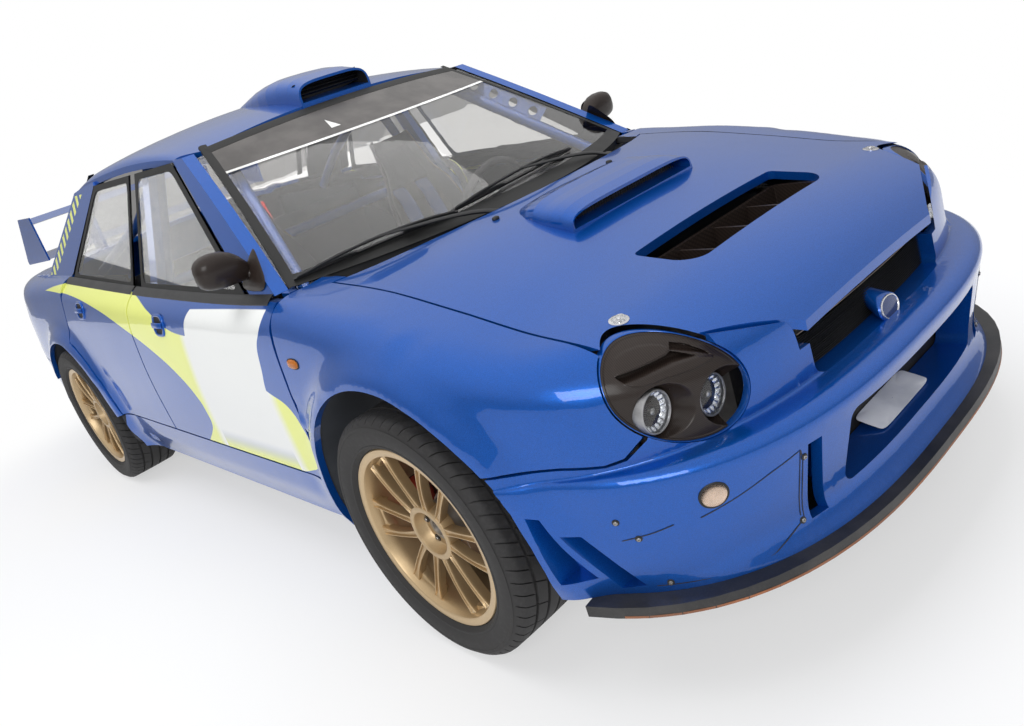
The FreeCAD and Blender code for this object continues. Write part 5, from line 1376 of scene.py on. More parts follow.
@dataclass
class Headlamp:
    """A woven oval cover sunk in its opening, with a flap, two slots and a pair of forward lamps."""
    side: Side
    half_width: float = 140.5
    half_height: float = 96.5
    turn: float = 18.5
    roll: float = 27.0
    origin: Place = (1700.0, 495.0, 638.0)
    sink: float = 8.0
    lens_radius: float = 43.5
    lamps: Sequence[Place] = ((1956.0, 636.0, 612.0), (1996.0, 517.0, 590.0))
    flap: Outline = ((118, 20), (110, 41), (89, 56), (66, 67), (45, 73), (27, 75), (18, 72), (17, 66),
                     (25, 60), (44, 49), (79, 30), (115, 10))
    slot: Outline = ((117, 8), (79, 28), (44, 47), (24, 58), (14, 67), (-31, 65), (13, 47), (49, 28), (82, 9),
                     (102, -1))
    second_slot: Outline = ((15, 68), (10, 82), (-17, 83), (-46, 76), (-60, 69), (-30, 70))
    blade: Outline = ((102, -2), (82, 8), (49, 27), (13, 46), (-31, 64), (-62, 68), (-59, 62), (-40, 51),
                      (-12, 37), (12, 27), (35, 18), (51, 9), (68, 1), (89, -4))

    def build(self) -> None:
        """Makes the cover, the opening's edge and the lamps."""
        body = Body.CHASSIS.on()
        word = self.side.word
        cover = self.cover().build([CARBON_FINE], body, sharp=48.0, slot_name="carbon", closed=False)
        if self.side is Side.LEFT:
            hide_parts("headlamps")
        edge = Shell("lamp_opening_edge_" + word)
        lip = ((2.6, 1.6), (1.4, 1.4), (0.6, 2.6), (0.4, 17.0), (2.8, 17.0))
        rim = [self.ring(grow, deep) for grow, deep in lip]
        edge.grid(np.array(rim), around=True, along=True).build([PAINT], body, slot_name="paint")
        for number, place in enumerate(self.lamps):
            self.lamp(number, np.array(place), body)

    def surface(self, across: np.ndarray, up: np.ndarray, deep: np.ndarray) -> np.ndarray:
        """Points behind the body's skin, in the oval's own axes, on the lamp's side of the car."""
        turn, roll = math.radians(self.turn), math.radians(self.roll)
        outboard = across * math.cos(roll) - up * math.sin(roll)
        height = across * math.sin(roll) + up * math.cos(roll)
        way = np.array([math.cos(turn), math.sin(turn), 0.0])
        start = xyz(-outboard * math.sin(turn), outboard * math.cos(turn), height) + np.array(self.origin)
        return SKIN.along(start, way) - way * np.asarray(deep, float)[..., None]

    def ring(self, grow: float, deep: float, count: int = 160) -> np.ndarray:
        """The oval's outline, grown, at a depth."""
        line = superellipse(count, self.half_width + grow, self.half_height + grow, 2.0)
        return mirror_y(self.surface(line[:, 0], line[:, 1], np.full(count, deep)), self.side)

    def cover(self) -> Shell:
        """The woven cover on rings about its middle; flap, slots and blade are steps in its depth.

        Each lamp has a round pocket whose wall is a steep cone about the lamp's axis: the
        cover lies at the cone or at its own surface, whichever is further back, and the two
        meet in a small round. The outermost rings form a thin bead and turn back.
        """
        share = np.concatenate([spread(0.004, 0.955, 74), [0.965, 0.972, 0.980, 0.990, 0.998, 1.0]])
        turn = full_turn(420)
        across = share[:, None] * self.half_width * np.cos(turn)
        up = share[:, None] * self.half_height * np.sin(turn)
        place = np.stack([across, up], -1)
        deep = self.sink - 2.6 * ease(share, 0.957, 0.972)[:, None]
        deep = deep - 3.0 * ease(inside_by(place, self.flap), -0.6, 1.8)
        deep = deep + 24.0 * ease(inside_by(place, self.slot), 0.0, 3.0)
        deep = deep + 15.0 * ease(inside_by(place, self.second_slot), 0.0, 3.0)
        deep = deep - 3.4 * ease(inside_by(place, self.blade), -0.6, 1.8)
        points = self.surface(across, up, deep)
        for x, y, z in self.lamps:
            away = np.hypot(points[..., 1] - y, points[..., 2] - z)
            wall = x - 15.0 + np.maximum(away - self.lens_radius - 1.5, 0.0) * 3.7
            h = np.maximum(6.0 - np.abs(points[..., 0] - wall), 0.0) / 6.0
            points[..., 0] = np.minimum(points[..., 0], wall) - h * h * 1.5
        back = points[-1:] + np.array([-22.0, -6.0, 0.0])
        shell = Shell("headlamp_cover_" + self.side.word)
        return shell.grid(mirror_y(np.concatenate([points, back]), self.side), around=True)

    def lamp(self, number: int, place: np.ndarray, body: str) -> None:
        """One lamp: grey bezel and case, faceted bowl, bulb shield and a domed clear lens."""
        name = "lamp_%d_%s" % (number, self.side.word)
        centre = mirror_y(place, self.side)
        edge = self.lens_radius
        case = np.array([[edge - 6, -36.0], [edge, -34.0], [edge, -1.5], [edge - 0.8, 0.6], [edge - 2.4, 1.4],
                         [edge - 4.0, 0.8], [edge - 4.6, -1.0], [edge - 4.8, -5.0], [edge - 7.0, -34.0]])
        shell = Shell(name + "_case").grid(turned(case, centre, "x", 72), around=True, along=True)
        shell.build([CAST], body)
        radius = spread(0.0, 1.0, 40)[:, None] * (edge - 5.0) + 0.2
        angle = full_turn(144)[None]
        rings = np.abs(np.cos(radius * math.pi / 11.0)) * ease(radius, 6.0, 11.0)
        facet = np.abs(np.cos(angle * 9.0)) * rings
        depth = -26.0 + 21.0 * (radius / edge) ** 1.7 + 2.6 * facet
        bowl = xyz(depth, radius * np.cos(angle), radius * np.sin(angle)) + centre
        Shell(name + "_bowl").grid(bowl, around=True).build([BRIGHT], body, closed=False)
        shield = np.array([[6.5, -24.0], [7.5, -15.0], [7.0, -10.0], [4.0, -8.0], [0.3, -7.6]])
        Shell(name + "_shield").grid(turned(shield, centre, "x", 32), around=True).build([STEEL], body)
        dome = np.array([[0.3, 5.6], [12.0, 5.1], [24.0, 3.6], [33.0, 1.5], [edge - 4.7, -0.6],
                         [edge - 4.7, -2.4], [33.0, -0.4], [24.0, 1.8], [12.0, 3.4], [0.3, 3.9]])
        lens = Shell(name + "_lens").grid(turned(dome, centre, "x", 64), around=True, along=True)
        lens.build([LENS], body, slot_name="glass_lamp")


def nose_x(y: np.ndarray, z: np.ndarray, inset: Curve) -> np.ndarray:
    """Forward place of the nose at a width and a height; its plan is a superellipse."""
    reach = SKIN.nose - SKIN.corner - inset(z)
    x = np.full(np.broadcast(y, z).shape, SKIN.nose - 100.0)
    for _ in range(10):
        share = np.minimum(np.abs(y) / SKIN.half_width(x, z), 0.9999)
        x = SKIN.corner + reach * (1.0 - share ** SKIN.nose_power) ** (1.0 / SKIN.nose_power)
    return x


def on_bumper(y: np.ndarray, z: np.ndarray, proud: float = 0.0) -> np.ndarray:
    """Points on the bumper's skin, raised a little along its normal."""
    y, z = np.broadcast_arrays(np.asarray(y, float), np.asarray(z, float))
    place = xyz(nose_x(y, z, SKIN.bumper_inset), y, z)
    return place + proud * bumper_normal(y, z)


def bumper_normal(y: np.ndarray, z: np.ndarray) -> np.ndarray:
    """The bumper skin's outward normal, from differences over two millimetres."""
    slope_y, slope_z = slopes(lambda across, up: nose_x(across, up, SKIN.bumper_inset), y, z, 1.0)
    return unit(xyz(1.0, -slope_y, -slope_z))


def ribbon(path: np.ndarray, normals: np.ndarray, half: float, crown: float = 0.3) -> np.ndarray:
    """A narrow strip along a path on a skin, slightly raised along its middle."""
    along = unit(np.gradient(path, axis=0))
    across = unit(np.cross(normals, along))
    return np.stack([path - across * half, path + normals * crown, path + across * half], 1)


@dataclass
class Grille:
    """Fine louvres across the upper opening, three bright bars, and the fin with its bare oval."""
    half: float = 293.0
    low: float = 533.0
    high: float = 640.0
    set_back: float = 33.0
    louvres: int = 15
    chord: float = 15.0
    bars: Sequence[float] = (612.0, 622.0, 632.0)

    def build(self) -> None:
        """Makes the louvres, the bars, the fin and the oval."""
        body = Body.CHASSIS.on()
        shell = Shell("grille_louvres")
        y = spread(-self.half, self.half, 49)
        blade = np.array([[-0.7, 0.0], [0.0, 1.1], [0.8, 0.4], [0.5, -self.chord], [-0.5, -self.chord]])
        for z in spread(self.low, 604.0, self.louvres):
            shell.solid(self.blade(y, z, blade))
        shell.build([BLACK_TRIM], body, slot_name="black_trim")
        shine = Shell("grille_bars")
        for z in self.bars:
            shine.solid(self.blade(y, z, superellipse(10, 1.5, 2.2, 2.0)))
        shine.build([BAR_METAL], body)
        self.fin(body)

    def blade(self, y: np.ndarray, z: float, section: np.ndarray) -> np.ndarray:
        """A section (up, forward) carried across the opening, behind the nose's face."""
        x = nose_x(y, np.full(len(y), z), SKIN.face_inset) - self.set_back
        path = xyz(x, y, np.full(len(y), z))
        tilt = math.radians(24.0)
        up = np.array([-math.sin(tilt), 0.0, math.cos(tilt)])
        ahead = np.array([math.cos(tilt), 0.0, math.sin(tilt)])
        return path[:, None] + section[None, :, :1] * up + section[None, :, 1:] * ahead

    def fin(self, body: str) -> None:
        """A fin that swells forward from the louvres to a boss, with a plain oval in a bright ring."""
        fin = Shell("grille_fin")
        rings = []
        for x, wide, high, z in ((2028.0, 3.0, 20.0, 584.0), (2046.0, 12.0, 24.0, 574.0),
                                 (2066.0, 24.0, 27.0, 563.0), (2084.0, 35.0, 28.5, 553.0),
                                 (2097.0, 42.0, 29.0, 547.0), (2103.0, 44.0, 28.5, 545.5),
                                 (2106.0, 42.5, 27.0, 545.0)):
            line = superellipse(48, wide, high, 2.3)
            rings.append(xyz(np.full(48, x) + 0.22 * (line[:, 1] * -1.0), line[:, 0], line[:, 1] + z))
        fin.solid(np.array(rings)).build([PAINT], body, slot_name="paint")
        for name, rows, finish in (
                ("oval_ring", ((0.0, 1.00), (2.6, 1.00), (4.0, 0.96), (3.8, 0.90), (2.0, 0.87)), BRIGHT),
                ("oval_face", ((0.4, 0.88), (2.0, 0.87), (2.8, 0.60), (3.2, 0.30), (3.3, 0.01)), OVAL_BLUE)):
            piece = Shell("grille_" + name)
            grid = []
            for rise, share in rows:
                line = superellipse(48, 40.0 * share, 25.5 * share, 2.1)
                x = 2105.5 + rise - 0.22 * line[:, 1]
                grid.append(xyz(x, line[:, 0], line[:, 1] + 545.0 + 0.2 * rise))
            piece.grid(np.array(grid), around=True).build([finish], body, closed=False)


@dataclass
class BumperDetail:
    """The bare plate, marker lamps, seams, screws and the splitter's edge."""
    plate: Outline = ((2042.0, 323.0), (2110.0, 304.0))
    plate_half: float = 122.0
    marker: Pair = (630.0, 442.0)
    marker_radius: float = 26.0
    splitter_half: float = 848.0
    splitter_z: float = 218.0
    seams: Sequence[Outline] = (
        ((752, 384), (716, 392), (690, 401)), ((652, 400), (600, 415), (530, 438), (462, 455), (462, 300)),
        ((462, 455), (455, 430), (455, 290), (540, 256), (640, 252), (716, 258)))
    screws: Outline = ((757, 430), (734, 384), (452, 434), (460, 288), (700, 262))

    def build(self) -> None:
        """Makes every detail of the bumper."""
        body = Body.CHASSIS.on()
        (x0, z0), (x1, z1) = self.plate
        way = unit(np.array([x1 - x0, z1 - z0]))
        off = np.array([-way[1], way[0]])
        edge = superellipse(40, math.hypot(x1 - x0, z1 - z0) / 2.0, self.plate_half, 9.0)
        middle = np.array([(x0 + x1) / 2.0, (z0 + z1) / 2.0])
        rows = []
        for rise, grow in ((-1.2, 1.0), (0.6, 1.0), (1.2, 0.985), (1.2, 0.5), (1.2, 0.01)):
            p = middle + edge[:, :1] * grow * way + off * rise
            rows.append(xyz(p[:, 0], edge[:, 1] * grow, p[:, 1]))
        Shell("front_plate").grid(np.array(rows), around=True).build([PALE_PLATE], body)
        for side in Side:
            self.side_details(side, body)
        self.splitter_edge(body)

    def side_details(self, side: Side, body: str) -> None:
        """Marker lamp, seams and screws on one side."""
        y, z = (np.array(v) for v in self.marker)
        centre = on_bumper(y, z)
        axes = basis(bumper_normal(y, z))
        word = side.word
        r = self.marker_radius
        ring = [[r + 4.5, -4.0], [r + 4.5, 0.6], [r + 3.2, 2.0], [r + 0.6, 2.2], [r, 0.8], [r, -4.0]]
        dish = [[r, 0.6], [r - 3, 0.9], [8.0, 1.4], [0.2, 1.5]]
        dome = [[r, 0.8], [r - 0.8, 3.4], [r - 5, 6.2], [r * 0.5, 8.6], [0.2, 9.6]]
        for name, count, finish, profile in (("ring", 48, SEAL, ring), ("dish", 40, BRIGHT, dish),
                                             ("lens", 40, AMBER_CLEAR, dome)):
            points = placed(turned(np.array(profile), (0, 0, 0), "z", count), centre, axes)
            shell = Shell("marker_%s_%s" % (name, word)).grid(mirror_y(points, side), around=True)
            shell.build([finish], body, closed=False)
        seams = Shell("bumper_seams_" + word)
        for line in self.seams:
            run = resampled(np.array(line, float), 60)
            path = on_bumper(run[:, 0], run[:, 1], 0.7)
            seams.grid(mirror_y(ribbon(path, bumper_normal(run[:, 0], run[:, 1]), 1.1), side))
        seams.build([SEAL], body, closed=False)
        heads = Shell("bumper_screws_" + word)
        socket = np.array([[4.6, 1.0], [4.6, 3.4], [3.9, 4.2], [2.2, 4.2], [2.0, 2.4], [0.2, 2.4]])
        for place in self.screws:
            y, z = (np.array(float(v)) for v in place)
            axes = basis(bumper_normal(y, z))
            for profile, slot in ((button(7.5, 1.6, 0.8), 1), (turned(socket, (0, 0, 0), "z", 18), 0)):
                heads.grid(mirror_y(placed(profile, on_bumper(y, z), axes), side), around=True, slot=slot)
        heads.build([STEEL, SEAL], body)

    def splitter_edge(self, body: str) -> None:
        """A thin worn strip along the lower lip of the splitter, where it meets stones."""
        a = np.radians(spread(-62.0, 62.0, 90))
        size = polar(a, SKIN.nose - SKIN.corner, self.splitter_half, SKIN.nose_power)
        path = xyz(SKIN.corner + np.cos(a) * size - 0.6, np.sin(a) * (size - 0.6), self.splitter_z)
        section = np.array([[-1.2, -2.6], [0.8, -2.6], [0.8, 2.6], [-1.2, 2.6]])
        Shell("splitter_edge").solid(swept(path, section)).build([COPPER], body)


def on_deck(x: np.ndarray, y: np.ndarray, proud: float = 0.0) -> np.ndarray:
    """Points on the bonnet's skin, raised a little."""
    x, y = np.broadcast_arrays(np.asarray(x, float), np.asarray(y, float))
    return xyz(x, y, SKIN.deck(x, y) + proud)


def deck_normal(x: float, y: float) -> np.ndarray:
    """The bonnet skin's upward normal at a place."""
    slope_x, slope_y = slopes(SKIN.deck, np.array(x), np.array(y), 1.0)
    return unit(np.array([-slope_x, -slope_y, 1.0]))


@dataclass
class BonnetDetail:
    """Bonnet pins, washer jets, a raised bead on the duct's ramp and the dark mesh in the scoop's mouth."""
    pin: Pair = (1848.0, 556.0)
    jet: Pair = (1203.0, 244.0)

    def build(self) -> None:
        """Makes them all; they ride on the lid."""
        body = Body.BONNET.on()
        for side in Side:
            self.pin_on(side, body)
            x, y = self.jet
            axes = basis(deck_normal(x, y), (1, 0, 0))
            head = placed(pebble((11.0, 8.0, 7.0), 2.6, 11, 24), on_deck(x, y, 2.0), axes)
            Shell("washer_jet_" + side.word).grid(mirror_y(head, side), around=True).build([BLACK_TRIM], body)
        self.scoop_mesh(body)
        self.duct_lip(body)

    def pin_on(self, side: Side, body: str) -> None:
        """One bonnet pin: an oval plate, a bright ring and a folded lever."""
        x, y = self.pin
        centre, axes = on_deck(x, y), basis(deck_normal(x, y), (1, 0, 0))
        shell = Shell("bonnet_pin_" + side.word)
        plate = np.array([[21.0, -1.0], [21.0, 1.2], [20.0, 2.0], [15.6, 2.2], [14.8, 1.2], [14.0, 0.2],
                          [0.3, 0.2]])
        shell.grid(mirror_y(placed(turned(plate, (0, 0, 0), "z", 48), centre, axes), side), around=True)
        shell.grid(mirror_y(placed(button(5.2, 8.0, 1.2), centre, axes), side), around=True)
        t = full_turn(36)
        loop = xyz(13.0 * np.cos(t), 9.5 * np.sin(t), 5.2 + 0.9 * np.cos(t))
        wire = swept(loop, superellipse(8, 1.5, 1.5, 2.0), closed=True)
        shell.grid(mirror_y(placed(wire, centre, axes), side), around=True, along=True)
        shell.build([BRIGHT], body, slot_name="steel")

    def scoop_mesh(self, body: str) -> None:
        """Wire mesh a little inside the scoop's mouth, over a dark backing."""
        shell = Shell("scoop_mesh")
        floor = float(SKIN.deck_line(np.array(1455.0)))
        y = spread(-232.0, 232.0, 25)
        top = floor + 24.0 * (1.0 - np.abs(y / 240.0) ** 6)
        back = np.stack([xyz(1436.0, y, floor - 12.0), xyz(1436.0, y, top)])
        shell.grid(back, slot=1)
        wire = superellipse(6, 0.9, 0.9, 2.0)
        for z in spread(floor - 6.0, floor + 20.0, 5):
            reach = 232.0 * max(1.0 - (max(z - floor, 0.0) / 30.0) ** 4, 0.3)
            path = xyz(1444.0, spread(-reach, reach, 9), z)
            shell.solid(swept(path, wire))
        for place in spread(-225.0, 225.0, 46):
            rise = 23.0 * (1.0 - abs(place / 240.0) ** 6)
            path = xyz(1445.5, place, spread(floor - 10.0, floor + rise, 3))
            shell.solid(swept(path, wire, up=(1, 0, 0)))
        shell.build([DARK_STEEL, DARK_MESH], body, closed=False)

    def duct_lip(self, body: str) -> None:
        """A raised bead along the middle of the vent's carbon ramp."""
        y = spread(-268.0, 268.0, 41)
        x = 1668.0 + 0.00012 * y * y
        path = xyz(x, y, SKIN.deck(x, y) - 26.0)
        section = superellipse(10, 4.0, 2.2, 2.0)
        Shell("duct_bead").solid(swept(path, section)).build([CARBON], body)


@dataclass
class RoofScoop:
    """The dark panel and its slats inside the mouth of the roof's scoop."""
    depth: float = 214.0
    half: float = 137.0
    low: float = 1341.0
    high: float = 1402.0

    def build(self) -> None:
        """Makes the panel, a squared oval, and four slats in front of it."""
        shell = Shell("roof_scoop_slats")
        line = superellipse(48, self.half, (self.high - self.low) / 2.0, 4.0)
        middle = (self.high + self.low) / 2.0
        rows = [xyz(self.depth, line[:, 0] * k, middle + line[:, 1] * k) for k in (1.0, 0.6, 0.3, 0.01)]
        shell.grid(np.array(rows), around=True, slot=1)
        slat = np.array([[-0.9, -9.0], [0.9, -9.0], [0.9, 9.0], [-0.9, 9.0]])
        for share in (0.2, 0.4, 0.6, 0.8):
            z = self.low + (self.high - self.low) * share
            y = spread(-1.0, 1.0, 21) * self.half * 0.97
            path = xyz(self.depth + 24.0, y, z)
            shell.solid(swept(path, slat, up=(1, 0, 0.35)))
        shell.build([BLACK_TRIM, DARK_MESH], Body.CHASSIS.on(), sharp=40, closed=False)


def on_screen(y: np.ndarray, z: np.ndarray, proud: float = 0.0) -> np.ndarray:
    """Points on the windscreen's outer face, raised along its slope's normal."""
    y, z = np.broadcast_arrays(np.asarray(y, float), np.asarray(z, float))
    place = xyz(SKIN.screen_x(y, z), y, z)
    lean_y, lean_z = slopes(SKIN.screen_x, y, z, 1.0)
    return place + proud * unit(xyz(1.0, -lean_y, -lean_z))


def screen_half(z: np.ndarray) -> np.ndarray:
    """Half-width of the windscreen at a height."""
    return 702.0 - (np.asarray(z, float) - 895.0) * 0.452


def header_z(y: np.ndarray) -> np.ndarray:
    """Height of the windscreen's upper edge."""
    return 1306.0 - 20.0 * (np.asarray(y, float) / 520.0) ** 2


@dataclass
class Screen:
    """The windscreen's dark surround, sunstrip, light line, mark and wipers."""
    strip_low: float = 1206.0
    band: float = 13.0
    blades: Sequence[Tuple[float, float, float, float]] = ((-690.0, 903.0, -236.0, 917.0),
                                                           (-246.0, 922.0, 318.0, 934.0))

    def build(self) -> None:
        """Makes all pieces on the glass."""
        body = Body.CHASSIS.on()
        y = spread(-1.0, 1.0, 61)
        share = spread(0.0, 1.0, 13)[:, None]
        rows = self.strip_low + (header_z(y * 516.0)[None] - self.strip_low) * share
        wide = screen_half(rows) * y[None]
        self.sheet("sunstrip", on_screen(wide, rows, 0.9), FILM, body)
        line = self.strip_low - 1.0 + np.array([[-3.0], [3.0]]) + 0.0 * y[None]
        self.sheet("sunstrip_line", on_screen(screen_half(line) * y[None] * 0.985, line, 1.0), WHITE_MARK,
                   body)
        mark = np.array([[[-174.0, 1227.0], [-139.0, 1227.0]], [[-156.5, 1257.0], [-156.5, 1257.0]]])
        self.sheet("screen_mark", on_screen(mark[..., 0], mark[..., 1], 1.6), WHITE_MARK, body)
        surround = Shell("screen_surround")
        z = spread(893.0, 1300.0, 60)
        side = ((13.0, -7.0), (11.0, 0.4), (3.0, 3.0), (-self.band, 1.2), (-self.band, -0.5))
        for sign in (1.0, -1.0):
            edge = [on_screen(sign * (screen_half(z) + off), z, rise) for off, rise in side]
            surround.grid(np.array(edge))
        wide = spread(-1.0, 1.0, 60) * 522.0
        header = ((6.0, -1.0), (5.0, 2.2), (0.0, 3.4), (-self.band, 1.6), (-self.band, 0.0))
        edge = [on_screen(wide, header_z(wide) + off, rise) for off, rise in header]
        surround.grid(np.array(edge))
        base = spread(-1.0, 1.0, 60) * 700.0
        foot = ((0.0, 0.0), (0.0, 1.4), (26.0, 1.2), (26.0, 0.4))
        surround.grid(np.array([on_screen(base, np.full(60, 893.0 + off), rise) for off, rise in foot]))
        surround.build([SEAL], body, closed=False)
        for number, blade in enumerate(self.blades):
            self.wiper(number, blade, body)

    def sheet(self, name: str, points: np.ndarray, finish: Finish, body: str) -> None:
        """A thin printed or stuck sheet on the glass."""
        Shell(name).grid(points).build([finish], body, closed=False)

    def wiper(self, number: int, blade: Tuple[float, float, float, float], body: str) -> None:
        """Rubber, arched frame with its claws, arm and pivot cap of one wiper."""
        y0, z0, y1, z1 = blade
        shell = Shell("wiper_%d" % number)
        t = spread(0.0, 1.0, 41)
        y, z = y0 + (y1 - y0) * t, z0 + (z1 - z0) * t + 5.0 * np.sin(math.pi * t)
        rubber = np.array([[-1.2, 0.0], [1.2, 0.0], [1.6, 5.0], [3.4, 6.0], [3.4, 9.0], [-3.4, 9.0],
                           [-3.4, 6.0], [-1.6, 5.0]])
        normal = unit(on_screen(y, z, 1.0) - on_screen(y, z))
        shell.solid(self.carried(on_screen(y, z, 2.2), normal, rubber))
        box = np.array([[-3.0, -3.0], [3.0, -3.0], [3.6, 2.0], [2.0, 4.0], [-2.0, 4.0], [-3.6, 2.0]])
        for low, high, rise in ((0.06, 0.94, 30.0), (0.02, 0.36, 17.0), (0.64, 0.98, 17.0)):
            u = spread(low, high, 31)
            s = (u - low) / (high - low)
            lift = 11.0 + (rise - 11.0) * np.sin(math.pi * s) ** 0.6
            yy, zz = np.interp(u, t, y), np.interp(u, t, z)
            out = unit(on_screen(yy, zz, 1.0) - on_screen(yy, zz))
            shell.solid(self.carried(on_screen(yy, zz) + out * lift[:, None], out, box))
        pivot = np.array([SKIN.screen_x(np.array(y1 + 96.0), np.array(898.0)) + 34.0, y1 + 96.0, 884.0])
        middle = on_screen(np.array((y0 + y1) / 2.0), np.array((z0 + z1) / 2.0 + 5.0), 32.0)
        bend = pivot * 0.72 + middle * 0.28 + np.array([4.0, 0.0, 20.0])
        path = rounded(np.array([pivot, bend, middle]), 30)
        arm = np.array([[-6.5, -2.0], [6.5, -2.0], [6.0, 2.0], [3.0, 3.4], [-3.0, 3.4], [-6.0, 2.0]])
        shell.solid(swept(path, arm, up=(1, 0, 1.6),
                          scale=np.interp(spread(0, 1, 30), [0, 0.5, 1], [1.5, 1.0, 0.7])))
        shell.grid(placed(button(15.0, 16.0, 5.0, 28), pivot - np.array([0, 0, 9.0]),
                          basis((0.35, 0, 1), (1, 0, 0))), around=True)
        piece = shell.build([BLACK_TRIM], body, slot_name="black_trim")
        if number == 0:
            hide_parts("wipers")

    @staticmethod
    def carried(path: np.ndarray, normal: np.ndarray, section: np.ndarray) -> np.ndarray:
        """A section carried along a path whose upward direction is the glass's normal."""
        along = unit(np.gradient(path, axis=0))
        across = unit(np.cross(normal, along))
        return path[:, None] + across[:, None] * section[None, :, :1] + normal[:, None] * section[None, :, 1:]


@dataclass
class Seat:
    """A bucket seat: a moulded shell swept up its spine, three pads and a four-point harness."""
    side: Side
    middle: float = 380.0
    wall: float = 9.0
    spine: Outline = ((545.0, 440.0), (480.0, 415.0), (330.0, 402.0), (190.0, 398.0), (105.0, 415.0),
                      (62.0, 470.0), (30.0, 580.0), (-10.0, 740.0), (-52.0, 900.0), (-88.0, 1040.0),
                      (-102.0, 1090.0))

    def build(self) -> None:
        """Makes shell, pads and harness."""
        body = Body.CHASSIS.on()
        word = self.side.word
        spine = rounded(np.array(self.spine), 46)
        t = spread(0.0, 1.0, 46)
        half = np.interp(t, [0, 0.12, 0.35, 0.5, 0.68, 0.78, 0.86, 1.0],
                         [170, 186, 190, 182, 190, 166, 120, 96])
        wing = np.interp(t, [0, 0.1, 0.3, 0.42, 0.6, 0.74, 0.82, 1.0], [38, 92, 104, 98, 118, 96, 78, 52])
        shell = Shell("seat_shell_" + word).solid(self.section(spine, half, wing, self.wall))
        shell.build([SEAT_SHELL], body, sharp=50)
        for name, low, high, share, thick in (("cushion", 3, 17, 0.86, 46.0), ("back", 21, 35, 0.84, 40.0),
                                              ("head", 37, 44, 0.84, 34.0)):
            run = resampled(spine[low:high], 26)
            u = np.interp(spread(0, 1, 26), [0, 1], [t[low], t[high - 1]])
            wide = np.interp(u, t, half) * share
            puff = thick * np.clip(np.sin(math.pi * spread(0.0, 1.0, 26)), 0.0, 1.0) ** 0.30 + 1.0
            pad = Shell("seat_%s_%s" % (name, word)).solid(self.pad(run, wide, puff))
            piece = pad.build([SEAT_CLOTH], body, sharp=60, slot_name="seat_cloth")
        self.harness(body, word)
        if self.side is Side.LEFT:
            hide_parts("seats")

    def frame_of(self, spine: np.ndarray) -> Tuple[np.ndarray, np.ndarray]:
        """The spine as points, and the direction from it into the seat."""
        path = xyz(spine[:, 0], np.full(len(spine), self.middle), spine[:, 1])
        along = unit(np.gradient(path, axis=0))
        return path, unit(xyz(-along[:, 2], 0.0, along[:, 0]) * -1.0)

    def section(self, spine: np.ndarray, half: np.ndarray, wing: np.ndarray, thick: float) -> np.ndarray:
        """The shell's U: a flat back whose wings curl forward, closed by an outer skin."""
        path, into = self.frame_of(spine)
        s = spread(-1.0, 1.0, 25)
        curl = np.clip((np.abs(s) - 0.62) / 0.38, 0.0, 1.0)
        points = []
        for back, order in ((0.0, 1), (-thick, -1)):
            y = (np.sign(s) * (np.abs(s) - 0.10 * curl ** 2))[::order]
            bend = curl[::order]
            rise = wing[:, None] * bend ** 1.6 + back * (1.0 - bend)
            points.append(path[:, None] + into[:, None] * rise[..., None]
                          + xyz(0.0, (half[:, None] - back) * y, 0.0))
        return mirror_y(np.concatenate(points, 1), self.side)

    def pad(self, spine: np.ndarray, half: np.ndarray, puff: np.ndarray) -> np.ndarray:
        """A pad on the shell: flat behind, rounded in front with two stitched grooves."""
        path, into = self.frame_of(spine)
        s = np.concatenate([spread(-1.0, 1.0, 25), spread(1.0, -1.0, 5)[1:-1]])
        front = np.concatenate([np.ones(25), np.zeros(3)])
        shape = (1.0 - np.abs(s) ** 5) * front
        groove = 5.0 * np.exp(-((np.abs(s) - 0.5) / 0.03) ** 2) * front
        swell = puff[:, None] * shape - groove * (puff[:, None] > 12.0)
        rise = swell + 1.5 + 22.0 * np.abs(s) ** 6
        wide = xyz(0.0, half[:, None] * s[None], 0.0)
        return mirror_y(path[:, None] + into[:, None] * rise[..., None] + wide, self.side)

    def harness(self, body: str, word: str) -> None:
        """Two shoulder straps with pads, two lap straps and the round buckle."""
        web = superellipse(12, 24.0, 1.2, 4.0)
        shell = Shell("harness_" + word)
        for off in (-62.0, 62.0):
            run = np.array([[-135.0, off * 1.1, 930.0], [-78.0, off, 925.0], [-8.0, off, 880.0],
                            [52.0, off, 700.0], [116.0, off * 0.8, 530.0], [150.0, off * 0.35, 492.0]])
            path = rounded(run + np.array([0.0, self.middle, 0.0]), 44, 3)
            shell.solid(mirror_y(swept(path, web, up=(1, 0, 0.6)), self.side))
            part = rounded(path[9:26], 18, 1)
            cover = superellipse(16, 33.0, 6.0, 3.0)
            shell.solid(mirror_y(swept(part, cover, up=(1, 0, 0.6)), self.side), slot=1)
            lap = np.array([[70.0, off * 2.7, 452.0], [120.0, off * 2.3, 486.0], [152.0, off * 0.5, 490.0]])
            path = rounded(lap + np.array([0.0, self.middle, 0.0]), 24, 3)
            shell.solid(mirror_y(swept(path, web, up=(0, 0, 1)), self.side))
        buckle = placed(button(26.0, 15.0, 4.0, 32), (158.0, self.middle, 492.0), basis((0.8, 0, 0.6)))
        shell.grid(mirror_y(buckle, self.side), around=True, slot=2)
        shell.build([BELT_WEB, BELT_PAD, STEEL], body, sharp=60)


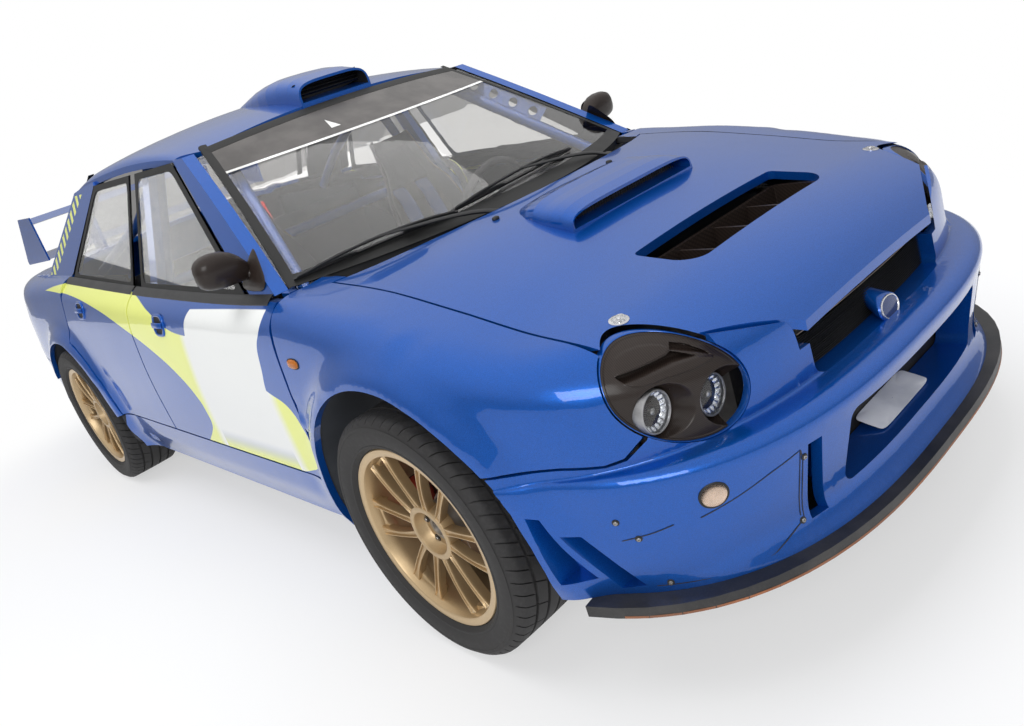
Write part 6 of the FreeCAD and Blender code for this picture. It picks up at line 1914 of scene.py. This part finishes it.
@dataclass
class Cabin:
    """Gussets with round holes along the cage's front struts, and the hood over the instruments."""
    strut: Sequence[Place] = ((250.0, 462.0, 1250.0), (800.0, 640.0, 850.0))
    gussets: int = 4
    gusset_first: float = 150.0
    gusset_step: float = 86.0
    gusset_rise: float = 44.0
    hood: Outline = ((615.0, 780.0), (622.0, 812.0), (668.0, 858.0), (735.0, 872.0), (800.0, 862.0),
                     (842.0, 842.0))
    hood_middle: float = 360.0
    hood_half: float = 205.0
    hood_droop: float = 26.0
    hood_wall: float = 8.0

    def build(self) -> None:
        """Makes the cabin's small pieces."""
        body = Body.CHASSIS.on()
        for side in Side:
            shell = Shell("cage_gusset_" + side.word)
            start, end = np.array(self.strut)
            along = unit(end - start)
            out = unit(np.cross(along, np.array([0.35, -1.0, 0.9])))
            out = out if out[2] > 0 else -out
            face = unit(np.cross(along, out))
            for step in range(self.gussets):
                reach = self.gusset_first + self.gusset_step * step
                middle = start + along * reach + out * self.gusset_rise
                self.plate(shell, middle, along, out, face, side)
            shell.build([CAGE_PAINT], body)
        path = rounded(np.array(self.hood), 16)
        share = spread(-1.0, 1.0, 31)
        droop = self.hood_droop * np.abs(share) ** 4
        across = self.hood_middle + self.hood_half * share
        top, low = (xyz(path[:, :1], across, path[:, 1:] - droop - deep) for deep in (0.0, self.hood_wall))
        grid = np.concatenate([top, low[:, ::-1]], 1)
        Shell("dash_binnacle").solid(grid).build([INTERIOR], body)

    @staticmethod
    def plate(shell: Shell, middle: np.ndarray, along: np.ndarray, out: np.ndarray, face: np.ndarray,
              side: Side) -> None:
        """One square of the gusset with a round hole, its hole's edge flared."""
        t = full_turn(32)
        circle = np.stack([np.cos(t), np.sin(t)], -1)
        square = circle / np.abs(circle).max(-1, keepdims=True)
        rows = []
        for size, share, rise in ((18.0, 0.0, 3.0), (17.0, 0.0, 1.0), (19.5, 0.0, -1.0), (1.0, 1.0, -1.0),
                                  (1.0, 1.0, 1.0), (21.0, 0.0, 1.0), (19.5, 0.0, 3.0)):
            flat = (square * np.array([43.0, 30.0]) if share else circle * size)
            rows.append(middle + flat[:, :1] * along + flat[:, 1:] * out + rise * face)
        shell.grid(mirror_y(np.array(rows), side), around=True, along=True)


def on_side(x: np.ndarray, z: np.ndarray, proud: float = 0.0) -> np.ndarray:
    """Points on the body's side, raised along its normal."""
    x, z = np.broadcast_arrays(np.asarray(x, float), np.asarray(z, float))
    return xyz(x, SKIN.side_y(x, z), z) + proud * side_normal(x, z)


def side_normal(x: np.ndarray, z: np.ndarray) -> np.ndarray:
    """The side skin's outward normal, from differences over four millimetres."""
    lean_x, lean_z = slopes(SKIN.side_y, x, z, 2.0)
    return unit(xyz(-lean_x, 1.0, -lean_z))


@dataclass
class DoorDetail:
    """A handle on each door, the lamp on the wing, the window's rubber strip and the mirror."""
    side: Side
    handles: Sequence[Tuple[bool, float, float]] = ((True, 98.0, 812.0), (False, -773.0, 842.0))
    lamp: Pair = (992.0, 742.0)
    border: float = 21.0

    def build(self) -> None:
        """Makes this side's pieces on their doors."""
        for front, x, z in self.handles:
            body = (Body.FRONT_DOOR if front else Body.REAR_DOOR).on(self.side)
            self.handle(("front" if front else "rear") + "_" + self.side.word, x, z, body)
        self.repeater()
        self.strip(True, 862.0, -196.0)
        self.strip(False, -212.0, -1020.0)
        for end, body in (("front", Body.FRONT_DOOR), ("rear", Body.REAR_DOOR)):
            self.window_frame(end, body.on(self.side))
        self.mirror()

    def put(self, points: np.ndarray, x: float, z: float) -> np.ndarray:
        """Points across, above and out of the side's skin, put at a place on this side."""
        x, z = np.array(x), np.array(z)
        axes = basis(side_normal(x, z))
        return mirror_y(placed(points, on_side(x, z), axes), self.side)

    def handle(self, name: str, x: float, z: float, body: str) -> None:
        """A rounded plate with a dark cup, and a bowed bar that bridges the cup."""
        shell = Shell("door_handle_" + name)
        rows = ((1.0, -2.0), (1.0, 1.0), (0.97, 3.6), (0.92, 4.8), (0.80, 5.0), (0.76, 4.2), (0.74, 0.8))
        shell.grid(self.put(dished(47.0, 39.0, 3.2, rows), x, z), around=True)
        cup = dished(35.0, 29.0, 3.2, ((1.0, 0.8), (0.5, 0.8), (0.01, 0.8)))
        shell.grid(self.put(cup, x, z), around=True, slot=1)
        t = spread(-1.0, 1.0, 25)
        path = xyz(40.0 * t, 2.0 * (1.0 - t * t), 5.0 + 9.0 * (1.0 - t ** 4))
        bar = swept(path, superellipse(16, 9.5, 3.0, 2.6), up=(0, 0, 1))
        shell.solid(self.put(bar, x, z))
        shell.build([PAINT, DARK_MESH], body, slot_name="paint")

    def repeater(self) -> None:
        """The small amber lamp on the front wing in its dark seat."""
        for name, finish, rows in (
                ("seat", SEAL, ((1.0, -1.0), (1.0, 1.2), (0.92, 2.0), (0.84, 1.6))),
                ("lens", ORANGE, ((0.86, 0.8), (0.84, 3.0), (0.74, 5.2), (0.45, 6.8), (0.01, 7.4)))):
            points = self.put(dished(31.0, 15.0, 2.4, rows, 40), *self.lamp)
            shell = Shell("side_lamp_%s_%s" % (self.side.word, name)).grid(points, around=True)
            shell.build([finish], Body.CHASSIS.on(), closed=False)

    def strip(self, front: bool, x0: float, x1: float) -> None:
        """The rubber and its trim along the foot of a door's glass."""
        body = (Body.FRONT_DOOR if front else Body.REAR_DOOR).on(self.side)
        x = spread(x0, x1, 40)
        z = SKIN.belt(x) + 1.0
        shell = Shell("window_strip_%s_%s" % ("front" if front else "rear", self.side.word))
        section = ((-13.0, 0.1), (-12.0, 2.2), (-3.0, 3.0), (6.0, 2.4), (8.0, 0.0))
        rows = [on_side(x, z + off, rise) for off, rise in section]
        shell.grid(mirror_y(np.array(rows), self.side)).build([BLACK_TRIM], body, closed=False)

    def window_frame(self, end: str, body: str) -> None:
        """The black border round a door's glass: the glass's outline and the same outline set in.

        The outline is the run of points that lie furthest in each of many directions; corners that
        turn by less than four degrees are left out, and each side is moved in by the border's width.
        """
        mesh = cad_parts["door_glass_%s_%s" % (end, self.side.word)].data
        flat = np.empty(len(mesh.vertices) * 3)
        mesh.vertices.foreach_get("co", flat)
        plan = flat.reshape(-1, 3)[:, [0, 2]] / MM
        turn = full_turn(720)
        far = np.argmax(plan @ np.stack([np.cos(turn), np.sin(turn)]), axis=0)
        corners = plan[far[np.flatnonzero(np.diff(np.append(far, far[0])))]]
        sides = unit(np.roll(corners, -1, 0) - corners)
        before = np.roll(sides, 1, 0)
        bend = np.abs(before[:, 0] * sides[:, 1] - before[:, 1] * sides[:, 0])
        corners = corners[bend > math.sin(math.radians(4.0))]
        sides = unit(np.roll(corners, -1, 0) - corners)
        inward = np.stack([-sides[:, 1], sides[:, 0]], -1)
        before = np.roll(inward, 1, 0)
        step = (inward + before) / (1.0 + (inward * before).sum(-1, keepdims=True))
        outer = resampled(corners, 240, closed=True)
        inner = rounded(resampled(corners + step * self.border, 50, closed=True), 240, 3, closed=True)
        rows = []
        for line, rise in ((outer, 0.2), (outer, 2.2), (inner, 1.8), (inner, 0.1)):
            rows.append(xyz(line[:, 0], SKIN.glass_half(line[:, 1]) + rise, line[:, 1]))
        shell = Shell("window_frame_%s_%s" % (end, self.side.word))
        shell.grid(mirror_y(np.array(rows), self.side), around=True).build([SEAL], body, closed=False)

    def mirror(self) -> None:
        """A drop-shaped housing that narrows to a foot at the window's corner, and its glass."""
        word = self.side.word
        y = np.array([726.0, 736.0, 750.0, 768.0, 790.0, 815.0, 840.0, 858.0, 870.0, 876.0, 877.5])
        half_z = np.array([17.0, 26.0, 36.0, 44.0, 49.0, 50.5, 48.0, 42.0, 32.0, 18.0, 3.0])
        half_x = np.array([26.0, 30.0, 35.0, 39.0, 42.0, 43.0, 41.0, 36.0, 27.0, 14.0, 2.0])
        middle_z = np.array([954.0, 962.0, 971.0, 979.0, 985.0, 988.0, 990.0, 990.0, 989.0, 988.0, 988.0])
        rings = []
        for k in range(len(y)):
            line = superellipse(40, half_x[k], half_z[k], 2.7)
            flat = np.maximum(line[:, 0], -half_x[k] * 0.62)
            rings.append(xyz(704.0 + flat, y[k], middle_z[k] + line[:, 1]))
        shell = Shell("mirror_housing_" + word).solid(mirror_y(np.array(rings), self.side))
        foot = np.array([[742.0, 700.0, 908.0], [728.0, 716.0, 926.0], [712.0, 735.0, 948.0],
                         [706.0, 752.0, 962.0]])
        path = rounded(foot, 12)
        section = superellipse(24, 30.0, 15.0, 2.4)
        shell.solid(mirror_y(swept(path, section, up=(0, -0.6, 1), scale=spread(1.25, 0.8, 12)), self.side))
        sail = []
        for grow in (1.0, 0.9):
            corner = np.array([[846.0, 904.0], [694.0, 904.0], [672.0, 926.0], [744.0, 1012.0],
                               [764.0, 1012.0]])
            centre = corner.mean(0)
            line = rounded(centre + (corner - centre) * grow, 40, 2, closed=True)
            half = SKIN.glass_half(line[:, 1])
            sail.append(xyz(line[:, 0], half + (3.0 if grow == 1.0 else 7.0), line[:, 1]))
        shell.grid(mirror_y(np.array(sail), self.side), around=True)
        shell.cap(mirror_y(sail[1], self.side))
        piece = shell.build([CARBON_FINE], Body.FRONT_DOOR.on(self.side), sharp=50, slot_name="black_trim")
        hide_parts("mirror_" + word)
        glass = []
        for k in (0.0, 0.5, 0.9, 1.0):
            line = superellipse(40, 58.0 * k + 0.3, 38.0 * k + 0.2, 2.8)
            glass.append(xyz(676.6, 806.0 + line[:, 0], 986.0 + line[:, 1]))
        Shell("mirror_glass_" + word).grid(mirror_y(np.array(glass), self.side), around=True).build(
            [MIRROR_FACE], Body.FRONT_DOOR.on(self.side), closed=False)


@dataclass
class RearDetail:
    """Tail-lamp bowls, the bare rear plate, the exhaust's tip and the rear screen's surround."""
    exhaust: Place = (-2000.0, -190.0, 226.0)
    lamp_heights: Sequence[float] = (742.0, 826.0)
    lamp_radius: float = 30.0
    lamp_angle: float = 41.0
    plate_half: float = 262.0
    plate_z: Pair = (722.0, 832.0)

    def build(self) -> None:
        """Makes the pieces at the back."""
        body = Body.CHASSIS.on()
        surround = Shell("rear_screen_surround")
        z = spread(986.0, 1322.0, 40)
        for sign in (1.0, -1.0):
            rows = []
            for off, rise in ((4.0, 0.0), (3.0, 2.0), (-22.0, 1.4), (-22.0, 0.2)):
                y = sign * (SKIN.glass_half(z) * 0.93 - 24.0 + off)
                rows.append(xyz(SKIN.rear_screen_x(y, z) - rise, y, z + 0.5 * rise))
            surround.grid(np.array(rows))
        surround.build([SEAL], body, closed=False)
        self.lamps(body)
        self.plate()
        x, y, z = self.exhaust
        pipe = np.array([[25.0, 0.0], [25.0, 118.0], [24.0, 120.0], [22.6, 118.0], [22.2, 4.0]])
        Shell("exhaust_tip").grid(turned(pipe, (x, y, z), "x", 40, -1.0), around=True, along=True).build(
            [STEEL], body, slot_name="steel")

    def tail_point(self, z: np.ndarray, angle: np.ndarray, proud: float) -> np.ndarray:
        """Points on the tail at heights and angles, raised along the skin's normal."""
        here = SKIN.end_point(z, angle, SKIN.tail_inset, forward=False)
        beside = SKIN.end_point(z, angle + 0.5, SKIN.tail_inset, forward=False) - here
        above = SKIN.end_point(z + 2.0, angle, SKIN.tail_inset, forward=False) - here
        normal = unit(np.cross(above, beside))
        return here + proud * np.where(normal[..., :1] * np.sign(here[..., :1]) < 0, -1.0, 1.0) * normal

    def lamps(self, body: str) -> None:
        """Two round lights on each tail lamp: a bright rim with a domed lens and its ribs."""
        radius, angle = self.lamp_radius, np.array(self.lamp_angle)
        rim = np.array([[radius, -3.0], [radius, 2.0], [radius - 2.0, 3.6], [radius - 5.0, 3.8],
                        [radius - 6.0, 2.4]])
        reach = (radius - 6.0) * (1.0 - np.arange(1, 9) / 8.0) + 0.2
        rise = 2.0 + 3.2 * (1.0 - (reach / radius) ** 2) + 0.5 * (np.arange(1, 9) % 2)
        dome = np.concatenate([[[radius - 6.0, 2.0]], np.stack([reach, rise], -1)])
        for side in Side:
            shell = Shell("tail_light_rings_" + side.word)
            for z in self.lamp_heights:
                centre = self.tail_point(np.array(z), angle, 0.0)
                axes = basis(self.tail_point(np.array(z), angle, 10.0) - centre)
                for profile, slot in ((rim, 0), (dome, 1)):
                    ring = placed(turned(profile, (0, 0, 0), "z", 48), centre, axes)
                    shell.grid(mirror_y(ring, side), around=True, slot=slot)
            shell.build([BRIGHT, RED_LENS], body, sharp=35, closed=False)

    def plate(self) -> None:
        """The bare rear plate on the boot lid, bowed with it, with a rounded rim and two screws."""
        y = spread(-self.plate_half, self.plate_half, 41)
        z = spread(*self.plate_z, 9)[:, None]
        reach = SKIN.tail - SKIN.corner
        angle = np.degrees(np.arctan2(y, reach - 52.0))[None]
        low, high = self.plate_z
        rim = np.minimum(np.minimum(z - low, high - z), self.plate_half - np.abs(y)[None])
        face = self.tail_point(z + 0.0 * y[None], angle + 0.0 * z, 0.0)
        face[..., 0] -= 2.0 + 2.0 * np.clip(rim / 5.0, 0.0, 1.0)
        shell = Shell("rear_plate").grid(face)
        for sign in (1.0, -1.0):
            spot = face[4, 20 + int(sign * 14)]
            shell.grid(placed(button(5.0, 2.0, 1.2), spot, basis((-1, 0, 0))), around=True)
        shell.build([PALE_PLATE], Body.BOOT.on(), closed=False)


@dataclass
class WheelLiner:
    """The dark inner arch over a wheel: part of a cylinder about the axle, out to the panel beside it."""
    side: Side
    front: bool
    front_radius: float = 399.0
    rear_radius: float = 384.0
    inner: float = 560.0
    sunk: float = 14.0
    under: float = 34.0
    low: float = 236.0

    def build(self) -> None:
        """Makes the arch; its two ends stand at the height of the sill."""
        axle, radius = SKIN.rear_axle, self.rear_radius
        if self.front:
            axle, radius = SKIN.front_axle, self.front_radius
        drop = math.asin((SKIN.hub_height - self.low) / radius)
        turn = spread(-drop, math.pi + drop, 61)
        ring = np.stack([axle + radius * np.cos(turn), SKIN.hub_height + radius * np.sin(turn)], -1)
        start = xyz(ring[:, 0], self.inner, ring[:, 1])
        below_skin = start + np.array([0.0, 0.0, self.under])
        outer = SKIN.along(below_skin, np.array([0.0, 1.0, 0.0]), 400.0)[:, 1] - self.sunk
        rows = [xyz(ring[:, 0], y, ring[:, 1] + rise)
                for y, rise in ((start[:, 1], 0.0), (outer, 0.0), (outer, 2.0), (start[:, 1], 2.0))]
        name = "wheel_liner_%s_%s" % ("front" if self.front else "rear", self.side.word)
        Shell(name).grid(mirror_y(np.array(rows), self.side), along=True).build(
            [UNDERBODY], Body.CHASSIS.on(), closed=False)


@dataclass
class NodeDresser:
    """Gives each CAD piece that stays in view its finish."""
    finishes: Dict[str, Finish] = field(default_factory=lambda: {
        "bonnet": PAINT, "front_fenders": LIVERY_PAINT, "rear_quarters": LIVERY_PAINT, "roof": ROOF_PAINT,
        "front_bumper": PAINT, "rear_bumper": PAINT, "sills": PAINT, "boot_lid": PAINT, "rear_wing": PAINT,
        "door_front": DOOR_PAINT, "door_rear": DOOR_PAINT, "door_glass": SIDE_GLASS,
        "windscreen": SCREEN_GLASS, "rear_window": SCREEN_GLASS, "splitter": BLACK_TRIM, "grille": DARK_MESH,
        "bonnet_duct": CARBON, "headlamps": CARBON, "tail_lamps": RED_LENS, "cowl": BLACK_TRIM,
        "wipers": BLACK_TRIM, "mirror": CARBON, "dashboard": INTERIOR, "seats": SEAT_SHELL,
        "roll_cage": CAGE_PAINT, "steering_wheel": INTERIOR, "floor_pan": UNDERBODY, "engine_block": CAST,
        "exhaust": STEEL, "front_suspension": DARK_STEEL, "rear_suspension": DARK_STEEL,
        "knuckle": DARK_STEEL, "rim_front": GOLD_FRONT, "rim_rear": GOLD_REAR, "tyre_front": TYRE_FRONT,
        "tyre_rear": TYRE_REAR})

    def build(self) -> None:
        """Puts the finish whose name starts the node's name into the node's slots."""
        for name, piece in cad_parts.items():
            start = max((key for key in self.finishes if name.startswith(key)), key=len)
            material = self.finishes[start].material()
            if not piece.material_slots:
                piece.data.materials.append(material)
            for slot in piece.material_slots:
                slot.link = "OBJECT"
                slot.material = material
            LOG.info("%s wears %s", name, material.name)


@dataclass
class Studio:
    """The pale floor, the soft lamps, the world and the camera at the photograph's place."""
    eye: Place = (2960.0, -1689.0, 1317.0)
    right: Place = (0.66458363, 0.68662548, -0.29474405)
    down: Place = (0.04216689, -0.42829166, -0.90265619)
    ahead: Place = (-0.74602316, 0.58746209, -0.31358849)
    focal_pixels: float = 855.2
    image_width: float = 1024.0
    image_height: float = 726.0
    middle: Pair = (514.8, 335.0)
    sensor: float = 36.0
    floor_half: float = 16000.0
    glow_reach: Pair = (2.2, 3.2)
    glow: Pair = (0.55, 1.0)
    sky_light: float = 0.42
    sky_gloss: Pair = (0.32, 0.92)

    def build(self) -> None:
        """Makes everything that isn't the car."""
        self.camera()
        self.floor()
        self.world()
        self.lamps()

    def camera(self) -> None:
        """A camera whose axes are the measured rows, its lens and shift from the photograph's pixels."""
        data = bpy.data.cameras.new("camera")
        data.sensor_width = self.sensor
        data.lens = self.focal_pixels * self.sensor / self.image_width
        data.shift_x = (self.image_width / 2.0 - self.middle[0]) / self.image_width
        data.shift_y = (self.middle[1] - self.image_height / 2.0) / self.image_width
        data.clip_start, data.clip_end = 0.05, 100.0
        camera = bpy.data.objects.new("camera", data)
        bpy.context.scene.collection.objects.link(camera)
        turn = Matrix((self.right, [-d for d in self.down], [-a for a in self.ahead])).transposed()
        camera.matrix_world = Matrix.Translation(Vector(self.eye) * MM) @ turn.to_4x4()
        bpy.context.scene.camera = camera

    def floor(self) -> None:
        """A large flat floor, white to the camera with the car's soft shadow kept."""
        edge = spread(-self.floor_half, self.floor_half, 9)
        x, y = np.meshgrid(edge, edge, indexing="ij")
        mesh = bpy.data.meshes.new("floor")
        grid = Shell("floor").grid(xyz(x, y, 0.0))
        mesh.from_pydata((grid.points[0] * MM).tolist(), [], grid.quads[0][:, ::-1].tolist())
        floor = bpy.data.objects.new("floor", mesh)
        bpy.context.scene.collection.objects.link(floor)
        mesh.materials.append(self.floor_material())

    def floor_material(self) -> bpy.types.Material:
        """Matt white; what the eye sees of it turns to plain white away from the car."""
        material = bpy.data.materials.new("studio floor")
        material.use_nodes = True
        tree = material.node_tree
        tree.nodes.clear()
        n = Nodes(tree)
        end = n.add("ShaderNodeOutputMaterial")
        matt = n.add("ShaderNodeBsdfDiffuse")
        matt.inputs["Color"].default_value = (0.92, 0.92, 0.93, 1.0)
        glow = n.add("ShaderNodeEmission")
        glow.inputs["Color"].default_value = (1.0, 1.0, 1.0, 1.0)
        mix = n.add("ShaderNodeMixShader")
        x, y, _ = n.split(n.places())
        away = n.math("SQRT", n.plus(n.times(x, x), n.times(y, y)))
        n.put(n.times(n.looked_at(), n.ramp(away, *self.glow_reach, *self.glow)), mix.inputs[0])
        tree.links.new(matt.outputs[0], mix.inputs[1])
        tree.links.new(glow.outputs[0], mix.inputs[2])
        tree.links.new(mix.outputs[0], end.inputs["Surface"])
        return material

    def world(self) -> None:
        """White to the eye and in reflections, softer grey as light."""
        world = bpy.data.worlds.new("studio")
        bpy.context.scene.world = world
        world.use_nodes = True
        tree = world.node_tree
        tree.nodes.clear()
        n = Nodes(tree)
        end = n.add("ShaderNodeOutputWorld")
        light, seen = n.add("ShaderNodeBackground"), n.add("ShaderNodeBackground")
        light.inputs["Color"].default_value = (0.95, 0.97, 1.0, 1.0)
        light.inputs["Strength"].default_value = self.sky_light
        from_eye = n.add("ShaderNodeLightPath").outputs["Is Camera Ray"]
        rise = n.split(n.add("ShaderNodeTexCoord").outputs["Generated"])[2]
        glossy = n.ramp(rise, -0.1, 0.9, *self.sky_gloss)
        bright = n.mix(from_eye, n.mix(glossy, (0, 0, 0, 1), (1, 1, 1, 1)), (1, 1, 1, 1))
        n.put(bright, seen.inputs["Color"])
        seen.inputs["Strength"].default_value = 1.0
        mix = n.add("ShaderNodeMixShader")
        n.put(n.looked_at(), mix.inputs[0])
        tree.links.new(light.outputs[0], mix.inputs[1])
        tree.links.new(seen.outputs[0], mix.inputs[2])
        tree.links.new(mix.outputs[0], end.inputs["Surface"])

    def lamps(self) -> None:
        """Large soft boxes; only the one beside the bonnet is seen in gloss."""
        for name, place, aim, size, power, mirrored in (
                ("overhead", (0.4, 0.0, 4.6), (0.2, 0.0, 0.5), (6.0, 3.4), 175.0, False),
                ("front side", (4.6, -4.2, 3.2), (0.9, -0.5, 0.5), (3.0, 2.2), 110.0, True),
                ("far side", (1.0, 5.5, 3.0), (0.4, 0.4, 0.6), (4.0, 2.0), 70.0, False),
                ("rear", (-5.2, -2.6, 2.6), (-1.0, -0.4, 0.7), (3.0, 2.0), 60.0, False)):
            data = bpy.data.lights.new(name, "AREA")
            data.shape = "RECTANGLE"
            data.size, data.size_y = size
            data.energy = power
            lamp = bpy.data.objects.new(name, data)
            bpy.context.scene.collection.objects.link(lamp)
            lamp.location = place
            lamp.visible_glossy = mirrored
            lamp.rotation_euler = (Vector(aim) - Vector(place)).to_track_quat("-Z", "Y").to_euler()


def main() -> None:
    """Dresses the car piece by piece."""
    logging.basicConfig(level=logging.INFO, format="%(name)s: %(message)s")
    bpy.context.scene.view_settings.view_transform = "Standard"
    for maker in (Studio(), NodeDresser()):
        maker.build()
    for side in Side:
        for kind in (Wheel, WheelLiner):
            for front in (True, False):
                kind(side, front).build()
        for kind in (Headlamp, Seat, DoorDetail):
            kind(side).build()
    for maker in (Grille(), BumperDetail(), BonnetDetail(), RoofScoop(), Screen(), Cabin(), RearDetail()):
        maker.build()


if __name__ == "__main__":
    main()
